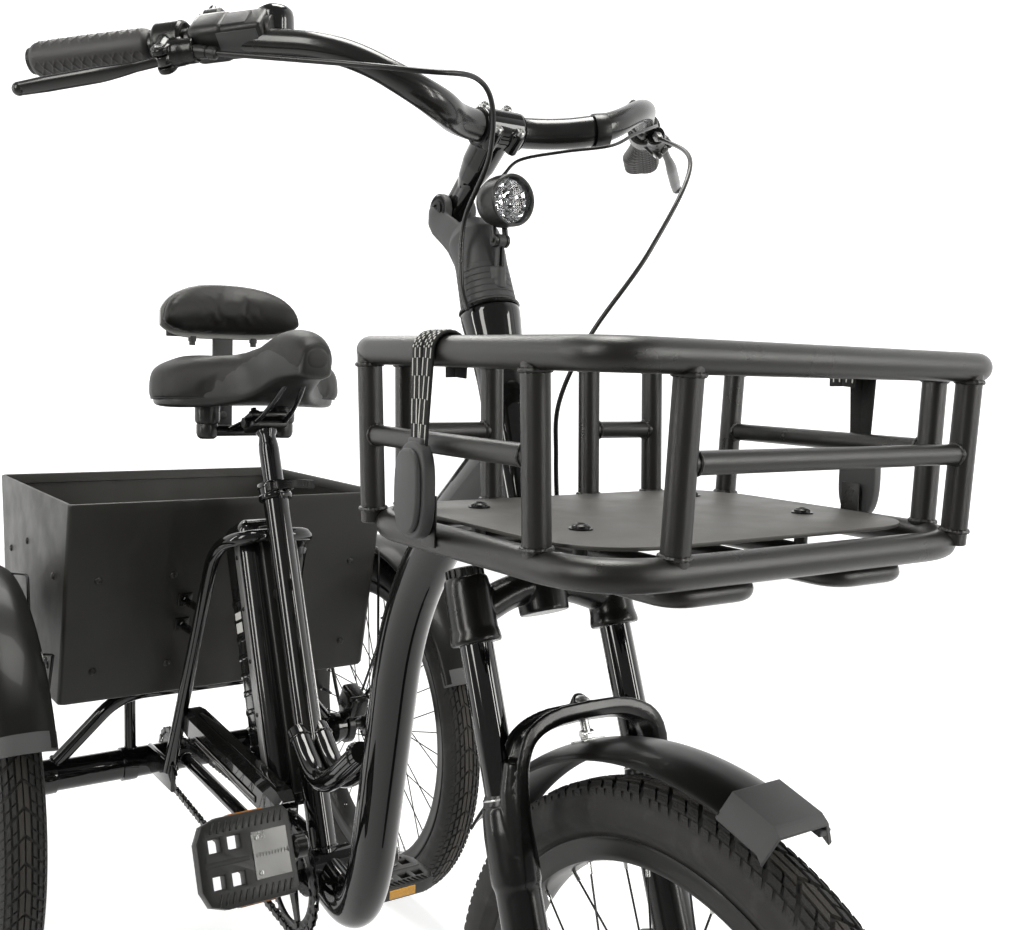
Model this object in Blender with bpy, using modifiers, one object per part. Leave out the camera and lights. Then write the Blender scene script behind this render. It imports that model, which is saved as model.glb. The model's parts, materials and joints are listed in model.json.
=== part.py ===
"""A cargo tricycle: loop frame, basket on the frame in front, open sheet box behind the saddle."""

import math

import bmesh
import bpy
from mathutils import Matrix, Vector

# Clearances
GAP = 0.0003

# Driving sizes: wheels and stance
WHEELBASE = 1.160
TRACK = 0.685
TYRE_RADIUS = 0.311
TYRE_WIDTH = 0.064
TREAD_FLAT = 0.036
RIM_RADIUS = 0.262
RIM_INNER_RADIUS = 0.2395
RIM_WIDTH = 0.043
RIM_WALL = 0.0025
RIM_WELL = 0.009          # depth of metal under the tyre's seat
RIM_TAPER = 0.92          # width of the rim's inner side as a share of its outer width
WHEEL_STEPS = 28
HUB_STEPS = 8
SPOKES = 6
SPOKE_RADIUS = 0.0014
FRONT_HUB_WIDTH = 0.100
REAR_HUB_WIDTH = 0.074
HUB_RADIUS = 0.018
HUB_NECK = 0.0126
HUB_FLANGE_RADIUS = 0.029
AXLE_RADIUS = 0.006
SHAFT_RADIUS = 0.0085
SHAFT_REACH = 0.100

DISC_RADIUS = 0.080
DISC_X = 0.042

# Driving sizes: steering and fork
HEAD_ANGLE = math.radians(69.27)
FORK_OFFSET = 0.043
LEG_SPREAD = 0.168
STANCHION_RADIUS = 0.0158
LOWER_RADIUS = 0.0205
LOWER_TOP = 0.301
FORK_TRAVEL = 0.045
STANCHION_DEPTH = 0.190
ARCH_TOP = 0.372
ARCH_FORWARD = 0.030
ARCH_RADIUS = 0.0135
GUARD_RADIUS = 0.345
GUARD_FRONT = math.radians(-12)
GUARD_REAR = math.radians(38)
FLAP_FRONT = math.radians(-21)
FLAP_TRIM = 0.0014        # shortens the straight flap to fit the guard's curved end
CALIPER_BACK = 0.062
CALIPER_UP = 0.048
CROWN_BOTTOM = 0.450
CROWN_TOP = 0.512
HEAD_BOTTOM = 0.529
HEAD_TOP = 0.785
HEAD_RADIUS = 0.026
HEAD_CREST_RADIUS = 0.0315
STEERER_RADIUS = 0.0143
COVER_TOP = 0.856

# Driving sizes: stem, bar and controls
STEM_PIVOT = Vector((0, -0.185, 1.140))
BAR_CLAMP = Vector((0, -0.266, 1.215))
BAR_RADIUS = 0.0127
BAR_END = Vector((0.400, -0.045, 1.258))
BAR_BEND = Vector((0.272, -0.180, 1.274))
BAR_CORNER = Vector((0.185, -0.282, 1.262))
BAR_STRAIGHT = 0.046      # half length of the straight middle of the bar
BAR_SHOULDER = Vector((0.100, -0.315, 1.220))
GRIP_LENGTH = 0.130
STEM_TONGUE = 0.0095
LIGHT_FOOT = Vector((0, -0.277, 1.102))
GRIP_RADIUS = 0.0168
LEVER_REACH = 0.052
LEVER_PIVOT = 0.030
LEVER_DROP = math.radians(42)   # how far the controls are turned down round the bar
BODY_BACK = 0.030         # from the clamp's middle in to the lever body's inner end
CABLE_FRONT = 0.0236
CABLE_GAP = 0.0016
CONTROL_BACK = 0.020
POD_BACK = 0.030          # from the bar's centre back to the thumb lever's axis
POD_HALF = 0.009          # half length of the pod that carries the thumb lever
SHIFTER_BACK = 0.054
SHIFTER_REACH = 0.064      # from the shifter's seat in to its case's inner end
BELL_BACK = 0.073          # from the shifter's seat in to the bell's middle
LIGHT_CENTRE = Vector((0, -0.276, 1.141))
LIGHT_RADIUS = 0.026
LIGHT_LUG = 0.0048
LIGHT_KNEE = 0.030        # from the headlight bracket's corner up to the lamp hinge
LIGHT_SHELF = 0.043       # height of the bracket's root over the head tube

# Cable routes, chosen by hand from the bar inwards
CABLE_ROUTE = ((-0.150, -0.345, 1.235), (-0.070, -0.345, 1.235), (-0.030, -0.300, 1.185),
               (-0.034, -0.262, 1.120),
               (-0.036, -0.262, 1.060), (-0.036, -0.275, 1.030))
HOSE_ROUTE = ((0.215, -0.325, 1.200), (0.140, -0.350, 1.100), (0.085, -0.325, 1.010), (0.062, -0.305, 0.940),
              (0.060, -0.305, 0.880), (0.062, -0.310, 0.800))

# Driving sizes: frame
BRACKET_CENTRE = Vector((0, 0.093, 0.294))
BRACKET_RADIUS = 0.028
BRACKET_WIDTH = 0.068
BRACKET_AXLE_RADIUS = 0.0085
SEAT_TUBE_SLOPE = 0.382
SEAT_TUBE_TOP = 0.797
SEAT_TUBE_RADIUS = 0.0180
POST_RADIUS = 0.0148
DOWN_TUBE_RADIUS = 0.031
DOWN_TUBE_SQUASH = 0.87
TUBE_WALL = 0.0025
DOWN_TUBE_ROUTE = (Vector((0, -0.318, 0.905)), Vector((0, -0.165, 0.775)), Vector((0, -0.095, 0.665)),
                   Vector((0, -0.055, 0.460)), Vector((0, -0.028, 0.325)), Vector((0, 0.010, 0.272)),
                   Vector((0, 0.085, 0.286)))
BRACE_SPREAD = 0.015
BRACE_RADIUS = 0.0145
BRACE_REAR = Vector((0, 0.160, 0.468))
BRACE_LOW = Vector((0, 0.078, 0.424))
BRACE_FRONT = Vector((0, -0.040, 0.500))
HOOP_RADIUS = 0.010
HOOP_TOP = Vector((0.052, 0.272, 0.722))
HOOP_SHOULDER = Vector((0.068, 0.335, 0.700))
HOOP_FOOT = Vector((0.085, 0.478, 0.325))
PLATE_X = 0.085
PLATE_THICKNESS = 0.008
PLATE_MIDDLE = 0.516
PLATE_LEVEL = 0.318
STAY_SPREAD = 0.030
STAY_RADIUS = 0.010
STAY_BRIDGE_BACK = 0.110   # from the bottom bracket back to the bar between the stays
RACK_FOOT_X = 0.235
RACK_HALF = 0.144
RACK_FRONT = 0.540
RACK_REAR = 0.800
BATTERY_LOW = 0.375
BATTERY_HIGH = 0.760
BATTERY_BACK = 0.078
BATTERY_WIDTH = 0.086
BATTERY_DEPTH = 0.076
BATTERY_FOOT_RISE = 0.040
BATTERY_HEAD_DROP = 0.110
HOUSING_RADIUS = 0.024
HOUSING_HALF = 0.286
RACK_RADIUS = 0.011

# Driving sizes: seat
POST_DEPTH = 0.260
SADDLE_CLAMP = Vector((0, 0.3175, 0.882))
CLAMP_HEIGHT = 0.024
SADDLE_NOSE = 0.132
SADDLE_TAIL = 0.442
SADDLE_CROWN = 0.016
SADDLE_DRAW = 0.22
SADDLE_HALF_WIDTHS = ((SADDLE_NOSE, 0.030), (0.212, 0.048), (0.288, 0.070), (0.364, 0.160),
                      (SADDLE_TAIL, 0.150))
SADDLE_TOPS = ((SADDLE_NOSE, 0.994), (0.212, 1.012), (0.288, 0.998), (0.364, 0.974), (SADDLE_TAIL, 0.970))
SADDLE_FLOORS = ((SADDLE_NOSE, 0.960), (0.212, 0.954), (0.288, 0.930), (0.364, 0.897), (SADDLE_TAIL, 0.892))
RAIL_RADIUS = 0.0035
RAIL_ROUTE = ((0.012, 0.205, 0.950), (0.018, 0.250, 0.912), (0.022, 0.300, 0.884), (0.022, 0.345, 0.880),
              (0.030, 0.388, 0.866))
POD_X = 0.060
POD_Y = 0.392
POD_LOW = 0.853
POD_HEIGHT = 0.046
POD_RADIUS = 0.018
BACKREST_DEPTH = 0.036
BACKREST_DRAW = 0.0074    # how far the pad's soft back draws in from its cage
BACKREST_WRAP = 0.036
BACKREST_HALF_WIDTH = 0.124
BACKREST_HEIGHT = 0.082
BACKREST_MIDDLE = 1.047
UPRIGHT_BACK = 0.048      # from the saddle's tail back to the backrest's upright
UPRIGHT_Y = SADDLE_TAIL + UPRIGHT_BACK
BACKREST_REAR = UPRIGHT_Y + 0.002
UPRIGHT_LOW = 0.861
UPRIGHT_TOP = 1.004
PLATE_WIDTH = 0.170
PLATE_HEIGHT = 0.030
PLATE_MIDDLE_Z = 1.006

# Driving sizes: drive
CRANK_LENGTH = 0.152
CRANK_OFFSET = 0.095
CRANK_ANGLE = math.radians(39.8)
CHAIN_LINE = 0.050
RING_RADIUS = 0.068
SPROCKET_RADIUS = 0.040
CHAIN_HALF = 0.0035
CHAIN_GAP = 0.0006
COVER_CENTRE = Vector((-0.062, 0.262, 0.4065))
COVER_LENGTH = 0.365
COVER_TILT = math.radians(4)
PEDAL_WIDTH = 0.112
PEDAL_DEPTH = 0.098
PEDAL_HEIGHT = 0.022
PEDAL_TURN = math.radians(65)

# Driving sizes: load carriers
REAR_GUARD_RADIUS = 0.345
REAR_GUARD_HALF = 0.0425
REAR_GUARD_FRONT = math.radians(-64)
REAR_GUARD_REAR = math.radians(60)
STAY_ANGLES = (math.radians(-42), math.radians(38))
BOX_HALF_WIDTH = 0.253
BOX_TOP = 0.7605
BOX_BOTTOM = 0.450
BOX_FRONT_TOP = 0.413
BOX_FRONT_BOTTOM = 0.480
BOX_REAR_TOP = 0.871
BOX_REAR_BOTTOM = 0.825
BOX_WALL = 0.003
BASKET_HALF_WIDTH = 0.209
BASKET_FRONT = -0.703
BASKET_REAR = -0.369
BASKET_TOP = 0.985
BASKET_BOTTOM = 0.839
BASKET_TAPER = 0.007
BASKET_RADIUS = 0.012
STRAP_TUCK = 0.0002       # how far a strap lies inside the ring's drawn radius, over its flats
BASKET_POST_RADIUS = 0.0105
BASKET_RAIL_RADIUS = 0.0085
BASKET_RACK_RADIUS = 0.008
BASKET_RAIL_LEVEL = 0.914
BASKET_RIGHT_POSTS = (-0.393, -0.629)
BASKET_LEFT_POSTS = (-0.411, -0.648)
BASKET_REAR_POSTS = (-0.159, -0.068, 0.048, 0.131)
BASKET_FRONT_POSTS = (-0.137, 0.176)
STRAP_RIGHT = -0.506
STRAP_LEFT = -0.560
RACK_ARM_X = 0.125
RACK_RUNNER_X = 0.045      # from the middle to each arm's straight run under the floor
RACK_FRONT_INSET = 0.020
RACK_REAR_INSET = 0.030
RACK_CROSS_RADIUS = 0.0068
FLOOR_BOLTS = (-0.440, -0.580)
FLOOR_HALF_WIDTH = 0.186
FLOOR_FRONT = -0.668
FLOOR_REAR = -0.391
FLOOR_CORNER = 0.075
FLOOR_TOP = 0.853
FLOOR_THICKNESS = 0.003

# Places worked out from the driving sizes
AXIS_UP = Vector((0, math.cos(HEAD_ANGLE), math.sin(HEAD_ANGLE)))
AXIS_FORWARD = Vector((0, -math.sin(HEAD_ANGLE), math.cos(HEAD_ANGLE)))
AXIS_TILT = HEAD_ANGLE - math.pi / 2
FRONT_HUB = Vector((0, -WHEELBASE / 2, TYRE_RADIUS))
REAR_HUB = Vector((0, WHEELBASE / 2, TYRE_RADIUS))
AXIS_FOOT = FRONT_HUB - FORK_OFFSET * AXIS_FORWARD
LEG_X = LEG_SPREAD / 2
SEAT_UP = Vector((0, SEAT_TUBE_SLOPE, 1)).normalized()
SEAT_BACK = Vector((0, SEAT_UP.z, -SEAT_UP.y))
SEAT_TILT = -math.atan(SEAT_TUBE_SLOPE)
HALF_STEP = math.pi / WHEEL_STEPS
SIDES = ((-1, "right"), (1, "left"))


def along_axis(height, side=0.0, forward=0.0):
    """A point by its distance up the steering axis from the foot, its x and its forward offset."""
    return AXIS_FOOT + AXIS_UP * height + AXIS_FORWARD * forward + Vector((side, 0, 0))


def along_seat_tube(z, back=0.0, side=0.0):
    """A point level with height z on the seat tube, moved square to it."""
    on_tube = BRACKET_CENTRE + SEAT_UP * ((z - BRACKET_CENTRE.z) / SEAT_UP.z)
    return on_tube + SEAT_BACK * back + Vector((side, 0, 0))


SEAT_TUBE_LINE = (BRACKET_CENTRE, along_seat_tube(SEAT_TUBE_TOP))


# Scene set-up
for old in list(bpy.data.objects):
    bpy.data.objects.remove(old)

PARTS = bpy.data.collections.new("tricycle")
CUTTERS = bpy.data.collections.new("cutters")
bpy.context.scene.collection.children.link(PARTS)
bpy.context.scene.collection.children.link(CUTTERS)


def material(name, colour, roughness, metallic):
    """A plain surface."""
    made = bpy.data.materials.new(name)
    made.use_nodes = True
    shader = made.node_tree.nodes["Principled BSDF"]
    shader.inputs["Base Color"].default_value = (*colour, 1)
    shader.inputs["Roughness"].default_value = roughness
    shader.inputs["Metallic"].default_value = metallic
    return made


GLOSS_BLACK = material("gloss_black", (0.012, 0.012, 0.013), 0.22, 0.2)
SATIN_BLACK = material("satin_black", (0.030, 0.030, 0.031), 0.5, 0.1)
BRONZE = material("bronze_grey", (0.110, 0.106, 0.098), 0.42, 0.5)
BOX_PAINT = material("box_paint", (0.085, 0.083, 0.078), 0.55, 0.2)
RUBBER = material("rubber", (0.020, 0.020, 0.020), 0.8, 0.0)
DARK_METAL = material("dark_metal", (0.060, 0.060, 0.062), 0.3, 0.9)
BARE_METAL = material("bare_metal", (0.550, 0.550, 0.560), 0.3, 1.0)
BLACK_PLASTIC = material("black_plastic", (0.018, 0.018, 0.019), 0.45, 0.0)
GREY_PLASTIC = material("grey_plastic", (0.230, 0.230, 0.225), 0.5, 0.0)
COVERING = material("covering", (0.035, 0.035, 0.036), 0.65, 0.0)
WEBBING = material("webbing", (0.045, 0.045, 0.047), 0.8, 0.0)


def holder(name, at, parent=None):
    """An empty on a joint's axis."""
    made = bpy.data.objects.new(name, None)
    PARTS.objects.link(made)
    made.location = at
    made.hide_render = True
    if parent:
        carry(parent, made)
    bpy.context.view_layer.update()
    return made


def carry(parent, *pieces):
    """Parent the pieces and leave them where they are."""
    for piece in pieces:
        piece.parent = parent
        piece.matrix_parent_inverse = parent.matrix_world.inverted()


def from_bmesh(name, made):
    """A new object from a bmesh."""
    mesh = bpy.data.meshes.new(name)
    made.to_mesh(mesh)
    made.free()
    piece = bpy.data.objects.new(name, mesh)
    PARTS.objects.link(piece)
    return piece


def finish(piece, surface, parent=None, angle=40):
    """Give a piece its material and shading, and carry it."""
    piece.data.materials.clear()
    piece.data.materials.append(surface)
    piece.data.shade_smooth()
    piece.data.set_sharp_from_angle(angle=math.radians(angle))
    if parent:
        carry(parent, piece)
    return piece


def rod(name, start, end, radius, sides=12, end_radius=None):
    """A cylinder or cone between two points."""
    start = Vector(start)
    end = Vector(end)
    made = bmesh.new()
    last = radius if end_radius is None else end_radius
    bmesh.ops.create_cone(made, cap_ends=True, segments=sides, radius1=radius, radius2=last,
                          depth=(end - start).length)
    piece = from_bmesh(name, made)
    piece.location = (start + end) / 2
    piece.rotation_euler = (end - start).to_track_quat("Z", "Y").to_euler()
    return piece


def block(name, size, at, turn=(0, 0, 0), bevel=0.0, segments=2):
    """A box, with rounded edges where a bevel is given."""
    made = bmesh.new()
    bmesh.ops.create_cube(made, size=1)
    bmesh.ops.scale(made, vec=size, verts=made.verts)
    piece = from_bmesh(name, made)
    piece.location = at
    piece.rotation_euler = turn
    if bevel:
        edge = piece.modifiers.new("edges", "BEVEL")
        edge.width = bevel
        edge.segments = segments
    return piece


def rounded(points, radius, steps=4, closed=False):
    """The points of a route with its corners turned into bends."""
    points = [Vector(point) for point in points]
    count = len(points)
    route = []
    for index, corner in enumerate(points):
        if not closed and index in (0, count - 1):
            route.append(corner)
            continue
        before = points[index - 1] - corner
        after = points[(index + 1) % count] - corner
        reach = min(radius, before.length * 0.48, after.length * 0.48)
        start = corner + before.normalized() * reach
        end = corner + after.normalized() * reach
        for step in range(steps + 1):
            t = step / steps
            route.append(start * (1 - t) ** 2 + corner * 2 * t * (1 - t) + end * t ** 2)
    return route


def smooth_route(points, count):
    """Evenly numbered points of a smooth curve through the given ones."""
    points = [Vector(point) for point in points]
    padded = [points[0] * 2 - points[1]] + points + [points[-1] * 2 - points[-2]]
    spans = len(points) - 1
    route = []
    for index in range(count):
        place = index * spans / (count - 1)
        span = min(int(place), spans - 1)
        t = place - span
        a, b, c, d = padded[span:span + 4]
        route.append(((2 * b) + (c - a) * t + (2 * a - 5 * b + 4 * c - d) * t ** 2
                      + (3 * b - a - 3 * c + d) * t ** 3) / 2)
    return route


def tube(name, points, radius, closed=False, wall=0.0, squash=1.0):
    """A bent tube or wire as a mesh; with a wall it is open at its ends."""
    curve = bpy.data.curves.new(name, "CURVE")
    curve.dimensions = "3D"
    spline = curve.splines.new("POLY")
    spline.points.add(len(points) - 1)
    for control, point in zip(spline.points, points):
        control.co = (*point, 1)
    spline.use_cyclic_u = closed
    curve.bevel_depth = radius
    curve.bevel_resolution = 2
    curve.use_fill_caps = not closed and not wall
    drawn = bpy.data.objects.new(name + "_line", curve)
    PARTS.objects.link(drawn)
    bpy.context.view_layer.update()
    mesh = bpy.data.meshes.new_from_object(drawn.evaluated_get(bpy.context.evaluated_depsgraph_get()))
    bpy.data.objects.remove(drawn)
    welded = bmesh.new()
    welded.from_mesh(mesh)
    bpy.data.meshes.remove(mesh)
    bmesh.ops.remove_doubles(welded, verts=welded.verts, dist=0.00001)
    bmesh.ops.scale(welded, vec=(squash, 1, 1), verts=welded.verts)
    bmesh.ops.recalc_face_normals(welded, faces=welded.faces)
    piece = from_bmesh(name, welded)
    if wall:
        shell = piece.modifiers.new("wall", "SOLIDIFY")
        shell.thickness = wall
        shell.offset = -1
    return piece


def turned(name, profile, at, direction=(1, 0, 0), steps=16, phase=0.0, closed=True):
    """A profile of (radius, distance along the axis), outer side first, turned about the axis."""
    made = bmesh.new()
    points = [made.verts.new((radius, 0, along)) for radius, along in profile]
    for first, second in zip(points, points[1:]):
        made.edges.new((first, second))
    if closed:
        made.edges.new((points[-1], points[0]))
    bmesh.ops.rotate(made, matrix=Matrix.Rotation(phase, 3, "Z"), verts=made.verts)
    piece = from_bmesh(name, made)
    piece.location = at
    piece.rotation_euler = Vector(direction).to_track_quat("Z", "Y").to_euler()
    screw = piece.modifiers.new("turn", "SCREW")
    screw.steps = steps
    screw.render_steps = steps
    screw.use_merge_vertices = True
    screw.merge_threshold = 0.00001
    screw.use_smooth_shade = True
    return piece


def put_away(piece):
    """Move a cutter or a joined shape out of the parts."""
    PARTS.objects.unlink(piece)
    CUTTERS.objects.link(piece)
    piece.hide_render = True
    piece.display_type = "WIRE"


def combine(piece, other, operation):
    """One Boolean step."""
    step = piece.modifiers.new(operation.lower(), "BOOLEAN")
    step.operation = operation
    step.solver = "EXACT"
    step.object = other
    if other.name in PARTS.objects:
        put_away(other)


def join(piece, *others):
    """Join shapes into the piece."""
    for other in others:
        combine(piece, other, "UNION")
    return piece


def cut(piece, *others):
    """Cut shapes out of the piece."""
    for other in others:
        combine(piece, other, "DIFFERENCE")
    return piece


def clear(piece, start, end, radius, sides=16, gap=GAP):
    """Cut the room of a round neighbour, with its clearance."""
    cutter = rod(piece.name + "_room", start, end, (radius + gap) / math.cos(math.pi / sides), sides)
    return cut(piece, cutter)


def vertex_radius(flat_radius, steps):
    """The corner radius of a faceted ring whose flats lie at the given radius."""
    return flat_radius / math.cos(math.pi / steps)


# Joint holders
STEERING = holder("steering_axis", along_axis(HEAD_BOTTOM))
LOWERS = holder("fork_slide", along_axis(LOWER_TOP), STEERING)
FRONT_SPIN = holder("front_wheel_axis", FRONT_HUB, LOWERS)
STEM = holder("stem_pivot", STEM_PIVOT, STEERING)
CRANK = holder("crank_axis", BRACKET_CENTRE)
SPROCKET = holder("sprocket_axis", REAR_HUB)
SEAT = holder("seat_slide", along_seat_tube(SEAT_TUBE_TOP))


# Wheels
def make_tyre(name, at, parent):
    """A tyre of C section with a flat tread, seated between the rim's flanges."""
    half = TYRE_WIDTH / 2
    bead = RIM_WIDTH / 2 - RIM_WALL - GAP
    depth = TYRE_RADIUS - RIM_RADIUS
    seat = RIM_INNER_RADIUS + RIM_WELL + GAP
    outer = [(seat, bead), (RIM_RADIUS + 0.002, bead), (RIM_RADIUS + 0.5 * depth, half),
             (TYRE_RADIUS, TREAD_FLAT / 2)]
    inner = [(TYRE_RADIUS - 0.012, half - 0.010), (seat, bead - 0.005)]
    loop = outer + [(radius, -along) for radius, along in reversed(outer)]
    loop += [(radius, -along) for radius, along in reversed(inner)] + inner
    profile = [(vertex_radius(radius, WHEEL_STEPS), along) for radius, along in loop]
    return finish(turned(name, profile, at, steps=WHEEL_STEPS, phase=HALF_STEP), RUBBER, parent)


def make_wheel(name, at, parent, side, hub_half, flange_at, shaft=0.0):
    """A laced wheel: rim, spokes and hub, with a drive shaft where the wheel has one."""
    half = RIM_WIDTH / 2
    well = RIM_INNER_RADIUS + RIM_WELL
    edge = half - RIM_WALL
    rim_loop = [(RIM_INNER_RADIUS, half * RIM_TAPER), (RIM_RADIUS, half), (well, edge),
                (well, -edge), (RIM_RADIUS, -half), (RIM_INNER_RADIUS, -half * RIM_TAPER)]
    profile = [(vertex_radius(radius, WHEEL_STEPS), along) for radius, along in rim_loop]
    rim = turned(name + "_rim", profile, at, steps=WHEEL_STEPS, phase=HALF_STEP)
    bore = (AXLE_RADIUS + GAP) / math.cos(math.pi / HUB_STEPS)
    shoulder = flange_at + 0.004
    waist = flange_at - 0.007
    hub_loop = [(bore, hub_half), (HUB_NECK, hub_half), (HUB_NECK, shoulder), (HUB_FLANGE_RADIUS, flange_at),
                (HUB_RADIUS, waist), (HUB_RADIUS, -waist), (HUB_FLANGE_RADIUS, -flange_at),
                (HUB_NECK, -shoulder),
                (HUB_NECK, -hub_half), (bore, -hub_half)]
    hub = turned(name, hub_loop, at, steps=HUB_STEPS)
    lacing = bmesh.new()
    for index in range(SPOKES):
        hand = 1 if index % 2 else -1
        angle = 2 * math.pi * (index + 0.5) / SPOKES
        lean = angle + hand * 0.35 * (1 if index % 4 < 2 else -1)
        start = Vector((hand * (flange_at - 0.002), math.cos(lean), math.sin(lean)))
        start.yz = start.yz * (HUB_FLANGE_RADIUS - 0.004)
        end = Vector((hand * 0.003, math.cos(angle) * (RIM_INNER_RADIUS + 0.004),
                      math.sin(angle) * (RIM_INNER_RADIUS + 0.004)))
        turn = (end - start).to_track_quat("Z", "Y").to_matrix().to_4x4()
        bmesh.ops.create_cone(lacing, cap_ends=True, segments=4, radius1=SPOKE_RADIUS,
                              radius2=SPOKE_RADIUS, depth=(end - start).length,
                              matrix=Matrix.Translation((start + end) / 2) @ turn)
    spokes = from_bmesh(name + "_spokes", lacing)
    spokes.location = at
    join(hub, spokes, rim)
    if shaft:
        inner = Vector(at) - Vector((side * (hub_half + shaft), 0, 0))
        join(hub, rod(name + "_shaft", inner, Vector(at) + Vector((side * (hub_half - 0.002), 0, 0)),
                      SHAFT_RADIUS, 8))
    return finish(hub, DARK_METAL, parent)


make_tyre("front_tyre", FRONT_HUB, FRONT_SPIN)
make_wheel("front_wheel", FRONT_HUB, FRONT_SPIN, 1, FRONT_HUB_WIDTH / 2, 0.030)
REAR_SPINS = {}
for side, word in SIDES:
    centre = REAR_HUB + Vector((side * TRACK / 2, 0, 0))
    REAR_SPINS[side] = holder("rear_wheel_axis_" + word, centre)
    make_tyre("rear_tyre_" + word, centre, REAR_SPINS[side])
    make_wheel("rear_wheel_" + word, centre, REAR_SPINS[side], side, REAR_HUB_WIDTH / 2, 0.026, SHAFT_REACH)


def make_disc():
    """The brake disc on the left of the front hub."""
    inner = HUB_NECK + GAP
    loop = [(DISC_RADIUS, DISC_X + 0.001), (DISC_RADIUS, DISC_X - 0.001), (inner, DISC_X - 0.001),
            (inner, DISC_X + 0.001)]
    disc = turned("front_disc", loop, FRONT_HUB, steps=20)
    finish(disc, BARE_METAL, FRONT_SPIN)


make_disc()


# Fork, moving with the steering
def make_fork_upper():
    """Crown with its steerer, and the two stanchions pressed into it."""
    sleeve_radius = STANCHION_RADIUS + 0.0075
    crown = rod("fork_crown", along_axis(CROWN_BOTTOM + 0.020), along_axis(HEAD_TOP + 0.020),
                STEERER_RADIUS, 16)
    for side, word in SIDES:
        x = side * LEG_X
        sleeve = rod("crown_sleeve", along_axis(CROWN_BOTTOM, x), along_axis(CROWN_TOP, x), sleeve_radius, 12,
                     sleeve_radius * 0.92)
        join(crown, sleeve)
    bridge_route = [along_axis(CROWN_BOTTOM + 0.027, -LEG_X * 0.98),
                    along_axis(CROWN_BOTTOM + 0.046, -LEG_X * 0.35),
                    along_axis(CROWN_BOTTOM + 0.046, LEG_X * 0.35),
                    along_axis(CROWN_BOTTOM + 0.027, LEG_X * 0.98)]
    join(crown, tube("crown_bridge", rounded(bridge_route, 0.02, 1), 0.0170))
    clear_top = CROWN_TOP - 0.008
    race = rod("crown_race", along_axis(HEAD_BOTTOM - 0.020), along_axis(HEAD_BOTTOM - GAP),
               HEAD_RADIUS - 0.001, 16)
    join(crown, race)
    for side, word in SIDES:
        x = side * LEG_X
        clear(crown, along_axis(CROWN_BOTTOM - 0.05, x), along_axis(clear_top + GAP, x), STANCHION_RADIUS, 12)
        stanchion = rod("stanchion_" + word, along_axis(LOWER_TOP - STANCHION_DEPTH, x),
                        along_axis(clear_top, x),
                        STANCHION_RADIUS, 12)
        finish(stanchion, GLOSS_BLACK, STEERING)
    finish(crown, GLOSS_BLACK, STEERING)


def make_fork_lowers():
    """Both lower legs with the arch, the dropouts and the axle."""
    foot = 0.020
    lowers = None
    for side, word in SIDES:
        x = side * LEG_X
        name = "fork_lowers" if lowers is None else "leg_" + word
        leg = rod(name, along_axis(foot, x), along_axis(LOWER_TOP, x), LOWER_RADIUS * 1.08, 12, LOWER_RADIUS)
        drop = rod("dropout_" + word, along_axis(foot + 0.022, x * 0.99),
                   FRONT_HUB + Vector((side * (FRONT_HUB_WIDTH / 2 + 0.012), 0, 0)), 0.014, 6, 0.008)
        boss = rod("dropout_boss_" + word, FRONT_HUB + Vector((side * (FRONT_HUB_WIDTH / 2 + 0.003), 0, 0)),
                   FRONT_HUB + Vector((side * (FRONT_HUB_WIDTH / 2 + 0.022), 0, 0)), 0.014, 8)
        join(leg, drop, boss)
        if lowers is None:
            lowers = leg
        else:
            join(lowers, leg)
    arch_route = [along_axis(LOWER_TOP - 0.025, -LEG_X, 0.004), along_axis(LOWER_TOP + 0.050, -LEG_X, 0.030),
                  along_axis(ARCH_TOP, -LEG_X * 0.62, ARCH_FORWARD), along_axis(ARCH_TOP, 0, ARCH_FORWARD),
                  along_axis(ARCH_TOP, LEG_X * 0.62, ARCH_FORWARD),
                  along_axis(LOWER_TOP + 0.050, LEG_X, 0.030),
                  along_axis(LOWER_TOP - 0.025, LEG_X, 0.004)]
    arch = tube("arch", rounded(arch_route, 0.028, 2), ARCH_RADIUS)
    axle = rod("front_axle", FRONT_HUB - Vector((FRONT_HUB_WIDTH / 2 + 0.028, 0, 0)),
               FRONT_HUB + Vector((FRONT_HUB_WIDTH / 2 + 0.028, 0, 0)), AXLE_RADIUS, 8)
    join(lowers, arch, axle)
    for side, word in SIDES:
        x = side * LEG_X
        clear(lowers, along_axis(LOWER_TOP - STANCHION_DEPTH - FORK_TRAVEL - 0.004, x),
              along_axis(LOWER_TOP + 0.05, x), STANCHION_RADIUS, 12)
    finish(lowers, SATIN_BLACK, LOWERS)


def arc_strip(name, centre, radius, first, last, half_width, crown, thickness, steps=16):
    """A curved guard over a wheel: angles count from straight up, positive to the rear."""
    across = ((1.0, -1.0), (0.8, -0.25), (0.0, 0.0), (-0.8, -0.25), (-1.0, -1.0))
    profile = [(radius + drop * crown, share * half_width) for share, drop in across]
    strip = turned(name, profile, centre, steps=steps, phase=math.pi / 2 - last, closed=False)
    strip.modifiers["turn"].angle = last - first
    shell = strip.modifiers.new("sheet", "SOLIDIFY")
    shell.thickness = thickness
    shell.offset = 0
    return strip


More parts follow.
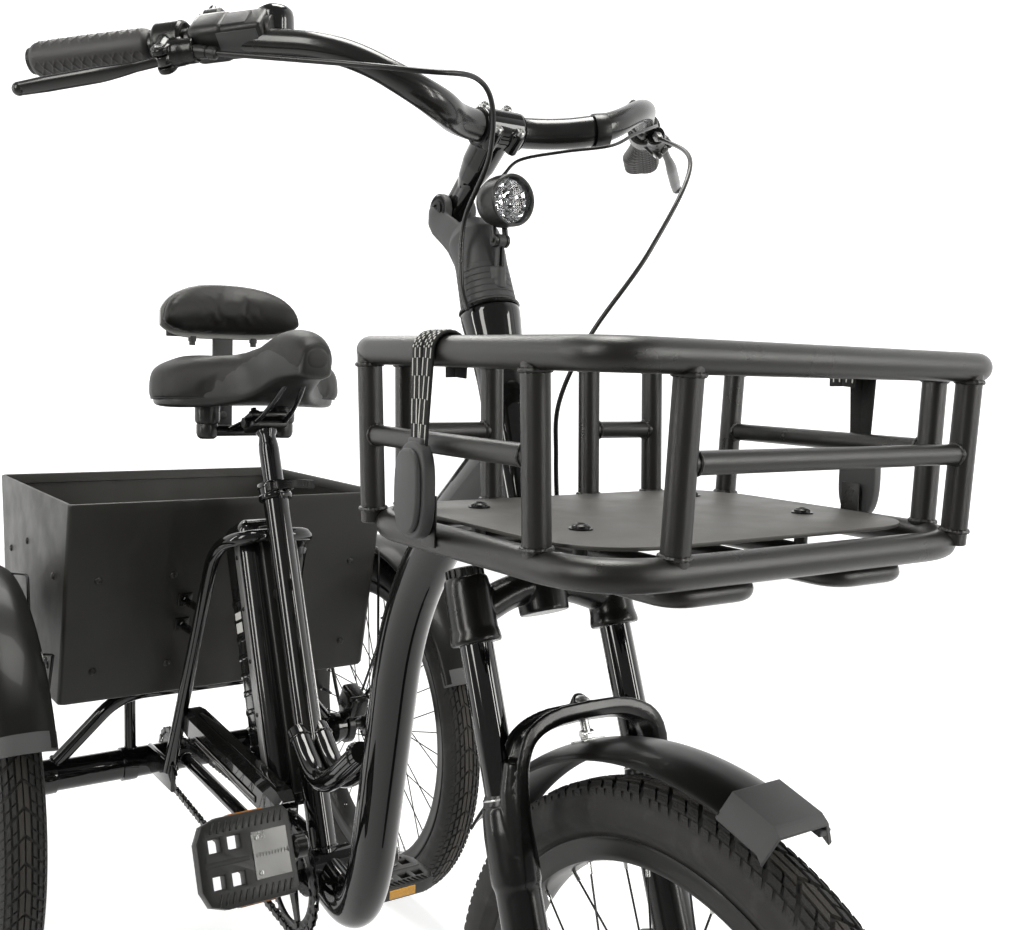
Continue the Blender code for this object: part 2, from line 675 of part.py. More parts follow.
def make_front_guard():
    """Front mudguard hung from the arch, with its grey end flap."""
    guard = arc_strip("front_mudguard", FRONT_HUB, GUARD_RADIUS, GUARD_FRONT, GUARD_REAR, 0.036, 0.010,
                      0.003, 6)
    hanger = rod("guard_hanger", along_axis(ARCH_TOP, 0, ARCH_FORWARD),
                 FRONT_HUB + (along_axis(ARCH_TOP, 0, ARCH_FORWARD) - FRONT_HUB).normalized() * GUARD_RADIUS,
                 0.012, 8)
    join(guard, hanger)
    clear(guard, along_axis(ARCH_TOP, -0.04, ARCH_FORWARD), along_axis(ARCH_TOP, 0.04, ARCH_FORWARD),
          ARCH_RADIUS)
    finish(guard, GLOSS_BLACK, LOWERS)
    middle = (FLAP_FRONT + GUARD_FRONT) / 2
    reach = GUARD_RADIUS - 0.003
    at = FRONT_HUB + Vector((0, math.sin(middle) * reach, math.cos(middle) * reach))
    length = (GUARD_FRONT - FLAP_FRONT) * GUARD_RADIUS - 2 * GAP - FLAP_TRIM
    flap = block("front_mudguard_flap", (0.074, length, 0.020), at, (-middle, 0, 0), 0.005, 1)
    finish(flap, GREY_PLASTIC, LOWERS)


def make_front_caliper():
    """The caliper round the disc, behind the left leg."""
    at = FRONT_HUB + Vector((DISC_X + 0.004, CALIPER_BACK, CALIPER_UP))
    body = block("front_caliper", (0.026, 0.034, 0.050), at, (0.35, 0, 0), 0.003, 1)
    slot = block("caliper_slot", (0.0048, 0.080, 0.120),
                 FRONT_HUB + Vector((DISC_X, CALIPER_BACK - 0.032, CALIPER_UP)),
                 (0.35, 0, 0))
    mount = rod("caliper_mount", at + Vector((0.006, -0.004, 0.004)), along_axis(0.135, LEG_X * 0.93),
                0.007, 8)
    join(body, mount)
    cut(body, slot)
    clear(body, along_axis(-0.02, LEG_X), along_axis(LOWER_TOP, LEG_X), LOWER_RADIUS * 1.08, 16)
    finish(body, DARK_METAL, LOWERS)


make_fork_upper()
make_fork_lowers()
make_front_guard()
make_front_caliper()


# Head of the frame
def make_head_tube():
    """The head tube with its two bearing cups."""
    length = HEAD_TOP - HEAD_BOTTOM
    cup = HEAD_RADIUS + 0.003
    crest = HEAD_CREST_RADIUS
    bore = (STEERER_RADIUS + GAP) / math.cos(math.pi / 12)
    loop = [(crest - 0.003, length), (crest, length - 0.004), (crest, length - 0.018),
            (HEAD_RADIUS, length - 0.075),
            (HEAD_RADIUS, 0.014), (cup, 0.012), (cup, 0), (bore, 0), (bore, length)]
    finish(turned("head_tube", loop, along_axis(HEAD_BOTTOM), AXIS_UP, 12), GLOSS_BLACK)




def make_stem():
    """Spacers and cover on the steerer, with the ears that carry the tilting stem."""
    low = HEAD_TOP + GAP
    bore = (STEERER_RADIUS + GAP) / math.cos(math.pi / 12)
    top = COVER_TOP - low
    loop = [(0, top), (0.018, top), (0.029, top - 0.006), (0.0270, 0.028), (0.0255, 0.026), (0.0262, 0.006),
            (0.0300, 0.004), (0.0300, 0), (bore, 0), (bore, 0.021), (0, 0.0215)]
    cover = turned("stem_base", loop, along_axis(low), AXIS_UP, 12, closed=False)
    heel = along_axis(COVER_TOP - 0.020)
    for side in (-1, 1):
        shift = Vector((side * 0.0165, 0, 0))
        ear = rod("stem_ear", heel + Vector((side * 0.011, 0, 0)), STEM_PIVOT + shift, 0.010, 8, 0.008)
        knuckle = rod("stem_knuckle", STEM_PIVOT + Vector((side * (STEM_TONGUE + 0.001), 0, 0)),
                      STEM_PIVOT + Vector((side * (STEM_TONGUE + 0.009), 0, 0)), 0.0165, 12)
        join(cover, ear, knuckle)
    room = rod("tongue_room", STEM_PIVOT - Vector((STEM_TONGUE, 0, 0)),
               STEM_PIVOT + Vector((STEM_TONGUE, 0, 0)),
               0.0180, 12)
    cut(cover, room)
    pin = rod("stem_pin", STEM_PIVOT - Vector((STEM_TONGUE + 0.008, 0, 0)),
              STEM_PIVOT + Vector((STEM_TONGUE + 0.008, 0, 0)), 0.004, 12)
    knee = LIGHT_FOOT - Vector((0, 0, LIGHT_KNEE))
    shelf = rod("light_bracket", along_axis(HEAD_TOP + LIGHT_SHELF, 0, 0.018), knee, 0.0050, 8)
    post = rod("light_bracket_post", knee - Vector((0, 0, 0.004)), LIGHT_FOOT, 0.0045, 8)
    lug = rod("light_lug", LIGHT_FOOT - Vector((LIGHT_LUG, 0, 0)), LIGHT_FOOT + Vector((LIGHT_LUG, 0, 0)),
              0.007, 12)
    join(cover, pin)
    join(cover, shelf)
    join(cover, post)
    join(cover, lug)
    finish(cover, SATIN_BLACK, STEERING)


make_head_tube()
make_stem()


# Bar and controls, moving with the stem
def bar_line():
    """The bar's centre line, from end to end."""
    route = []
    for side in (-1, 1):
        half = [BAR_END, BAR_BEND, BAR_CORNER, BAR_SHOULDER, Vector((BAR_STRAIGHT, BAR_CLAMP.y, BAR_CLAMP.z))]
        half = [Vector((side * point.x, point.y, point.z)) for point in half]
        route += half if side < 0 else half[::-1]
    return rounded(route, 0.045, 2)


def make_stem_arm():
    """The stem's tongue, arm and bar clamp."""
    arm = rod("stem_arm", STEM_PIVOT, BAR_CLAMP, 0.0155, 12, 0.0175)
    narrow = block("stem_side_room", (0.040, 0.052, 0.070), STEM_PIVOT)
    tongue = rod("stem_tongue", STEM_PIVOT - Vector((STEM_TONGUE - GAP, 0, 0)),
                 STEM_PIVOT + Vector((STEM_TONGUE - GAP, 0, 0)), 0.0155, 12)
    waist = rod("stem_waist", STEM_PIVOT, STEM_PIVOT.lerp(BAR_CLAMP, 0.5), STEM_TONGUE - GAP, 12)
    cut(arm, narrow)
    ring = rod("stem_ring", BAR_CLAMP - Vector((0.024, 0, 0)), BAR_CLAMP + Vector((0.024, 0, 0)), 0.0205, 12)
    join(arm, ring, tongue, waist)
    cut(arm, tube("bar_room", bar_line(), BAR_RADIUS + GAP * 2))
    clear(arm, STEM_PIVOT - Vector((0.03, 0, 0)), STEM_PIVOT + Vector((0.03, 0, 0)), 0.004, 12)
    finish(arm, GLOSS_BLACK, STEM)


def make_bar():
    """The swept handlebar and its two grips."""
    bar = tube("handlebar", bar_line(), BAR_RADIUS)
    finish(bar, GLOSS_BLACK, STEM)
    for side, word in SIDES:
        end = Vector((side * BAR_END.x, BAR_END.y, BAR_END.z))
        inward = Vector((side * (BAR_BEND.x - BAR_END.x), BAR_BEND.y - BAR_END.y,
                         BAR_BEND.z - BAR_END.z)).normalized()
        bore = (BAR_RADIUS + GAP * 2) / math.cos(math.pi / 12)
        profile = [(0, 0), (GRIP_RADIUS * 0.85, 0), (GRIP_RADIUS, -0.004),
                   (GRIP_RADIUS * 1.04, -GRIP_LENGTH * 0.45),
                   (GRIP_RADIUS * 0.95, -GRIP_LENGTH * 0.75), (GRIP_RADIUS, 0.010 - GRIP_LENGTH),
                   (GRIP_RADIUS * 0.86, -GRIP_LENGTH), (bore, -GRIP_LENGTH), (bore, -0.004), (0, -0.004)]
        grip = turned("grip_" + word, profile, end - inward * (0.004 + GAP), -inward, 12, closed=False)
        finish(grip, RUBBER, STEM)


def grip_frame(side):
    """The grip's inner end, its outward direction, the way to its lever and the lever's hinge line."""
    end = Vector((side * BAR_END.x, BAR_END.y, BAR_END.z))
    bend = Vector((side * BAR_BEND.x, BAR_BEND.y, BAR_BEND.z))
    outward = (end - bend).normalized()
    level = Vector((side * outward.y, -side * outward.x, 0)).normalized()
    up = level.cross(outward) * side
    front = level * math.cos(LEVER_DROP) - up * math.sin(LEVER_DROP)
    rise = up * math.cos(LEVER_DROP) + level * math.sin(LEVER_DROP)
    return end - outward * GRIP_LENGTH, outward, front, rise


make_stem_arm()
make_bar()


def add_shifter(housing):
    """Shifter case with its pod and the bell dome, joined to the right control."""
    inner, outward, front, rise = grip_frame(-1)
    seat = inner - outward * SHIFTER_BACK
    axis = seat - front * POD_BACK
    case = rod("shifter_case", seat - outward * 0.013, seat + outward * POD_HALF, 0.0195, 12)
    neck = rod("shifter_neck", seat, seat + outward * 0.024, 0.0165, 12)
    reach = rod("shifter_reach", seat - outward * SHIFTER_REACH, seat, 0.0185, 12)
    clamp = rod("bell_clamp", seat - outward * (BELL_BACK + 0.007), seat - outward * (BELL_BACK - 0.012),
                0.0165, 12)
    pod = rod("shifter_pod", axis - outward * POD_HALF, axis + outward * POD_HALF, 0.015, 12)
    dome = turned("bell_dome", [(0, 0.040), (0.012, 0.038), (0.019, 0.030), (0.021, 0.020), (0.006, 0.018),
                                (0, 0)],
                  seat - outward * BELL_BACK, (0, 0, 1), 12, closed=False)
    join(housing, neck, case, reach, clamp, pod, dome)


def make_thumb_lever():
    """The thumb lever on the shifter's pod."""
    inner, outward, front, rise = grip_frame(-1)
    start = inner - outward * (SHIFTER_BACK - POD_HALF - GAP) - front * POD_BACK
    middle = start + outward * 0.0026
    hinge = holder("thumb_lever_axis", start, STEM)
    disc = rod("thumb_lever", start, start + outward * 0.005, 0.012, 12)
    paddle = rod("thumb_paddle", middle - front * 0.006, middle - front * 0.034 + rise * 0.004,
                 0.0024, 6, 0.0045)
    join(disc, paddle)
    finish(disc, BLACK_PLASTIC, hinge)


def make_controls():
    """Clamp housings on the bar, with their levers on hinges."""
    for side, word in SIDES:
        inner, outward, front, rise = grip_frame(side)
        hold = inner - outward * CONTROL_BACK
        housing = rod("control_" + word, hold - outward * 0.016, hold + outward * 0.016, 0.0210, 12)
        pivot = hold + front * LEVER_PIVOT
        body = rod("control_body", hold - outward * BODY_BACK + front * 0.020,
                   hold + outward * 0.004 + front * 0.022,
                   0.0125, 12, 0.014)
        yoke = rod("control_yoke", pivot - rise * 0.013, pivot + rise * 0.013, 0.0085, 12)
        join(housing, body, yoke)
        if side == -1:
            add_shifter(housing)
        cut(housing, tube("bar_room", bar_line(), BAR_RADIUS + GAP * 2))
        slot = rod("lever_room", pivot - rise * 0.0055, pivot + rise * 0.0055, 0.0125, 12)
        swing = block("lever_swing", (0.060, 0.060, 0.011), pivot + outward * 0.026 + front * 0.026,
                      Matrix((outward, rise.cross(outward), rise)).transposed().to_euler())
        cut(housing, slot, swing)
        pin = rod("lever_pin", pivot - rise * 0.012, pivot + rise * 0.012, 0.003, 8)
        join(housing, pin)
        finish(housing, SATIN_BLACK, STEM)
        hinge = holder("brake_lever_axis_" + word, pivot, STEM)
        route = [pivot + front * 0.002, pivot + outward * 0.014 + front * 0.007,
                 pivot + outward * 0.050 + front * (LEVER_REACH - LEVER_PIVOT) * 0.7,
                 pivot + outward * 0.105 + front * (LEVER_REACH - LEVER_PIVOT),
                 pivot + outward * 0.140 + front * (LEVER_REACH + 0.004 - LEVER_PIVOT)]
        lever = tube("brake_lever_" + word, smooth_route(route, 7), 0.0050)
        eye = rod("lever_eye", pivot - rise * 0.005, pivot + rise * 0.005, 0.0085, 12)
        join(lever, eye)
        clear(lever, pivot - rise * 0.02, pivot + rise * 0.02, 0.003, 8)
        finish(lever, DARK_METAL, hinge)


def make_light():
    """The headlight on its tilting lug."""
    hinge = holder("headlight_axis", LIGHT_FOOT, STEERING)
    loop = [(0, 0.021), (LIGHT_RADIUS - 0.004, 0.021), (LIGHT_RADIUS - 0.003, 0.0225), (LIGHT_RADIUS, 0.021),
            (LIGHT_RADIUS, 0.002), (LIGHT_RADIUS * 0.75, -0.016), (0, -0.020)]
    shell = turned("headlight", loop, LIGHT_CENTRE, (0, -1, 0), 12, closed=False)
    for side in (-1, 1):
        ear = rod("light_ear", LIGHT_FOOT + Vector((side * (LIGHT_LUG + GAP), 0, 0)),
                  LIGHT_FOOT + Vector((side * (LIGHT_LUG + 0.0040), 0, 0)), 0.007, 12)
        stalk = rod("light_stalk", LIGHT_FOOT + Vector((side * (LIGHT_LUG + 0.0022), 0, 0)),
                    LIGHT_CENTRE + Vector((side * (LIGHT_LUG + 0.0022), 0.004, -0.015)), 0.0020, 6)
        join(shell, ear, stalk)
    finish(shell, BLACK_PLASTIC, hinge)


make_controls()
make_thumb_lever()
make_light()


# Frame tubes
def make_frame_tubes():
    """Down tube, seat tube, bracket shell, braces and hoop, each coped round its neighbour."""
    shell_ends = (BRACKET_CENTRE - Vector((BRACKET_WIDTH / 2, 0, 0)),
                  BRACKET_CENTRE + Vector((BRACKET_WIDTH / 2, 0, 0)))
    reach_ends = (BRACKET_CENTRE - Vector((0.2, 0, 0)), BRACKET_CENTRE + Vector((0.2, 0, 0)))
    shell = rod("bottom_bracket", *shell_ends, BRACKET_RADIUS, 16)
    clear(shell, *reach_ends, BRACKET_AXLE_RADIUS, 12)
    finish(shell, GLOSS_BLACK)
    seat_low = BRACKET_CENTRE + SEAT_UP * 0.010
    seat_top = along_seat_tube(SEAT_TUBE_TOP)
    seat_tube = rod("seat_tube", seat_low, seat_top, SEAT_TUBE_RADIUS, 16)
    clear(seat_tube, *reach_ends, BRACKET_RADIUS, 16)
    clear(seat_tube, seat_low - SEAT_UP * 0.1, seat_top + SEAT_UP * 0.1, POST_RADIUS, 16)
    finish(seat_tube, GLOSS_BLACK)
    down = tube("down_tube", rounded(DOWN_TUBE_ROUTE, 0.075, 1), DOWN_TUBE_RADIUS, wall=TUBE_WALL,
                squash=DOWN_TUBE_SQUASH)
    clear(down, along_axis(HEAD_BOTTOM - 0.1), along_axis(HEAD_TOP + 0.1), HEAD_RADIUS)
    clear(down, *reach_ends, BRACKET_RADIUS)
    finish(down, GLOSS_BLACK)
    for side, word in SIDES:
        x = side * BRACE_SPREAD
        route = [point + Vector((x, 0, 0)) for point in (BRACE_REAR, BRACE_LOW, BRACE_FRONT)]
        brace = tube("frame_brace_" + word, smooth_route(route, 8), BRACE_RADIUS)
        clear(brace, seat_low, seat_top, SEAT_TUBE_RADIUS)
        keep_out = tube("down_room", rounded(DOWN_TUBE_ROUTE, 0.075, 1), DOWN_TUBE_RADIUS + GAP * 2,
                        squash=DOWN_TUBE_SQUASH)
        cut(brace, keep_out)
        finish(brace, GLOSS_BLACK)


make_frame_tubes()


def make_hoop():
    """The bent tube from the seat tube, round both sides of the battery, to the axle plates."""
    half = [HOOP_FOOT, HOOP_SHOULDER, HOOP_TOP]
    route = [Vector((-point.x, point.y, point.z)) for point in half] + half[::-1]
    hoop = tube("battery_hoop", rounded(route, 0.035, 2), HOOP_RADIUS)
    clear(hoop, *SEAT_TUBE_LINE, SEAT_TUBE_RADIUS)
    for side in (-1, 1):
        plate = block("plate_room", (PLATE_THICKNESS + 2 * GAP, 0.120, 0.045 + 2 * GAP),
                      Vector((side * PLATE_X, PLATE_MIDDLE, PLATE_LEVEL)))
        cut(hoop, plate)
    finish(hoop, GLOSS_BLACK)


def make_rear_frame():
    """Axle housing with its plates, the two stays, and the rack under the box."""
    ends = (REAR_HUB - Vector((HOUSING_HALF, 0, 0)), REAR_HUB + Vector((HOUSING_HALF, 0, 0)))
    housing = rod("axle_housing", *ends, HOUSING_RADIUS, 16)
    for side in (-1, 1):
        plate = block("housing_plate", (PLATE_THICKNESS, 0.120, 0.045),
                      Vector((side * PLATE_X, PLATE_MIDDLE, PLATE_LEVEL)), bevel=0.006, segments=1)
        join(housing, plate)
    clear(housing, REAR_HUB - Vector((0.4, 0, 0)), REAR_HUB + Vector((0.4, 0, 0)), SHAFT_RADIUS)
    finish(housing, GLOSS_BLACK)
    stays = None
    for side in (-1, 1):
        x = side * STAY_SPREAD
        stay = rod("rear_stays" if stays is None else "stay",
                   (x, BRACKET_CENTRE.y + 0.010, BRACKET_CENTRE.z - 0.004),
                   (x, REAR_HUB.y - 0.006, REAR_HUB.z), STAY_RADIUS, 12)
        stays = stay if stays is None else join(stays, stay)
    bridge_y = BRACKET_CENTRE.y + STAY_BRIDGE_BACK
    join(stays, rod("stay_bridge", (-STAY_SPREAD, bridge_y, BRACKET_CENTRE.z),
                    (STAY_SPREAD, bridge_y, BRACKET_CENTRE.z),
                    STAY_RADIUS * 0.8, 10))
    clear(stays, BRACKET_CENTRE - Vector((0.2, 0, 0)), BRACKET_CENTRE + Vector((0.2, 0, 0)), BRACKET_RADIUS)
    clear(stays, REAR_HUB - Vector((0.2, 0, 0)), REAR_HUB + Vector((0.2, 0, 0)), HOUSING_RADIUS)
    finish(stays, GLOSS_BLACK)
    level = BOX_BOTTOM - GAP - RACK_RADIUS
    front_route = [(-RACK_FOOT_X, REAR_HUB.y, REAR_HUB.z + 0.018), (-RACK_HALF, RACK_FRONT, level),
                   (RACK_HALF, RACK_FRONT, level), (RACK_FOOT_X, REAR_HUB.y, REAR_HUB.z + 0.018)]
    rack = tube("cargo_rack", rounded(front_route, 0.04, 2), RACK_RADIUS)
    loop_route = [(-RACK_HALF * 0.8, RACK_FRONT, level), (-RACK_HALF * 0.8, RACK_REAR, level),
                  (RACK_HALF * 0.8, RACK_REAR, level), (RACK_HALF * 0.8, RACK_FRONT, level)]
    join(rack, tube("rack_loop", rounded(loop_route, 0.05, 2), RACK_RADIUS))
    for side in (-1, 1):
        join(rack, rod("rack_post", (side * RACK_HALF * 0.8, REAR_HUB.y + 0.004, level),
                       (side * RACK_HALF * 0.8, REAR_HUB.y, REAR_HUB.z + 0.014), 0.009, 8))
    clear(rack, REAR_HUB - Vector((0.4, 0, 0)), REAR_HUB + Vector((0.4, 0, 0)), HOUSING_RADIUS)
    finish(rack, GLOSS_BLACK)


def make_box():
    """The open sheet box, tapered fore and aft."""
    made = bmesh.new()
    bmesh.ops.create_cube(made, size=1)
    for corner in made.verts:
        top = corner.co.z > 0
        front = corner.co.y < 0
        corner.co.x = math.copysign(BOX_HALF_WIDTH, corner.co.x)
        corner.co.z = BOX_TOP if top else BOX_BOTTOM
        if front:
            corner.co.y = BOX_FRONT_TOP if top else BOX_FRONT_BOTTOM
        else:
            corner.co.y = BOX_REAR_TOP if top else BOX_REAR_BOTTOM
    lid = [face for face in made.faces if all(corner.co.z == BOX_TOP or corner.co.z > BOX_TOP - 0.0001
                                              for corner in face.verts)]
    bmesh.ops.delete(made, geom=lid, context="FACES_ONLY")
    box = from_bmesh("cargo_box", made)
    edge = box.modifiers.new("folds", "BEVEL")
    edge.width = 0.010
    edge.segments = 2
    sheet = box.modifiers.new("sheet", "SOLIDIFY")
    sheet.thickness = BOX_WALL
    sheet.offset = -1
    finish(box, BOX_PAINT)


def make_battery():
    """The battery standing behind the seat tube."""
    low = along_seat_tube(BATTERY_LOW, BATTERY_BACK)
    high = along_seat_tube(BATTERY_HIGH, BATTERY_BACK)
    length = (high - low).length
    case = block("battery", (BATTERY_WIDTH, BATTERY_DEPTH, length), (low + high) / 2, (SEAT_TILT, 0, 0),
                 0.016, 2)
    foot = rod("battery_foot", along_seat_tube(BATTERY_LOW + BATTERY_FOOT_RISE),
               along_seat_tube(BATTERY_LOW + BATTERY_FOOT_RISE, BATTERY_BACK),
               0.010, 8)
    head = rod("battery_head", along_seat_tube(BATTERY_HIGH - BATTERY_HEAD_DROP),
               along_seat_tube(BATTERY_HIGH - BATTERY_HEAD_DROP, BATTERY_BACK),
               0.010, 8)
    join(case, foot, head)
    clear(case, *SEAT_TUBE_LINE, SEAT_TUBE_RADIUS)
    finish(case, BLACK_PLASTIC)


make_hoop()
make_rear_frame()
make_box()
make_battery()


# Drive
def make_crank():
    """Cranks on the bracket axle, with the chainring on the right one."""
    forward = Vector((0, -math.cos(CRANK_ANGLE), math.sin(CRANK_ANGLE)))
    for side, word in SIDES:
        reach = forward * CRANK_LENGTH * (1 if side < 0 else -1)
        root = BRACKET_CENTRE + Vector((side * CRANK_OFFSET, 0, 0))
        tip = root + reach
        out = Vector((side, 0, 0))
        arm = block("crank_arm_" + word, (0.014, CRANK_LENGTH, 0.022), (root + tip) / 2,
                    (-CRANK_ANGLE, 0, 0), 0.003, 1)
        for at, radius in ((root, 0.0175), (tip, 0.0145)):
            join(arm, rod("crank_boss", at - out * 0.009, at + out * 0.009, radius, 10))
        join(arm, rod("pedal_spindle", tip + out * 0.005, tip + out * (0.012 + PEDAL_WIDTH * 0.92),
                      AXLE_RADIUS, 8))
        if side < 0:
            axle_end = BRACKET_CENTRE + Vector((CRANK_OFFSET - 0.009 - GAP, 0, 0))
            join(arm, rod("bracket_axle", root, axle_end, BRACKET_AXLE_RADIUS, 12))
            ring_at = BRACKET_CENTRE - Vector((CHAIN_LINE, 0, 0))
            loop = [(vertex_radius(RING_RADIUS, 20), 0.0018), (vertex_radius(RING_RADIUS, 20), -0.0018),
                    (RING_RADIUS - 0.012, -0.0018), (RING_RADIUS - 0.012, 0.0018)]
            ring = turned("chainring", loop, ring_at, steps=20)
            spider = rod("spider", root, ring_at - Vector((0.0018, 0, 0)), 0.0170, 10)
            join(arm, ring, spider)
            for index in range(5):
                angle = CRANK_ANGLE + 2 * math.pi * (index + 0.5) / 5
                far = ring_at + Vector((0, math.cos(angle), math.sin(angle))) * (RING_RADIUS - 0.008)
                join(arm, rod("spider_arm", ring_at, far, 0.0045, 4))
        finish(arm, DARK_METAL, CRANK)
        turn = PEDAL_TURN if side < 0 else 0.0
        hinge = holder("pedal_axis_" + word, tip, CRANK)
        middle = tip + out * (0.012 + PEDAL_WIDTH / 2)
        pedal = block("pedal_" + word, (PEDAL_WIDTH, PEDAL_DEPTH, PEDAL_HEIGHT), middle, (turn, 0, 0),
                      0.006, 1)
        for hand in (-1, 1):
            shift = Matrix.Rotation(turn, 3, "X") @ Vector((0, hand * PEDAL_DEPTH * 0.25, 0))
            window = block("pedal_window", (PEDAL_WIDTH * 0.70, PEDAL_DEPTH * 0.20, 0.1), middle + shift,
                           (turn, 0, 0))
            cut(pedal, window)
        clear(pedal, tip - out * 0.01, tip + out * 0.2, AXLE_RADIUS, 8)
        finish(pedal, BLACK_PLASTIC, hinge)


def make_chain():
    """Sprocket on the housing, the chain loop and the cover over it."""
    at = REAR_HUB - Vector((CHAIN_LINE, 0, 0))
    bore = (HOUSING_RADIUS + GAP) / math.cos(math.pi / 20)
    tooth = vertex_radius(SPROCKET_RADIUS, 20)
    loop = [(tooth, 0.0016), (tooth, -0.0016), (bore + 0.004, -0.006), (bore, -0.006), (bore, 0.0016)]
    finish(turned("rear_sprocket", loop, at, steps=20), DARK_METAL, SPROCKET)
    front = BRACKET_CENTRE - Vector((CHAIN_LINE, 0, 0))
    big = vertex_radius(RING_RADIUS, 20) + CHAIN_HALF + CHAIN_GAP
    small = tooth + CHAIN_HALF + CHAIN_GAP
    span = (at - front).length
    slant = math.atan2(at.z - front.z, at.y - front.y)
    lean = math.asin((big - small) / span)
    route = []
    for centre, radius, first, last, steps in ((front, big, math.pi / 2 - lean, 1.5 * math.pi + lean, 12),
                                               (at, small, -math.pi / 2 + lean, math.pi / 2 - lean, 8)):
        for step in range(steps + 1):
            angle = slant + first + (last - first) * step / steps
            wide = radius / math.cos((last - first) / steps / 2) if 0 < step < steps else radius
            route.append(centre + Vector((0, math.cos(angle), math.sin(angle))) * wide)
    finish(tube("chain", route, CHAIN_HALF, closed=True), DARK_METAL)
    cover = block("chain_cover", (0.036, COVER_LENGTH, 0.040), COVER_CENTRE, (COVER_TILT, 0, 0), 0.006, 1)
    leg_low = Vector((-HOOP_FOOT.x, HOOP_FOOT.y, HOOP_FOOT.z))
    leg_high = Vector((-HOOP_SHOULDER.x, HOOP_SHOULDER.y, HOOP_SHOULDER.z))
    clear(cover, leg_low, leg_high, HOOP_RADIUS, 16, GAP * 2)
    finish(cover, GLOSS_BLACK)


make_crank()
make_chain()


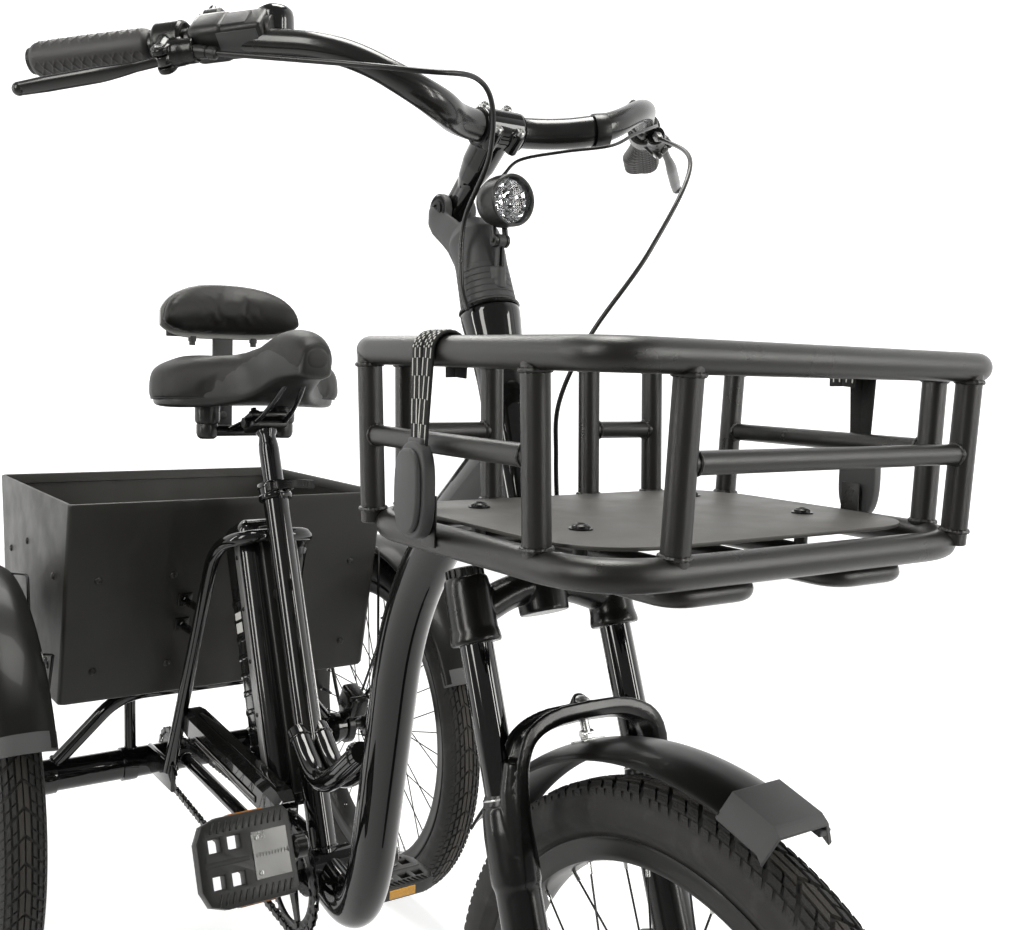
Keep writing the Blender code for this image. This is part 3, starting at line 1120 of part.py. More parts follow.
# Load carriers
def make_basket():
    """Two rings joined by posts and rails, with its floor and the rack under it."""
    tops = [(-BASKET_HALF_WIDTH, BASKET_REAR), (-BASKET_HALF_WIDTH, BASKET_FRONT),
            (BASKET_HALF_WIDTH, BASKET_FRONT), (BASKET_HALF_WIDTH, BASKET_REAR)]

    def tapered(x, y, z):
        """Bring a point of the top ring's outline in towards the bottom ring's."""
        share = (BASKET_TOP - z) / (BASKET_TOP - BASKET_BOTTOM) * BASKET_TAPER
        x -= math.copysign(share, x) if abs(x) > BASKET_HALF_WIDTH - 0.001 else 0
        if y < BASKET_FRONT + 0.001:
            y += share
        if y > BASKET_REAR - 0.001:
            y -= share
        return Vector((x, y, z))

    basket = tube("basket_frame", rounded([tapered(x, y, BASKET_TOP) for x, y in tops], 0.040, 2,
                                          closed=True),
                  BASKET_RADIUS, closed=True)
    low = tube("basket_low_ring", rounded([tapered(x, y, BASKET_BOTTOM) for x, y in tops], 0.070, 2,
                                          closed=True),
               BASKET_RADIUS, closed=True)
    join(basket, low)
    side_posts = [(side * BASKET_HALF_WIDTH, y) for side,
                  ys in ((-1, BASKET_RIGHT_POSTS), (1, BASKET_LEFT_POSTS))
                  for y in ys]
    end_posts = [(x, BASKET_REAR) for x in BASKET_REAR_POSTS] + [(x,
                                                                  BASKET_FRONT) for x in BASKET_FRONT_POSTS]
    for x, y in side_posts + end_posts:
        join(basket, rod("basket_post", tapered(x, y, BASKET_BOTTOM), tapered(x, y, BASKET_TOP),
                         BASKET_POST_RADIUS, 6))
    rails = [((-BASKET_HALF_WIDTH, BASKET_RIGHT_POSTS[0]), (-BASKET_HALF_WIDTH, BASKET_RIGHT_POSTS[1])),
             ((BASKET_HALF_WIDTH, BASKET_LEFT_POSTS[0]), (BASKET_HALF_WIDTH, BASKET_LEFT_POSTS[1])),
             ((BASKET_FRONT_POSTS[0], BASKET_FRONT), (BASKET_FRONT_POSTS[1], BASKET_FRONT)),
             ((BASKET_REAR_POSTS[0], BASKET_REAR), (BASKET_REAR_POSTS[1], BASKET_REAR)),
             ((BASKET_REAR_POSTS[2], BASKET_REAR), (BASKET_REAR_POSTS[3], BASKET_REAR))]
    for first, second in rails:
        join(basket, rod("basket_rail", tapered(*first, BASKET_RAIL_LEVEL),
                         tapered(*second, BASKET_RAIL_LEVEL),
                         BASKET_RAIL_RADIUS, 6))
    finish(basket, BRONZE)
    size = (FLOOR_HALF_WIDTH * 2, FLOOR_REAR - FLOOR_FRONT, FLOOR_THICKNESS)
    at = Vector((0, (FLOOR_REAR + FLOOR_FRONT) / 2, FLOOR_TOP - FLOOR_THICKNESS / 2))
    floor = block("basket_floor", size, at)
    corners = bmesh.new()
    corners.from_mesh(floor.data)
    upright = [edge for edge in corners.edges
               if abs(edge.verts[0].co.z - edge.verts[1].co.z) > FLOOR_THICKNESS / 2]
    bmesh.ops.bevel(corners, geom=upright, offset=FLOOR_CORNER, segments=4, profile=0.5, affect="EDGES")
    corners.to_mesh(floor.data)
    corners.free()
    finish(floor, BOX_PAINT)
    level = BASKET_BOTTOM - BASKET_RADIUS - GAP - BASKET_RACK_RADIUS
    neck = along_axis(HEAD_BOTTOM + 0.030)
    rack = None
    for side in (-1, 1):
        front = BASKET_FRONT + RACK_FRONT_INSET
        rear = BASKET_REAR - RACK_REAR_INSET
        route = [Vector((side * 0.010, neck.y, level)), Vector((side * RACK_RUNNER_X, neck.y - 0.05, level)),
                 Vector((side * RACK_RUNNER_X, front, level)), Vector((side * RACK_ARM_X, front, level)),
                 Vector((side * RACK_ARM_X, rear, level))]
        arm = tube("basket_rack" if rack is None else "rack_arm", rounded(route, 0.022, 1),
                   BASKET_RACK_RADIUS)
        rack = arm if rack is None else join(rack, arm)
        join(rack, rod("rack_cross", (side * RACK_RUNNER_X, rear + BASKET_RACK_RADIUS, level),
                       (side * RACK_ARM_X, rear + BASKET_RACK_RADIUS, level), RACK_CROSS_RADIUS, 8))
    collar_low = along_axis(HEAD_BOTTOM + 0.016)
    collar_high = along_axis(HEAD_BOTTOM + 0.048)
    join(rack, rod("rack_collar", collar_low, collar_high, HEAD_RADIUS + 0.006, 16))
    for x in (-RACK_ARM_X, RACK_ARM_X):
        for y in FLOOR_BOLTS:
            join(rack, rod("floor_foot", (x, y, level), (x, y, FLOOR_TOP - FLOOR_THICKNESS - GAP), 0.006, 6))
    clear(rack, along_axis(HEAD_BOTTOM - 0.1), along_axis(HEAD_TOP + 0.1), HEAD_RADIUS)
    rear_low = Vector((0, BASKET_REAR - BASKET_TAPER, BASKET_BOTTOM))
    clear(rack, rear_low - Vector((0.1, 0, 0)), rear_low + Vector((0.1, 0, 0)), BASKET_RADIUS)
    finish(rack, BRONZE)
    for side, word, y in ((-1, "right", STRAP_RIGHT), (1, "left", STRAP_LEFT)):
        make_strap(side, word, y)


def make_strap(side, word, y):
    """An elastic strap hooked over the top ring, with its buckle and the tab below."""
    ring = BASKET_RADIUS - STRAP_TUCK
    top = Vector((side * BASKET_HALF_WIDTH, y, BASKET_TOP))
    out = Vector((side, 0, 0))
    up = Vector((0, 0, 1))
    outer = ring + 0.0035
    route = [top - out * outer + up * -0.020, top - out * outer]
    for step in range(1, 6):
        angle = math.pi - math.pi * step / 6
        route.append(top + out * math.cos(angle) * outer + up * math.sin(angle) * outer)
    route += [top + out * outer, top + out * (outer + 0.002) - up * 0.060,
              top + out * (outer + 0.002) - up * 0.105]
    band = tube("strap_" + word, route, 0.0025)
    bmesh_band = bmesh.new()
    bmesh_band.from_mesh(band.data)
    bmesh.ops.translate(bmesh_band, vec=(0, -y, 0), verts=bmesh_band.verts)
    bmesh.ops.scale(bmesh_band, vec=(1, 6.0, 1), verts=bmesh_band.verts)
    bmesh.ops.translate(bmesh_band, vec=(0, y, 0), verts=bmesh_band.verts)
    bmesh_band.to_mesh(band.data)
    bmesh_band.free()
    buckle = block("strap_buckle", (0.018, 0.038, 0.070), top + out * (outer + 0.006) - up * 0.098,
                   bevel=0.006, segments=1)
    join(band, buckle)
    finish(band, WEBBING)


make_basket()


# Rear mudguards
def make_rear_guards():
    """A guard over each rear tyre, with its stays to a clamp on the housing."""
    for side, word in SIDES:
        centre = REAR_HUB + Vector((side * TRACK / 2, 0, 0))
        guard = arc_strip("rear_mudguard_" + word, centre, REAR_GUARD_RADIUS, REAR_GUARD_FRONT,
                          REAR_GUARD_REAR,
                          REAR_GUARD_HALF, 0.012, 0.003, 9)
        clamp_x = side * (HOUSING_HALF - 0.010)
        clamp = rod("guard_clamp", (clamp_x - 0.006, REAR_HUB.y, REAR_HUB.z),
                    (clamp_x + 0.006, REAR_HUB.y, REAR_HUB.z),
                    HOUSING_RADIUS + 0.006, 12)
        join(guard, clamp)
        for angle in STAY_ANGLES:
            aim = Vector((0, math.sin(angle), math.cos(angle)))
            root = Vector((clamp_x, REAR_HUB.y, REAR_HUB.z)) + aim * (HOUSING_RADIUS + 0.003)
            tip = centre + Vector((side * -(REAR_GUARD_HALF - 0.0020), 0,
                                   0)) + aim * (REAR_GUARD_RADIUS - 0.010)
            join(guard, rod("guard_stay", root, tip, 0.0034, 6))
        clear(guard, REAR_HUB - Vector((0.4, 0, 0)), REAR_HUB + Vector((0.4, 0, 0)), HOUSING_RADIUS, 12)
        finish(guard, SATIN_BLACK)


make_rear_guards()


# Seat
def soft_block(name, cuts, shape, levels=1):
    """A cushion: a coarse cube cage, each point placed by the shape function, then smoothed."""
    made = bmesh.new()
    bmesh.ops.create_cube(made, size=2)
    bmesh.ops.subdivide_edges(made, edges=made.edges, cuts=cuts, use_grid_fill=True)
    for corner in made.verts:
        corner.co = shape(*corner.co)
    piece = from_bmesh(name, made)
    smooth = piece.modifiers.new("soft", "SUBSURF")
    smooth.levels = levels
    smooth.render_levels = levels
    return piece


def between(table, place):
    """Smoothly read a value from (place, value) pairs."""
    for (low, first), (high, second) in zip(table, table[1:]):
        if place <= high:
            share = max(0.0, (place - low) / (high - low))
            share = share * share * (3 - 2 * share)
            return first + (second - first) * share
    return table[-1][1]


def saddle_point(u, v, w):
    """A point of the saddle's cage: u across, v from nose to tail, w up."""
    y = SADDLE_NOSE + (SADDLE_TAIL - SADDLE_NOSE) * (v + 1) / 2
    half = between(SADDLE_HALF_WIDTHS, y)
    crown = between(SADDLE_TOPS, y) - SADDLE_CROWN * u * u * half / 0.13
    floor = between(SADDLE_FLOORS, y)
    draw = 1 - SADDLE_DRAW * (1 - w) / 2
    return Vector((u * half * draw, y, floor + (crown - floor) * (w + 1) / 2))


def backrest_point(u, v, w):
    """A point of the backrest's cage: a crescent in plan with rounded ends."""
    half_height = BACKREST_HEIGHT / 2 * (1 - 0.35 * u ** 4)
    rear = BACKREST_REAR + BACKREST_DRAW
    y = rear - (BACKREST_DEPTH + BACKREST_DRAW) * (1 - v) / 2 - BACKREST_WRAP * u * u
    return Vector((u * BACKREST_HALF_WIDTH, y, BACKREST_MIDDLE + w * half_height))


def make_seat():
    """Post, rails with their clamp and pods, cushion, and the backrest."""
    post_low = along_seat_tube(SEAT_TUBE_TOP - POST_DEPTH)
    post_top = SADDLE_CLAMP
    finish(rod("seatpost", post_low, post_top - SEAT_UP * (CLAMP_HEIGHT / 2 + GAP), POST_RADIUS, 16),
           GLOSS_BLACK, SEAT)
    clamp = block("saddle_rails", (0.058, 0.040, CLAMP_HEIGHT), post_top, (SEAT_TILT, 0, 0), 0.004, 1)
    for side in (-1, 1):
        route = [Vector((side * x, y, z)) for x, y, z in RAIL_ROUTE]
        join(clamp, tube("rail", smooth_route(route, 6), RAIL_RADIUS))
        pod_low = Vector((side * POD_X, POD_Y, POD_LOW))
        pod_high = Vector((side * POD_X, POD_Y, POD_LOW + POD_HEIGHT))
        join(clamp, rod("pod", pod_low, pod_high, POD_RADIUS, 12))
    bar_y = POD_Y - 0.004
    join(clamp, rod("pod_bar", (-POD_X, bar_y, POD_LOW + 0.012), (POD_X, bar_y, POD_LOW + 0.012), 0.008, 8))
    cushion = soft_block("saddle_cushion", 3, saddle_point)
    for side in (-1, 1):
        clear(cushion, (side * POD_X, POD_Y, POD_LOW - 0.02),
              (side * POD_X, POD_Y, POD_LOW + POD_HEIGHT + GAP),
              POD_RADIUS, 12)
        nose = Vector((side * RAIL_ROUTE[0][0], RAIL_ROUTE[0][1] - 0.006, RAIL_ROUTE[0][2] + 0.004))
        clear(cushion, nose, nose + Vector((0, 0.060, -0.022)), RAIL_RADIUS * 1.8, 8)
    clear(cushion, (0, BACKREST_REAR + 0.012, POD_LOW - 0.05), (0, BACKREST_REAR + 0.012, 1.1), 0.020, 16)
    finish(cushion, COVERING, SEAT, 60)
    finish(clamp, DARK_METAL, SEAT)
    upright = block("backrest_plate", (0.032, 0.008, UPRIGHT_TOP - UPRIGHT_LOW),
                    (0, UPRIGHT_Y, (UPRIGHT_TOP + UPRIGHT_LOW) / 2))
    plate = block("back_plate", (PLATE_WIDTH, 0.006, PLATE_HEIGHT),
                  (0, BACKREST_REAR + 0.004 + GAP, PLATE_MIDDLE_Z),
                  bevel=0.002, segments=1)
    arm = block("back_arm", (0.032, UPRIGHT_Y - bar_y - 0.008 - GAP, 0.008),
                (0, (UPRIGHT_Y + bar_y + 0.008 + GAP) / 2, POD_LOW + 0.012))
    join(upright, plate, arm)
    finish(upright, GREY_PLASTIC, SEAT)
    finish(soft_block("backrest_pad", 2, backrest_point), COVERING, SEAT, 60)


def make_seat_clamp():
    """The collar round the seat tube's top, with its quick lever."""
    top = along_seat_tube(SEAT_TUBE_TOP - 0.002)
    low = top - SEAT_UP * 0.024
    collar = rod("seat_collar", low, top, SEAT_TUBE_RADIUS + 0.0060, 12)
    ears = block("collar_ears", (0.016, 0.022, 0.018), (low + top) / 2 + SEAT_BACK * -0.024,
                 (SEAT_TILT, 0, 0), 0.002, 1)
    join(collar, ears)
    clear(collar, low - SEAT_UP * 0.1, top + SEAT_UP * 0.1, SEAT_TUBE_RADIUS)
    pivot = (low + top) / 2 - SEAT_BACK * 0.029 + Vector((-0.017, 0, 0))
    yoke = block("collar_yoke", (0.024, 0.011, 0.018), pivot + Vector((0.007, 0, 0)), (SEAT_TILT, 0, 0))
    cut(yoke, rod("cam_room", pivot - SEAT_UP * 0.0068, pivot + SEAT_UP * 0.0068, 0.0082, 12))
    join(collar, yoke, rod("collar_pin", pivot - SEAT_UP * 0.0085, pivot + SEAT_UP * 0.0085, 0.003, 8))
    finish(collar, GLOSS_BLACK)
    hinge = holder("seat_lever_axis", pivot)
    route = [pivot + Vector((-0.001, 0, 0)), pivot - SEAT_BACK * 0.012 + Vector((0.006, 0, 0)),
             pivot - SEAT_BACK * 0.015 + Vector((0.030, 0, 0)),
             pivot - SEAT_BACK * 0.006 + Vector((0.062, 0, 0))]
    lever = tube("seat_lever", smooth_route(route, 7), 0.0042)
    eye = rod("lever_cam", pivot - SEAT_UP * 0.0065, pivot + SEAT_UP * 0.0065, 0.0075, 12)
    join(lever, eye)
    clear(lever, pivot - SEAT_UP * 0.02, pivot + SEAT_UP * 0.02, 0.003, 8)
    finish(lever, BARE_METAL, hinge)


make_seat()
make_seat_clamp()


# Shifter, bell and the held cables
def make_cables():
    """Held cables: one bundle from the right control, and the front brake's hose."""
    inner, outward, front, rise = grip_frame(-1)
    start = inner - outward * (CONTROL_BACK + BODY_BACK + CABLE_GAP) + front * CABLE_FRONT
    points = [start] + [Vector(point) for point in CABLE_ROUTE]
    finish(tube("control_cable", smooth_route(points, 18), 0.0025), RUBBER, STEM)
    inner, outward, front, rise = grip_frame(1)
    start = inner - outward * (CONTROL_BACK + BODY_BACK + CABLE_GAP) + front * CABLE_FRONT
    points = [start] + [Vector(point) for point in HOSE_ROUTE]
    finish(tube("front_brake_hose", smooth_route(points, 20), 0.0025), RUBBER, STEERING)


make_cables()
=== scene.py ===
# %% [markdown]
# # An electric cargo trike, dressed for the studio
# The trike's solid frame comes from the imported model. This script gives each solid its finished
# surface: smooth tubes, tread, lacing, stitching, fasteners and finishes. Lengths are in metres,
# the front is towards -Y, the rider's left is +X, and the ground is at zero.

# %% Load the frame
import json
from math import acos, atan, atan2, copysign, cos, exp, pi, radians, sin
import bpy
import bmesh
from mathutils import Euler, Matrix, Vector
from mathutils.bvhtree import BVHTree

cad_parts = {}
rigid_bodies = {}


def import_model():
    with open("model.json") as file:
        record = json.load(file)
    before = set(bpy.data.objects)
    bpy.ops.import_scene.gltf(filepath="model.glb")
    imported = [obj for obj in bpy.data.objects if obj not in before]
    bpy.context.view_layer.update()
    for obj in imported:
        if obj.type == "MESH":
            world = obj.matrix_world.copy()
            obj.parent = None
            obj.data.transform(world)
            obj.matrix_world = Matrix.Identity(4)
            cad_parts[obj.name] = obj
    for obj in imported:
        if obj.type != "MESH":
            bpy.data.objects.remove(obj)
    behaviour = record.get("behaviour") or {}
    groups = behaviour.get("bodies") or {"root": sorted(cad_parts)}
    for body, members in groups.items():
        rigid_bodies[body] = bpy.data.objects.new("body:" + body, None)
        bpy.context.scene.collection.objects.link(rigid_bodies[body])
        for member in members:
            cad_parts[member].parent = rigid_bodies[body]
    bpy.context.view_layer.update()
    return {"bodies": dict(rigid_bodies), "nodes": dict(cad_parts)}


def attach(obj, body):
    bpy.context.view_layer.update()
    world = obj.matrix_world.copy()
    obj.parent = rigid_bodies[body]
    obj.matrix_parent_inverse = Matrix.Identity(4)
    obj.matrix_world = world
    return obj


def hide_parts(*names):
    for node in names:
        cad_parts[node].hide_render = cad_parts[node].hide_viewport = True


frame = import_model()

# %% [markdown]
# ## The camera first
# A photograph of a product is taken with one lens from one spot, so the camera is fixed before any
# surface is made, and each detail can be compared with the picture from then on. Its place came
# from matching straight edges and wheel ellipses.

# %% Camera at the photograph's viewpoint
new = bmesh.new


def vec(x, y, z):
    """A point or a direction."""
    return Vector((x, y, z))


def placed(name, data):
    """A new object in the scene."""
    made = bpy.data.objects.new(name, data)
    bpy.context.scene.collection.objects.link(made)
    return made


YAW, PITCH, ROLL = radians(34.874), radians(-4.567), radians(1.697)
PHOTO_WIDTH, SENSOR = 1018, 36
ahead = vec(sin(YAW) * cos(PITCH), cos(YAW) * cos(PITCH), sin(PITCH))
level_right = vec(cos(YAW), -sin(YAW), 0)
level_up = level_right.cross(ahead)
right = level_right * cos(ROLL) + level_up * sin(ROLL)
up = level_up * cos(ROLL) - level_right * sin(ROLL)
lens = bpy.data.cameras.new("photo_camera")
lens.sensor_fit = "HORIZONTAL"
lens.sensor_width = SENSOR
lens.lens = 1143.4 / PHOTO_WIDTH * SENSOR
lens.shift_x = (509 - 504.3) / PHOTO_WIDTH
lens.shift_y = (456.2 - 465) / PHOTO_WIDTH
camera = placed("photo_camera", lens)
stand = Matrix((right, up, -ahead)).transposed().to_4x4()
stand.translation = vec(-0.6668, -1.253, 0.9759)
camera.matrix_world = stand
bpy.context.scene.camera = camera

# %% [markdown]
# ## Soft studio light
# Black paint only shows what it reflects, so bright soft panels in a dim room give it deep blacks with
# crisp streaks. Two panels stand left and right, two hang overhead, and two narrow strips draw long
# lines on the tubes. The floor and a round wall glow white behind the trike, and painted shade fades
# them to grey where the photographer stands. A white room all round would be simpler, but it would
# turn every black grey.

# %% Lamps, world and floor
def soft_panel(name, at, aim, size, watts):
    """A soft rectangular lamp pointed at a place."""
    data = bpy.data.lights.new(name, "AREA")
    data.shape = "RECTANGLE"
    data.size, data.size_y = size
    data.energy = watts
    data.color = (1, 0.99, 0.95)
    lamp = placed(name, data)
    lamp.location = at
    lamp.rotation_euler = (Vector(aim) - Vector(at)).to_track_quat("-Z", "Y").to_euler()


soft_panel("panel_left", (-3, -1.2, 2.2), (0, 0, 0.6), (0.8, 2.2), 55)
soft_panel("panel_right", (2.4, -3.2, 1.9), (0, -0.3, 0.7), (0.7, 2), 45)
soft_panel("panel_top", (0.2, -0.1, 3.4), (0, 0, 0.5), (1.3, 1.3), 80)
soft_panel("panel_rear", (0.5, 2.4, 3.2), (0, 0.2, 0.7), (1.4, 1), 34)
soft_panel("strip_right", (0.9, -3, 1.3), (0, -0.2, 0.6), (0.2, 2.2), 24)
soft_panel("strip_left", (-2.4, 0.6, 1.3), (0, 0.1, 0.6), (0.2, 2.2), 20)


def feed(tree, made, inputs):
    """Sets a node's sockets, or links them to other nodes."""
    for key, value in inputs.items():
        if isinstance(value, bpy.types.Node):
            value = value.outputs[0]
        if isinstance(value, bpy.types.NodeSocket):
            tree.links.new(value, made.inputs[key])
        else:
            made.inputs[key].default_value = value
    return made


def node(tree, kind, inputs=None, **settings):
    """A node with its settings, sockets and links; shader nodes go by their short names."""
    made = tree.nodes.new(kind if kind.startswith(("GeometryNode", "NodeGroup")) else "ShaderNode" + kind)
    for key, value in settings.items():
        setattr(made, key, value)
    return feed(tree, made, inputs or {})


def reckon(tree, operation, *values):
    """One step of arithmetic."""
    return node(tree, "Math", dict(enumerate(values)), operation=operation)


def ramp(tree, value, low, high, first, last, **settings):
    """A range of values turned into another range."""
    return node(tree, "MapRange", {"Value": value, "From Min": low, "From Max": high, "To Min": first,
        "To Max": last}, **settings)


def blend(tree, share, one, two):
    """A mix of two colours by a share."""
    return node(tree, "Mix", {0: share, 6: one, 7: two}, data_type="RGBA").outputs[2]


def object_place(tree):
    """The place on the object, for textures."""
    return node(tree, "TexCoord").outputs["Object"]


def new_material(name):
    """A material with its tree and its shader."""
    material = bpy.data.materials.new(name)
    material.use_nodes = True
    return material, material.node_tree, material.node_tree.nodes["Principled BSDF"]


WHITE = (1, 1, 1, 1)
world = bpy.data.worlds.new("studio")
bpy.context.scene.world = world
world.use_nodes = True
world.node_tree.nodes.clear()
room = node(world.node_tree, "Background", {"Color": WHITE, "Strength": 0.2})
node(world.node_tree, "OutputWorld", {"Surface": room})
bpy.context.scene.view_settings.view_transform = "Standard"


def backdrop_share(tree):
    """One for rays that look at the backdrop: from the camera, a reflection or through glass."""
    rays = node(tree, "LightPath").outputs
    mirrored = reckon(tree, "MAXIMUM", rays["Is Glossy Ray"], rays["Is Transmission Ray"])
    return reckon(tree, "MAXIMUM", rays["Is Camera Ray"], mirrored)


def stage_piece(name, corners, faces, grey, glow):
    """A piece of the studio, glowing white behind the trike, with painted shade fading it to grey where the
    photographer stands.
    """
    mesh = bpy.data.meshes.new(name)
    mesh.from_pydata(corners, [], faces)
    paint, tree, shader = new_material(name)
    depth = node(tree, "VectorMath", {0: object_place(tree), 1: (sin(YAW), cos(YAW), 0)}, operation="DOT_PRODUCT")
    # Painted shade: colour and glow fall from white behind the trike to dark grey towards the camera.
    fade = ramp(tree, depth.outputs["Value"], -2.6, 0.9, 0.2, 1, interpolation_type="SMOOTHSTEP")
    lit = reckon(tree, "MULTIPLY", backdrop_share(tree), reckon(tree, "MULTIPLY", fade, glow))
    feed(tree, shader, {"Roughness": 0.7, "Specular IOR Level": 0.1, "Emission Color": WHITE,
        "Emission Strength": lit, "Base Color": blend(tree, fade, (0.02, 0.02, 0.02, 1), (grey, grey, grey, 1))})
    mesh.materials.append(paint)
    placed(name, mesh)


WALL_RADIUS, WALL_HEIGHT, WALL_SIDES = 4.8, 7, 72
wall_turns = [radians(360 / WALL_SIDES * i) for i in range(WALL_SIDES)]
wall_foot = [(WALL_RADIUS * sin(turn), WALL_RADIUS * cos(turn)) for turn in wall_turns]
stage_piece("studio_floor", [(x, y, 0) for x, y in wall_foot], [tuple(range(WALL_SIDES))[::-1]], 0.55, 0.72)
stage_piece("studio_wall", [(x, y, z) for z in (0, WALL_HEIGHT) for x, y in wall_foot],
    [((i + 1) % WALL_SIDES, i, i + WALL_SIDES, (i + 1) % WALL_SIDES + WALL_SIDES) for i in range(WALL_SIDES)], 0.8,
    0.95)

# %% [markdown]
# ## Finishes
# Every finish on the trike varies a little: paint pools, plastic has a fine moulded grain, rubber
# gathers dust. One helper makes that family of surfaces from two noises, a broad one that shifts
# colour and gloss and a fine one that lifts the surface.

# %% The family of finishes
def finish(name, colour, roughness, metallic=0.0, coat=0.0, mottle=0.12, patch=22, grain=0.05, grit=900,
        stretch=(1, 1, 1), shine=0.3):
    """A surface with broad changes of tint and gloss and a fine grain; one number is a grey."""
    material, tree, shader = new_material(name)
    colour = (colour,) * 3 if isinstance(colour, float) else colour
    spread = node(tree, "Mapping", {"Vector": object_place(tree), "Scale": stretch})
    broad = node(tree, "TexNoise", {"Vector": spread, "Scale": patch, "Detail": 5})
    fine = node(tree, "TexNoise", {"Vector": spread, "Scale": grit, "Detail": 3})
    dark, light = (tuple(part * share for part in colour) + (1,) for share in (1 - mottle, 1 + mottle))
    feed(tree, shader, {"Metallic": metallic, "Coat Weight": coat, "Coat Roughness": 0.03,
        "Specular IOR Level": shine, "Base Color": blend(tree, broad, dark, light),
        "Roughness": ramp(tree, broad, 0.3, 0.7, roughness * 0.86, min(1, roughness * 1.14)),
        "Normal": node(tree, "Bump", {"Height": fine, "Strength": grain, "Distance": 0.0006})})
    return material


GLOSS_PAINT = finish("gloss_black_paint", (0.004, 0.004, 0.0038), 0.25, coat=1, grain=0.03, grit=260, shine=0.04)
SATIN_PAINT = finish("satin_black_paint", (0.006, 0.006, 0.0055), 0.27, coat=0.08, grain=0.1, grit=1300, shine=0.32)
CAST_PAINT = finish("cast_black_paint", (0.005, 0.005, 0.0047), 0.24, coat=0.1, grain=0.08, grit=1000, shine=0.35)
BOX_PAINT = finish("box_paint", (0.015, 0.0145, 0.0125), 0.42, coat=0.04, grain=0.3, grit=1500, mottle=0.08)
BRONZE_PAINT = finish("bronze_paint", (0.0105, 0.01, 0.0086), 0.3, grain=0.3, grit=1600, shine=0.5)
FLOOR_PAINT = finish("basket_floor_paint", (0.052, 0.05, 0.046), 0.5, grain=0.3, grit=1500, shine=0.45)
# Painted reflection: the inner legs' chrome gets an almost black base colour that stands in for the dark tyre it
# mirrors.
CHROME = finish("stanchion_chrome_painted_dark", 0.018, 0.06, metallic=0.9, coat=0.8, mottle=0.03, grain=0.01, grit=300)
STEEL = finish("brushed_steel", (0.52, 0.52, 0.51), 0.28, metallic=1, mottle=0.1, grain=0.1, grit=500,
    stretch=(1, 1, 8))
ALUMINIUM = finish("satin_aluminium", (0.24, 0.24, 0.235), 0.3, metallic=1, mottle=0.06, grain=0.1, grit=1400)
DARK_STEEL = finish("dark_steel", 0.045, 0.32, metallic=0.9, grain=0.08)
GRIP_RUBBER = finish("grip_rubber", (0.03, 0.029, 0.028), 0.48, mottle=0.14, grain=0.25, grit=1500, shine=0.5)
HOSE_RUBBER = finish("hose_rubber", (0.009, 0.009, 0.0088), 0.3, grain=0.08, grit=1200, shine=0.45)
PLASTIC = finish("black_plastic", (0.013, 0.013, 0.0125), 0.36, mottle=0.1, grain=0.22, grit=1700, shine=0.4)
GLOSS_PLASTIC = finish("gloss_plastic", 0.007, 0.16, coat=0.6, grain=0.02, grit=500)
GREY_PLASTIC = finish("grey_plastic", (0.07, 0.07, 0.072), 0.48, mottle=0.1, grain=0.3, grit=1700)
SILVER_PAINT = finish("silver_paint", 0.42, 0.32, metallic=0.7, mottle=0.05, grain=0.06, grit=1300)
BOLT_BLACK = finish("bolt_black", 0.02, 0.28, metallic=0.8, mottle=0.15, grain=0.06)
print("finishes:", len(bpy.data.materials))

# %% [markdown]
# ## Shapes by hand
# Bicycle parts are mostly turned, bent or cut from plate. Four small helpers make those shapes in
# one open mesh, so that a piece can gather several of them: a turned profile, a tube along a line,
# a rounded block and a plate with holes.

# %% Rings, turned profiles and tubes
TURN = 2 * pi


def around(count):
    """Even angles round a full turn."""
    return [TURN * i / count for i in range(count)]


def polar(radius, turn):
    """A flat point by its radius and angle."""
    return radius * cos(turn), radius * sin(turn)


def stitch(mesh, rings, ends=True, closed=False):
    """Skins a run of equal rings and closes its two ends."""
    size = len(rings[0])
    for one, two in zip(rings, rings[1:] + rings[:1] * closed):
        for i in range(size):
            mesh.faces.new((one[i], one[(i + 1) % size], two[(i + 1) % size], two[i]))
    if ends and not closed:
        mesh.faces.new(rings[0][::-1])
        mesh.faces.new(rings[-1])


def lathe(mesh, profile, at=(0, 0, 0), direction=(0, 0, 1), steps=64):
    """Turns a run of (radius, distance along) points about an axis."""
    turn = Vector(direction).to_track_quat("Z", "Y").to_matrix()
    rings = [[mesh.verts.new(Vector(at) + turn @ vec(*polar(radius, angle), along))
        for angle in around(steps)[:None if radius > 1e-6 else 1]] for radius, along in profile]
    for one, two in zip(rings, rings[1:]):
        for i in range(steps):
            corners = (one[i % len(one)], one[(i + 1) % len(one)], two[(i + 1) % len(two)], two[i % len(two)])
            corners = list(dict.fromkeys(corners))
            if len(corners) > 2:
                mesh.faces.new(corners)


def squeezed(out, flat, share):
    """An offset made smaller along a direction, by a share."""
    axis = Vector(flat).normalized()
    return out - axis * out.dot(axis) * (1 - share)


def tube(mesh, points, radius, sides=24, closed=False, flat=None, share=1.0):
    """A tube along a line; radius may be a list, and flat names a direction to squeeze by a share."""
    points = [Vector(point) for point in points]
    last = len(points) - 1
    radii = radius if isinstance(radius, list) else [radius] * len(points)
    rings, normal = [], None
    for i, point in enumerate(points):
        after = points[(i + 1) % len(points)] if closed or i < last else point
        before = points[i - 1] if closed or i else point
        along = (after - before).normalized()
        normal = normal or along.orthogonal()
        normal = (normal - along * normal.dot(along)).normalized()
        across = along.cross(normal)
        outs = [(normal * cos(turn) + across * sin(turn)) * radii[i] for turn in around(sides)]
        rings.append([mesh.verts.new(point + (squeezed(out, flat, share) if flat else out)) for out in outs])
    stitch(mesh, rings, closed=closed)


def rod(mesh, start, end, radius, sides=32, end_radius=None, round_off=0.0008):
    """A straight bar with slightly broken edges."""
    start, end = Vector(start), Vector(end)
    length = (end - start).length
    last = end_radius or radius
    soft = min(round_off, radius * 0.4, last * 0.4, length * 0.3)
    lathe(mesh, [(0, 0), (radius - soft, 0), (radius, soft), (last, length - soft), (last - soft, length),
        (0, length)], start, end - start, sides)


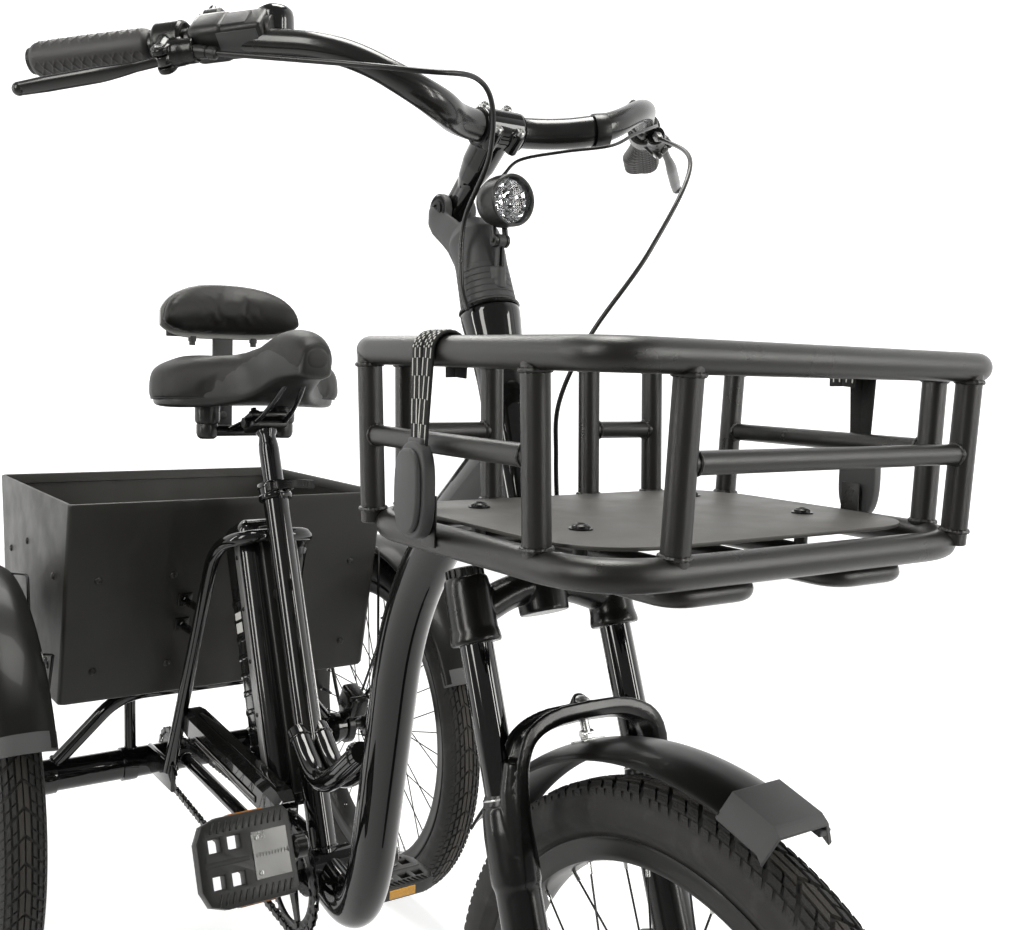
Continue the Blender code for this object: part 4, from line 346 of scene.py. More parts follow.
def pin(mesh, at, first, last, radius, sides=32, **edge):
    """A bar along X between two distances from a point."""
    rod(mesh, at + vec(first, 0, 0), at + vec(last, 0, 0), radius, sides, **edge)


# %% Blocks, plates and bends
def stored(mesh, name="carried"):
    """Closes an open mesh and gives its data."""
    data = bpy.data.meshes.new(name)
    mesh.to_mesh(data)
    mesh.free()
    return data


def settled(host):
    """The finished geometry of an object as an open mesh; the object goes."""
    bpy.context.view_layer.update()
    flat = bpy.data.meshes.new_from_object(host.evaluated_get(bpy.context.evaluated_depsgraph_get()))
    bpy.data.objects.remove(host)
    result = new()
    result.from_mesh(flat)
    bpy.data.meshes.remove(flat)
    return result


def graft(mesh, other, place=None):
    """Adds one open mesh to another and frees it."""
    if place is not None:
        other.transform(place)
    carried = stored(other)
    mesh.from_mesh(carried)
    bpy.data.meshes.remove(carried)


def block(mesh, size, at=(0, 0, 0), turn=(0, 0, 0), bevel=0.002, segments=3, taper=1.0):
    """A box with rounded edges, turned by three angles or a matrix, narrower at its far X end by a share."""
    cube = new()
    bmesh.ops.create_cube(cube, size=1)
    for corner in cube.verts:
        x, y, z = corner.co * Vector(size)
        grow = taper if x > 0 else 1
        corner.co = vec(x, y * grow, z * grow)
    bmesh.ops.bevel(cube, geom=cube.edges[:], offset=bevel, segments=segments, profile=0.5, affect="EDGES")
    turn = turn if isinstance(turn, Matrix) else Euler(turn).to_matrix().to_4x4()
    graft(mesh, cube, Matrix.Translation(Vector(at)) @ turn)


def punched(mesh, loops, thickness, place, bevel=0.0):
    """A flat plate from closed outlines in its own plane; the inner ones are holes."""
    curve = bpy.data.curves.new("outline", "CURVE")
    curve.dimensions = "2D"
    curve.fill_mode = "BOTH"
    curve.extrude = thickness / 2 - bevel
    curve.bevel_depth = bevel
    curve.bevel_resolution = 1
    for loop in loops:
        line = curve.splines.new("POLY")
        line.points.add(len(loop) - 1)
        for corner, (x, y) in zip(line.points, loop):
            corner.co = (x, y, 0, 1)
        line.use_cyclic_u = True
    cut = settled(placed("outline", curve))
    bmesh.ops.remove_doubles(cut, verts=cut.verts, dist=1e-6)
    graft(mesh, cut, place)


def circle(radius, count=32, at=(0, 0)):
    """A round outline for a punched plate."""
    return [(at[0] + radius * cos(turn), at[1] + radius * sin(turn)) for turn in around(count)]


def bend(points, radius, steps=8, closed=False):
    """Rounds the corners of a line of points, as a tube bender does."""
    points = [Vector(point) for point in points]
    line = []
    for i, point in enumerate(points):
        if not closed and i in (0, len(points) - 1):
            line.append(point)
            continue
        back = points[i - 1] - point
        on = points[(i + 1) % len(points)] - point
        start = point + back.normalized() * min(radius, back.length / 2)
        end = point + on.normalized() * min(radius, on.length / 2)
        for t in [step / steps for step in range(steps + 1)]:
            line.append(start * (1 - t) ** 2 + point * 2 * t * (1 - t) + end * t ** 2)
    return line


def spline(points, count):
    """Evenly numbered points of a smooth curve through the given ones."""
    points = [Vector(point) for point in points]
    padded = [points[0] * 2 - points[1]] + points + [points[-1] * 2 - points[-2]]
    spans = len(points) - 1
    line = []
    for index in range(count):
        place = index * spans / (count - 1)
        span = min(int(place), spans - 1)
        t = place - span
        a, b, c, d = padded[span:span + 4]
        line.append(((2 * b) + (c - a) * t + (2 * a - 5 * b + 4 * c - d) * t ** 2 + (3 * b - a - 3 * c + d)
            * t ** 3) / 2)
    return line


def mirrored(points):
    """A line on the left, run on from its mirror image on the right."""
    return [(-x, y, z) for x, y, z in points[::-1]] + list(points)


def limited(value):
    """A value kept between nought and one."""
    return max(0, min(1, value))


# %% Closing a piece
bodies = {empty: name for name, empty in frame["bodies"].items()}


def piece(name, mesh, material, stands_for, sharp=34):
    """Closes the open mesh as a smooth-shaded piece that stands for its solids and rides on their body."""
    bmesh.ops.remove_doubles(mesh, verts=mesh.verts, dist=1e-6)
    bmesh.ops.recalc_face_normals(mesh, faces=mesh.faces)
    limit = radians(sharp)
    for face in mesh.faces:
        face.smooth = True
    for edge in mesh.edges:
        edge.smooth = not (len(edge.link_faces) == 2 and edge.calc_face_angle(0) > limit)
    made = placed(name, stored(mesh, name))
    made.data.materials.append(material)
    solids = stands_for.split()
    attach(made, bodies[frame["nodes"][solids[0]].parent])
    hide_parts(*solids)
    return made


# %% [markdown]
# ## Repeats with Geometry Nodes
# Spokes, tread, teeth, bolts and links are one small shape many times over. Two node trees cover
# them: a turntable that sets copies round an axis, and a scatter that sets copies at given places
# with a given turn. Both end in real geometry with its material, and the result is kept as a plain
# mesh.

# %% A turntable and a scatter
def repeat_tree(name, on_points):
    """A tree that copies a unit round an axis, or on the points of its own mesh."""
    tree = bpy.data.node_groups.new(name, "GeometryNodeTree")
    for title, kind in (("Geometry", "Geometry"), ("Unit", "Object"), ("Count", "Int"), ("Finish", "Material")):
        tree.interface.new_socket(title, in_out="INPUT", socket_type="NodeSocket" + kind)
    tree.interface.new_socket("Geometry", in_out="OUTPUT", socket_type="NodeSocketGeometry")
    given = node(tree, "NodeGroupInput").outputs
    unit = node(tree, "GeometryNodeObjectInfo", {"Object": given["Unit"]}).outputs["Geometry"]
    if on_points:
        points = given["Geometry"]
        turn = node(tree, "GeometryNodeInputNamedAttribute", {"Name": "turn"}, data_type="FLOAT_VECTOR")
    else:
        points = node(tree, "GeometryNodeMeshLine", {"Count": given["Count"], "Offset": (0, 0, 0)})
        share = reckon(tree, "DIVIDE", node(tree, "GeometryNodeInputIndex"), given["Count"])
        turn = node(tree, "CombineXYZ", {"Z": reckon(tree, "MULTIPLY", share, TURN)})
    copies = node(tree, "GeometryNodeInstanceOnPoints", {"Points": points, "Instance": unit, "Rotation": turn})
    real = node(tree, "GeometryNodeRealizeInstances", {"Geometry": copies})
    coated = node(tree, "GeometryNodeSetMaterial", {"Geometry": real, "Material": given["Finish"]})
    node(tree, "NodeGroupOutput", {"Geometry": coated})
    return tree


TURNTABLE = repeat_tree("turntable", False)
SCATTER = repeat_tree("scatter", True)


def repeat(tree, base, unit, count, material):
    """Runs a repeat tree and returns its result as an open mesh."""
    host = placed("host", base)
    sample = placed("unit", stored(unit))
    run = host.modifiers.new("repeat", "NODES")
    run.node_group = tree
    keys = {item.name: item.identifier for item in tree.interface.items_tree if item.in_out == "INPUT"}
    for title, value in (("Unit", sample), ("Count", count), ("Finish", material)):
        run[keys[title]] = value
    result = settled(host)
    bpy.data.objects.remove(sample)
    for face in result.faces:
        face.material_index = 0
    return result


def facing(at, direction):
    """A place whose Z points in a direction."""
    return Matrix.Translation(Vector(at)) @ Vector(direction).to_track_quat("Z", "Y").to_matrix().to_4x4()


def turntable(mesh, unit, count, at, direction, material):
    """Copies of a unit, drawn about its own Z, set round an axis."""
    graft(mesh, repeat(TURNTABLE, bpy.data.meshes.new("axis"), unit, count, material), facing(at, direction))


def scatter(mesh, unit, places, material):
    """Copies of a unit at (point, turn) places; the turn is a direction for its Z, or three angles."""
    base = bpy.data.meshes.new("places")
    base.from_pydata([tuple(point) for point, turn in places], [], [])
    turns = base.attributes.new("turn", "FLOAT_VECTOR", "POINT")
    for slot, (point, turn) in zip(turns.data, places):
        slot.vector = turn if isinstance(turn, tuple) else turn.to_track_quat("Z", "Y").to_euler()
    graft(mesh, repeat(SCATTER, base, unit, len(places), material))


# %% [markdown]
# ## Tyres
# A balloon tyre is a thin carcass with tread blocks moulded on it. The carcass could be one lathe
# with a bump map for tread, but the deep grooves break its outline at the front of the picture.
# So the carcass is turned once, and one pitch of the tread is drawn as tapered blocks and set round
# it on the turntable. The blocks sweep forward towards the middle in a V.

# %% Carcass and tread pitch
TYRE_OUTER = 0.311
CARCASS = [(0.25, 0.015), (0.2495, 0.0186), (0.2635, 0.0188), (0.2655, 0.0204), (0.2662, 0.0216), (0.268, 0.0222),
    (0.2715, 0.0256), (0.276, 0.0287), (0.2768, 0.0294), (0.2785, 0.0296), (0.28, 0.0303), (0.2865, 0.0317),
    (0.2915, 0.0314), (0.296, 0.0302), (0.3, 0.0282), (0.303, 0.025), (0.3055, 0.02), (0.307, 0.012),
    (0.3076, 0.005)]


def both_ways(profile):
    """A profile on one side of the middle, run on over the other side and closed."""
    return profile + [(radius, -side) for radius, side in reversed(profile)] + profile[:1]


PITCHES = 54
SWEEP = 0.96


def tread_height(side):
    """Radius of the tread's outer skin at a distance from the middle."""
    share = min(1, abs(side) / 0.0325)
    return TYRE_OUTER - 0.015 * share ** 3.2


def tread_block(unit, inner, outer, start, end, depth=0.0042, steps=0):
    """One tapered block between two distances from the middle, with its start and end round the tyre."""
    for hand in (-1, 1):
        corners = []
        for level, draft in ((-depth, 0), (0, 0.0009)):
            for side, first, last in ((inner, start, end), (outer, start + steps, end + steps)):
                reach = side + (draft if side == inner else -draft)
                lead = -reach * SWEEP
                radius = tread_height(side) + level
                for along in (first + draft, last - draft):
                    angle = (along - lead) / TYRE_OUTER
                    corners.append(unit.verts.new((radius * cos(angle), radius * sin(angle), hand * reach)))
        low, high = corners[:4], corners[4:]
        unit.faces.new((high[0], high[1], high[3], high[2]))
        for a, b in ((0, 1), (1, 3), (3, 2), (2, 0)):
            unit.faces.new((low[a], low[b], high[b], high[a]))
        unit.faces.new((low[0], low[2], low[3], low[1]))


def tread_unit():
    """All blocks of one pitch."""
    unit = new()
    pitch = TURN * TYRE_OUTER / PITCHES
    tread_block(unit, 0.0002, 0.0074, 0, pitch - 0.004)
    tread_block(unit, 0.0088, 0.0152, 0, pitch * 0.5 - 0.0014)
    tread_block(unit, 0.0088, 0.0152, pitch * 0.5, pitch - 0.004)
    tread_block(unit, 0.0166, 0.0226, 0.0016, pitch * 0.5 - 0.0008, 0.004)
    tread_block(unit, 0.0166, 0.0226, pitch * 0.5 + 0.001, pitch - 0.0032, 0.004)
    for third in range(3):
        tread_block(unit, 0.0238, 0.0292, pitch * third / 3, pitch * (third + 1) / 3 - 0.0022, 0.0034, 0.0012)
    return unit


TRACK = 0.3425


def tyre_look(name, tread):
    """Dusty rubber: a worn brown middle, a fine knurl on the blocks and faint scuffs on the wall."""
    material = finish(name, (0.03, 0.0295, 0.029), 0.66, mottle=0.3, patch=70, grain=0.3, grit=1200)
    tree = material.node_tree
    shader = tree.nodes["Principled BSDF"]
    place = object_place(tree)
    plain = shader.inputs["Base Color"].links[0].from_socket
    if tread:
        near = reckon(tree, "ABSOLUTE", node(tree, "SeparateXYZ", {0: place}))
        off = reckon(tree, "ABSOLUTE", reckon(tree, "SUBTRACT", near, TRACK))
        worn = ramp(tree, reckon(tree, "MINIMUM", near, off), 0.0072, 0.0084, 0.3, 0)
        colour = blend(tree, worn, plain, (0.085, 0.072, 0.058, 1))
        relief = node(tree, "TexVoronoi", {"Vector": place, "Scale": 620}).outputs["Distance"]
    else:
        relief = node(tree, "TexNoise", {"Vector": place, "Scale": 34, "Detail": 9, "Roughness": 0.7})
        colour = blend(tree, ramp(tree, relief, 0.52, 0.74, 0, 0.55), plain, (0.075, 0.072, 0.068, 1))
    strength, depth = (0.55, 0.0008) if tread else (0.25, 0.0012)
    lift = node(tree, "Bump", {"Height": relief, "Strength": strength, "Distance": depth})
    feed(tree, shader, {"Base Color": colour, "Normal": lift})
    return material


WALL_RUBBER = tyre_look("tyre_wall", False)
BLOCK_RUBBER = tyre_look("tyre_tread", True)
HUBS = {"front": vec(0, -0.58, 0.311), "rear_left": vec(TRACK, 0.58, 0.311), "rear_right": vec(-TRACK, 0.58, 0.311)}
FRONT = HUBS["front"]
SIDES = ((-1, "right"), (1, "left"))
WHEELS = {"front": "front_wheel", "rear_left": "rear_wheel_left", "rear_right": "rear_wheel_right"}
for word, hub in HUBS.items():
    solid = WHEELS[word].replace("wheel", "tyre")
    carcass = new()
    lathe(carcass, both_ways(CARCASS), hub, (1, 0, 0), 144)
    piece(word + "_tyre_carcass", carcass, WALL_RUBBER, solid, sharp=50)
    tread = new()
    turntable(tread, tread_unit(), PITCHES, hub, (1, 0, 0), BLOCK_RUBBER)
    made = piece(word + "_tyre_tread", tread, BLOCK_RUBBER, solid)
    print(word, "tread faces:", len(made.data.polygons))

# %% [markdown]
# ## Rims, spokes and hubs
# The rim is one extruded hollow section, so it is turned. Thirty-six spokes leave the hub's two
# flanges and cross each other on the way to the rim. Four of them make one unit of the lacing, and
# nine units fill the wheel. Each ends in a bright nipple.

# %% Wheels
RIM_LOOP = [(0.2612, 0.0189), (0.2622, 0.0196), (0.2624, 0.0208), (0.2614, 0.0215), (0.259, 0.0215),
    (0.2575, 0.0209), (0.247, 0.0206), (0.244, 0.0203), (0.2412, 0.0188), (0.2397, 0.015), (0.239, 0.008),
    (0.2388, 0)]
RIM_FULL = RIM_LOOP + [(radius, -side) for radius, side in reversed(RIM_LOOP[:-1])]
RIM_FULL += [(0.256, -0.019), (0.2492, -0.0186), (0.248, -0.012), (0.245, -0.006), (0.245, 0.006), (0.248, 0.012),
    (0.2492, 0.0186), (0.256, 0.019), RIM_FULL[0]]
RIM_PAINT = finish("rim_finish", (0.011, 0.0107, 0.01), 0.34, coat=0.06, mottle=0.08, grain=0.02, grit=400)
SPOKE_BLACK = finish("spoke_black", (0.035, 0.035, 0.036), 0.25, metallic=0.8, grain=0.02, grit=400)
NIPPLE_SILVER = finish("nipple_silver", (0.66, 0.66, 0.65), 0.24, metallic=1, grain=0.05, grit=900)


def lacing_unit(flange_at, flange_radius, nipples):
    """Four spokes of the lacing, or their four nipples, about Z."""
    unit = new()
    for index in range(4):
        hand = 1 if index % 2 else -1
        sweep = 62 if index < 2 else -62
        rim_angle = radians(10 * index)
        hub_angle = rim_angle + radians(sweep)
        outward = 0.0022 if index < 2 else -0.001
        start = vec(flange_radius * cos(hub_angle), flange_radius * sin(hub_angle), hand * (flange_at + outward))
        end = vec(0.2408 * cos(rim_angle), 0.2408 * sin(rim_angle), hand * 0.0042)
        if nipples:
            along = (end - start).normalized()
            rod(unit, end - along * 0.0125, end, 0.0021, 10, round_off=0.0004)
        else:
            tube(unit, (start, end), 0.00105, 6)
            head = vec(start.x, start.y, hand * flange_at)
            rod(unit, head - vec(0, 0, hand * 0.0016), head + vec(0, 0, hand * 0.0036), 0.0019, 8, round_off=0.0005)
    return unit


def hub_shell(half, flange_at):
    """The hub's turned profile along its axle, with a thick flange each side."""
    loop = [(0.0066, half), (0.0105, half), (0.0118, half - 0.0012)]
    for radius, off in ((0.0118, 0.0052), (0.015, 0.003), (0.0284, 0.0014), (0.029, 0.0006), (0.029, -0.0008),
            (0.0282, -0.0016), (0.019, -0.0034), (0.016, -0.008)):
        loop.append((radius, flange_at + off))
    return both_ways(loop + [(0.015, 0)])


for word, hub in HUBS.items():
    front = word == "front"
    body = WHEELS[word]
    half, flange_at = (0.05, 0.03) if front else (0.037, 0.026)
    rim = new()
    lathe(rim, RIM_FULL, hub, (1, 0, 0), 160)
    piece(word + "_rim", rim, RIM_PAINT, body, sharp=28)
    shell = new()
    lathe(shell, hub_shell(half, flange_at), hub, (1, 0, 0), 72)
    if not front:
        side = 1 if hub.x > 0 else -1
        pin(shell, hub, -side * 0.137, -side * 0.03, 0.0085, 40)
        pin(shell, hub, side * 0.0366, side * 0.04, 0.0095, 6)
    piece(word + "_hub", shell, SATIN_PAINT, body, sharp=28)
    for nipples, name, coat in ((False, "_spokes", SPOKE_BLACK), (True, "_nipples", NIPPLE_SILVER)):
        lacing = new()
        turntable(lacing, lacing_unit(flange_at, 0.0262, nipples), 9, hub, (1, 0, 0), coat)
        piece(word + name, lacing, coat, body)
    valve = new()
    for start, end, radius, sides in ((0.2392, 0.204, 0.003, 16), (0.239, 0.236, 0.0048, 20),
            (0.206, 0.196, 0.0024, 12)):
        rod(valve, hub + vec(0, start, 0), hub + vec(0, end, 0), radius, sides)
    piece(word + "_valve", valve, HOSE_RUBBER, body)

# %% [markdown]
# ## Brake disc
# The disc is stamped from steel plate: an outer band with rows of holes and a spider of slim arms.
# A flat outline with inner loops is filled in one step, and its look comes from the real holes.

# %% Front brake disc
def disc_loops(outer, inner, carrier):
    """The outline, windows and holes of a brake disc."""
    loops = [circle(outer, 120)]
    for start in around(6):
        loops.append([polar(inner, start + 0.12 + 0.1 * step) for step in range(9)]
            + [polar(carrier, start + 0.4 - 0.0525 * step) for step in range(9)])
    for row, radius in enumerate((outer - 0.0042, outer - 0.0082, outer - 0.0122)):
        for index in range(36):
            loops.append(circle(0.0017, 10, polar(radius, TURN * (index + row * 0.33) / 36)))
    return loops + [circle(0.013, 48)]


disc = new()
punched(disc, disc_loops(0.08, 0.064, 0.027), 0.002, facing(FRONT + vec(0.042, 0, 0), (1, 0, 0)))
for angle in around(6):
    pin(disc, FRONT + vec(0.0435, *polar(0.0205, angle)), -0.0012, 0.0016, 0.0032, 12)
piece("front_disc_plate", disc, STEEL, "front_disc", sharp=30)

# %% [markdown]
# ## Telescopic fork
# The fork has polished inner legs, pressed into a crown, that slide in cast outer legs. The casting
# is one flowing form: two legs with wide shoulders and a channel-shaped arch between them. Lathes
# and a sweep alone would meet in hard creases, so the solids are melted together with a fine voxel
# remesh and relaxed a little, which gives the fillets of a casting.

# %% Fork helpers
def along_axis(height, side=0, forward=0):
    """A place by its height up the steering axis, its x and its forward offset."""
    axis_foot = vec(0, -0.539784, 0.29578)
    return axis_foot + AXIS_UP * height + AXIS_FORWARD * forward + vec(side, 0, 0)


AXIS_UP = vec(0, 0.353965, 0.935259)
AXIS_FORWARD = vec(0, -0.935259, 0.353965)
LEG_X = 0.084


def sweep(mesh, points, section, side_axis, scales=None):
    """A closed section (along the side axis, outward) carried along a line."""
    rings = []
    last = len(points) - 1
    side_axis = Vector(side_axis).normalized()
    for i, point in enumerate(points):
        along = (Vector(points[min(i + 1, last)]) - Vector(points[max(i - 1, 0)])).normalized()
        side = (side_axis - along * side_axis.dot(along)).normalized()
        out = along.cross(side)
        grow = scales[i] if scales else 1
        rings.append([mesh.verts.new(Vector(point) + side * a * grow + out * b * grow) for a, b in section])
    stitch(mesh, rings)


def melted(mesh, voxel, passes):
    """Joins closed solids into one skin and relaxes it, as a casting's fillets."""
    bmesh.ops.recalc_face_normals(mesh, faces=mesh.faces)
    host = placed("melt", stored(mesh))
    grid = host.modifiers.new("grid", "REMESH")
    grid.mode = "VOXEL"
    grid.voxel_size = voxel
    relax = host.modifiers.new("relax", "SMOOTH")
    relax.factor = 0.5
    relax.iterations = passes
    return settled(host)


def both_legs(mesh, profile, steps, height=0):
    """The same turned profile on both fork legs."""
    for side in (-1, 1):
        lathe(mesh, profile, along_axis(height, side * LEG_X), AXIS_UP, steps)


# %% Cast outer legs and arch
casting = new()
LEG_SHAPE = [(0, 0.006), (0.017, 0.008), (0.0206, 0.016), (0.0218, 0.03), (0.021, 0.08), (0.0206, 0.226),
    (0.021, 0.231), (0.0228, 0.236), (0.0232, 0.246), (0.0226, 0.28), (0.0208, 0.299), (0.0196, 0.3035),
    (0.017, 0.3045), (0.0168, 0.3), (0, 0.2995)]
ARCH_SECTION = [(-0.016, -0.006), (-0.016, 0.004), (-0.012, 0.0092), (0, 0.0118), (0.012, 0.0092), (0.016, 0.004),
    (0.016, -0.006), (0.0125, -0.0068), (0.0115, 0.001), (0, 0.0045), (-0.0115, 0.001), (-0.0125, -0.0068)]
ARCH_HALF = [(0.236, LEG_X, 0.002), (0.272, LEG_X, 0.006), (0.351, LEG_X, 0.03), (0.372, 0.052, 0.03)]
arch_route = [along_axis(up, -x, out) for up, x, out in ARCH_HALF] + [along_axis(0.375, 0, 0.03)]
arch_line = bend(arch_route + [along_axis(up, x, out) for up, x, out in reversed(ARCH_HALF)], 0.034, 9)
arch_scales = [1.0 + 0.32 * max(0, (abs(point.x) - 0.076) / 0.008) * limited((0.6 - point.z) / 0.06)
    for point in arch_line]
sweep(casting, arch_line, ARCH_SECTION, AXIS_FORWARD, arch_scales)
both_legs(casting, LEG_SHAPE, 40)
for side in (-1, 1):
    foot = FRONT + vec(side * 0.062, 0, 0)
    tube(casting, spline((along_axis(0.05, side * 0.083), along_axis(0.02, side * 0.078, 0.006),
        foot + vec(side * 0.008, 0.01, -0.006), foot), 9), [0.019] * 4 + [0.017] * 5, 20)
    pin(casting, foot, -side * 0.009, side * 0.01, 0.0175, 32)
    tube(casting, (along_axis(0.262, side * LEG_X, 0.01), along_axis(0.315, side * LEG_X, 0.019),
        along_axis(0.34, side * LEG_X * 0.985, 0.026)), [0.0165, 0.0125, 0.009], 20)
for height in (0.11, 0.15):
    rod(casting, along_axis(height, 0.078, -0.01), along_axis(height, 0.071, -0.036), 0.007, 16)
rod(casting, along_axis(0.376, 0, 0.024), along_axis(0.3835, 0, 0.033), 0.0085, 20)
cast_legs = melted(casting, 0.0015, 7)
piece("fork_casting", cast_legs, CAST_PAINT, "fork_lowers", sharp=60)

details = new()
pin(details, FRONT, -0.077, 0.077, 0.006, 24)
for side in (-1, 1):
    end = FRONT + vec(side * 0.0715, 0, 0)
    rod(details, end, end + vec(side * 0.0055, 0, 0), 0.0105, 6, round_off=0.001)
    pin(details, end, -side * 0.001, side * 0.001, 0.0125, 32)
piece("front_axle_nuts", details, DARK_STEEL, "fork_lowers")
wipers = new()
for height in (0.3052, 0.309):
    both_legs(wipers, [(0.016, height - 0.0011), (0.0183, height - 0.0008), (0.0187, height),
        (0.0183, height + 0.0008), (0.016, height + 0.0011), (0.016, height - 0.0011)], 56)
piece("fork_wiper_rings", wipers, STEEL, "fork_lowers")
seals = new()
both_legs(seals, [(0.0159, 0.299), (0.0186, 0.3005), (0.019, 0.304), (0.018, 0.3085), (0.0166, 0.3125),
    (0.0159, 0.313), (0.0159, 0.299)], 56)
piece("fork_seals", seals, HOSE_RUBBER, "fork_lowers")

# %% [markdown]
# ## Crown and inner legs
# The crown is forged too: two sleeves with a flared lower lip, joined by a shallow bridge under the
# head tube. Each sleeve is closed by a ribbed cap that turns to adjust the spring. The inner legs
# are hard-chromed. Their base colour is painted almost black, a painted reflection of the dark tyre,
# and the lamps give them long bright reflections.

# %% Crown, caps and inner legs
crown = new()
SLEEVE = [(0, 0.449), (0.0236, 0.449), (0.0246, 0.452), (0.024, 0.457), (0.0228, 0.462), (0.0222, 0.5),
    (0.0214, 0.508), (0.02, 0.512), (0, 0.512)]
both_legs(crown, SLEEVE, 40)
bridge = bend([along_axis(0.476, -LEG_X), along_axis(0.498, -0.03), along_axis(0.498, 0.03),
    along_axis(0.476, LEG_X)], 0.03, 8)
tube(crown, bridge, 0.0185, 28, flat=AXIS_UP, share=0.86)
rod(crown, along_axis(0.47), along_axis(0.528), 0.0245, 36, 0.0262)
piece("fork_crown_forging", melted(crown, 0.0014, 6), SATIN_PAINT, "fork_crown", sharp=60)

# The inner legs take the chrome whose almost black colour is a painted reflection.
legs = new()
both_legs(legs, [(0, 0.112), (0.015, 0.112), (0.0158, 0.113), (0.0158, 0.4485), (0, 0.4485)], 72)
piece("inner_legs", legs, CHROME, "stanchion_left stanchion_right")

caps = new()
for side in (-1, 1):
    base = along_axis(0.5105, side * LEG_X)
    lathe(caps, [(0, 0), (0.0168, 0), (0.0168, 0.009), (0.0158, 0.0102), (0.006, 0.0102), (0.005, 0.009),
        (0, 0.009)], base, AXIS_UP, 48)
    rib = new()
    block(rib, (0.003, 0.0032, 0.0088), (0.0172, 0, 0.005), bevel=0.0008, segments=2)
    turntable(caps, rib, 16, base, AXIS_UP, PLASTIC)
piece("crown_caps", caps, PLASTIC, "fork_crown")

# %% [markdown]
# ## Front mudguard
# The guard is a pressed strip: a crown across its width, and a rolled bead along each edge that
# stiffens it. A section with that bead is swept round the hub. The grey block on its nose is a
# separate faceted cap with a small lug, and a T-shaped screw holds the guard under the arch.

# %% Guard strips
def guard_strip(mesh, centre, radius, first, last, half, fall, sheet=0.0024, steps=48):
    """A crowned strip with rolled edges round a wheel, between two angles in degrees from straight up."""
    shares = [-1 + 2 * index / 20 for index in range(21)]
    outer = [(share * half, -fall * abs(share) ** 2.6) for share in shares]
    inner = [(a * (1 - sheet / half), b - sheet) for a, b in reversed(outer)]
    bead_right = [(half + 0.0006, -fall - 0.0016), (half - 0.0004, -fall - 0.0034)]
    bead_left = [(0.0004 - half, -fall - 0.0034), (-half - 0.0006, -fall - 0.0016)]
    rings = []
    for index in range(steps + 1):
        angle = radians(first) + (radians(last) - radians(first)) * index / steps
        out = vec(0, sin(angle), cos(angle))
        rings.append([mesh.verts.new(Vector(centre) + out * (radius + b) + vec(a, 0, 0)) for a,
            b in outer + bead_right + inner + bead_left])
    stitch(mesh, rings)


GUARD_PAINT = finish("guard_paint", (0.009, 0.009, 0.0085), 0.33, coat=0.05, grain=0.06, grit=900, mottle=0.18,
    shine=0.12)
guard = new()
guard_strip(guard, FRONT, 0.3455, -12.2, 55, 0.0362, 0.0115)
piece("front_guard_strip", guard, GUARD_PAINT, "front_mudguard", sharp=40)
hanger = new()
top = along_axis(0.372, 0, 0.03)
out = (top - FRONT).normalized()
root = FRONT + out * 0.344
block(hanger, (0.026, 0.02, 0.0022), root + out * 0.0012, (atan2(-out.y, out.z), 0, 0), 0.0006, 2)
rod(hanger, root, top - out * 0.004, 0.0042, 20)
rod(hanger, root + out * 0.002, root + out * 0.007, 0.0072, 6)
pin(hanger, root + out * 0.007, -0.007, 0.007, 0.004, 16)
piece("guard_hanger_screw", hanger, STEEL, "front_mudguard")
dome = new()
lathe(dome, [(0.0076, 0), (0.0076, 0.0006), (0.0064, 0.002), (0.0038, 0.0031), (0, 0.0034), (0, 0), (0.0076, 0)],
    along_axis(0.3815, 0, 0.0335), AXIS_UP * 0.8 + AXIS_FORWARD * 0.6, 32)
piece("arch_rivet", dome, STEEL, "fork_lowers")

cap = new()
middle = radians(-16.5)
cap_at = FRONT + vec(0, sin(middle), cos(middle)) * 0.342
facing_cap = Matrix.Translation(cap_at) @ Matrix.Rotation(-middle, 4, "X")
OUTER_CAP = [(-0.038, -0.0125, -0.013), (-0.0265, -0.0125, 0.0085), (0.0265, -0.0125, 0.0085),
    (0.038, -0.0125, -0.013)]
nose = [(-0.04, -0.027, -0.017), (-0.0275, -0.027, 0.004), (0.0275, -0.027, 0.004), (0.04, -0.027, -0.017)]
back = [(x, 0.0262, z - 0.0004) for x, y, z in OUTER_CAP]
front_ridge = [(x * 1.01, -0.019, z) for x, y, z in OUTER_CAP]
skin, under = ([[cap.verts.new(facing_cap @ vec(x * narrow, y, z - drop)) for x, y, z in row]
    for row in (back, front_ridge, nose)] for narrow, drop in ((1, 0), (0.93, 0.003)))
for one, two in ((0, 1), (1, 2)):
    for layer in (skin, under):
        for i in range(3):
            cap.faces.new((layer[one][i], layer[one][i + 1], layer[two][i + 1], layer[two][i]))
    for i in (0, 3):
        cap.faces.new((skin[one][i], skin[two][i], under[two][i], under[one][i]))
for row in (0, 2):
    for i in range(3):
        cap.faces.new((skin[row][i], skin[row][i + 1], under[row][i + 1], under[row][i]))
bmesh.ops.recalc_face_normals(cap, faces=cap.faces)
bmesh.ops.bevel(cap, geom=[edge for edge in cap.edges if edge.calc_face_angle(0) > 0.2], offset=0.0007, segments=2,
    profile=0.5, affect="EDGES")
block(cap, (0.012, 0.01, 0.006), facing_cap @ vec(0.028, -0.0215, -0.006), (-middle, 0, 0), 0.001, 2)
piece("front_guard_cap", cap, GREY_PLASTIC, "front_mudguard_flap", sharp=20)

# %% [markdown]
# ## Front brake caliper
# The caliper straddles the disc. Its body is two halves bolted together, with a round piston
# housing on the outside, so the halves are rounded blocks and the rest is turned.

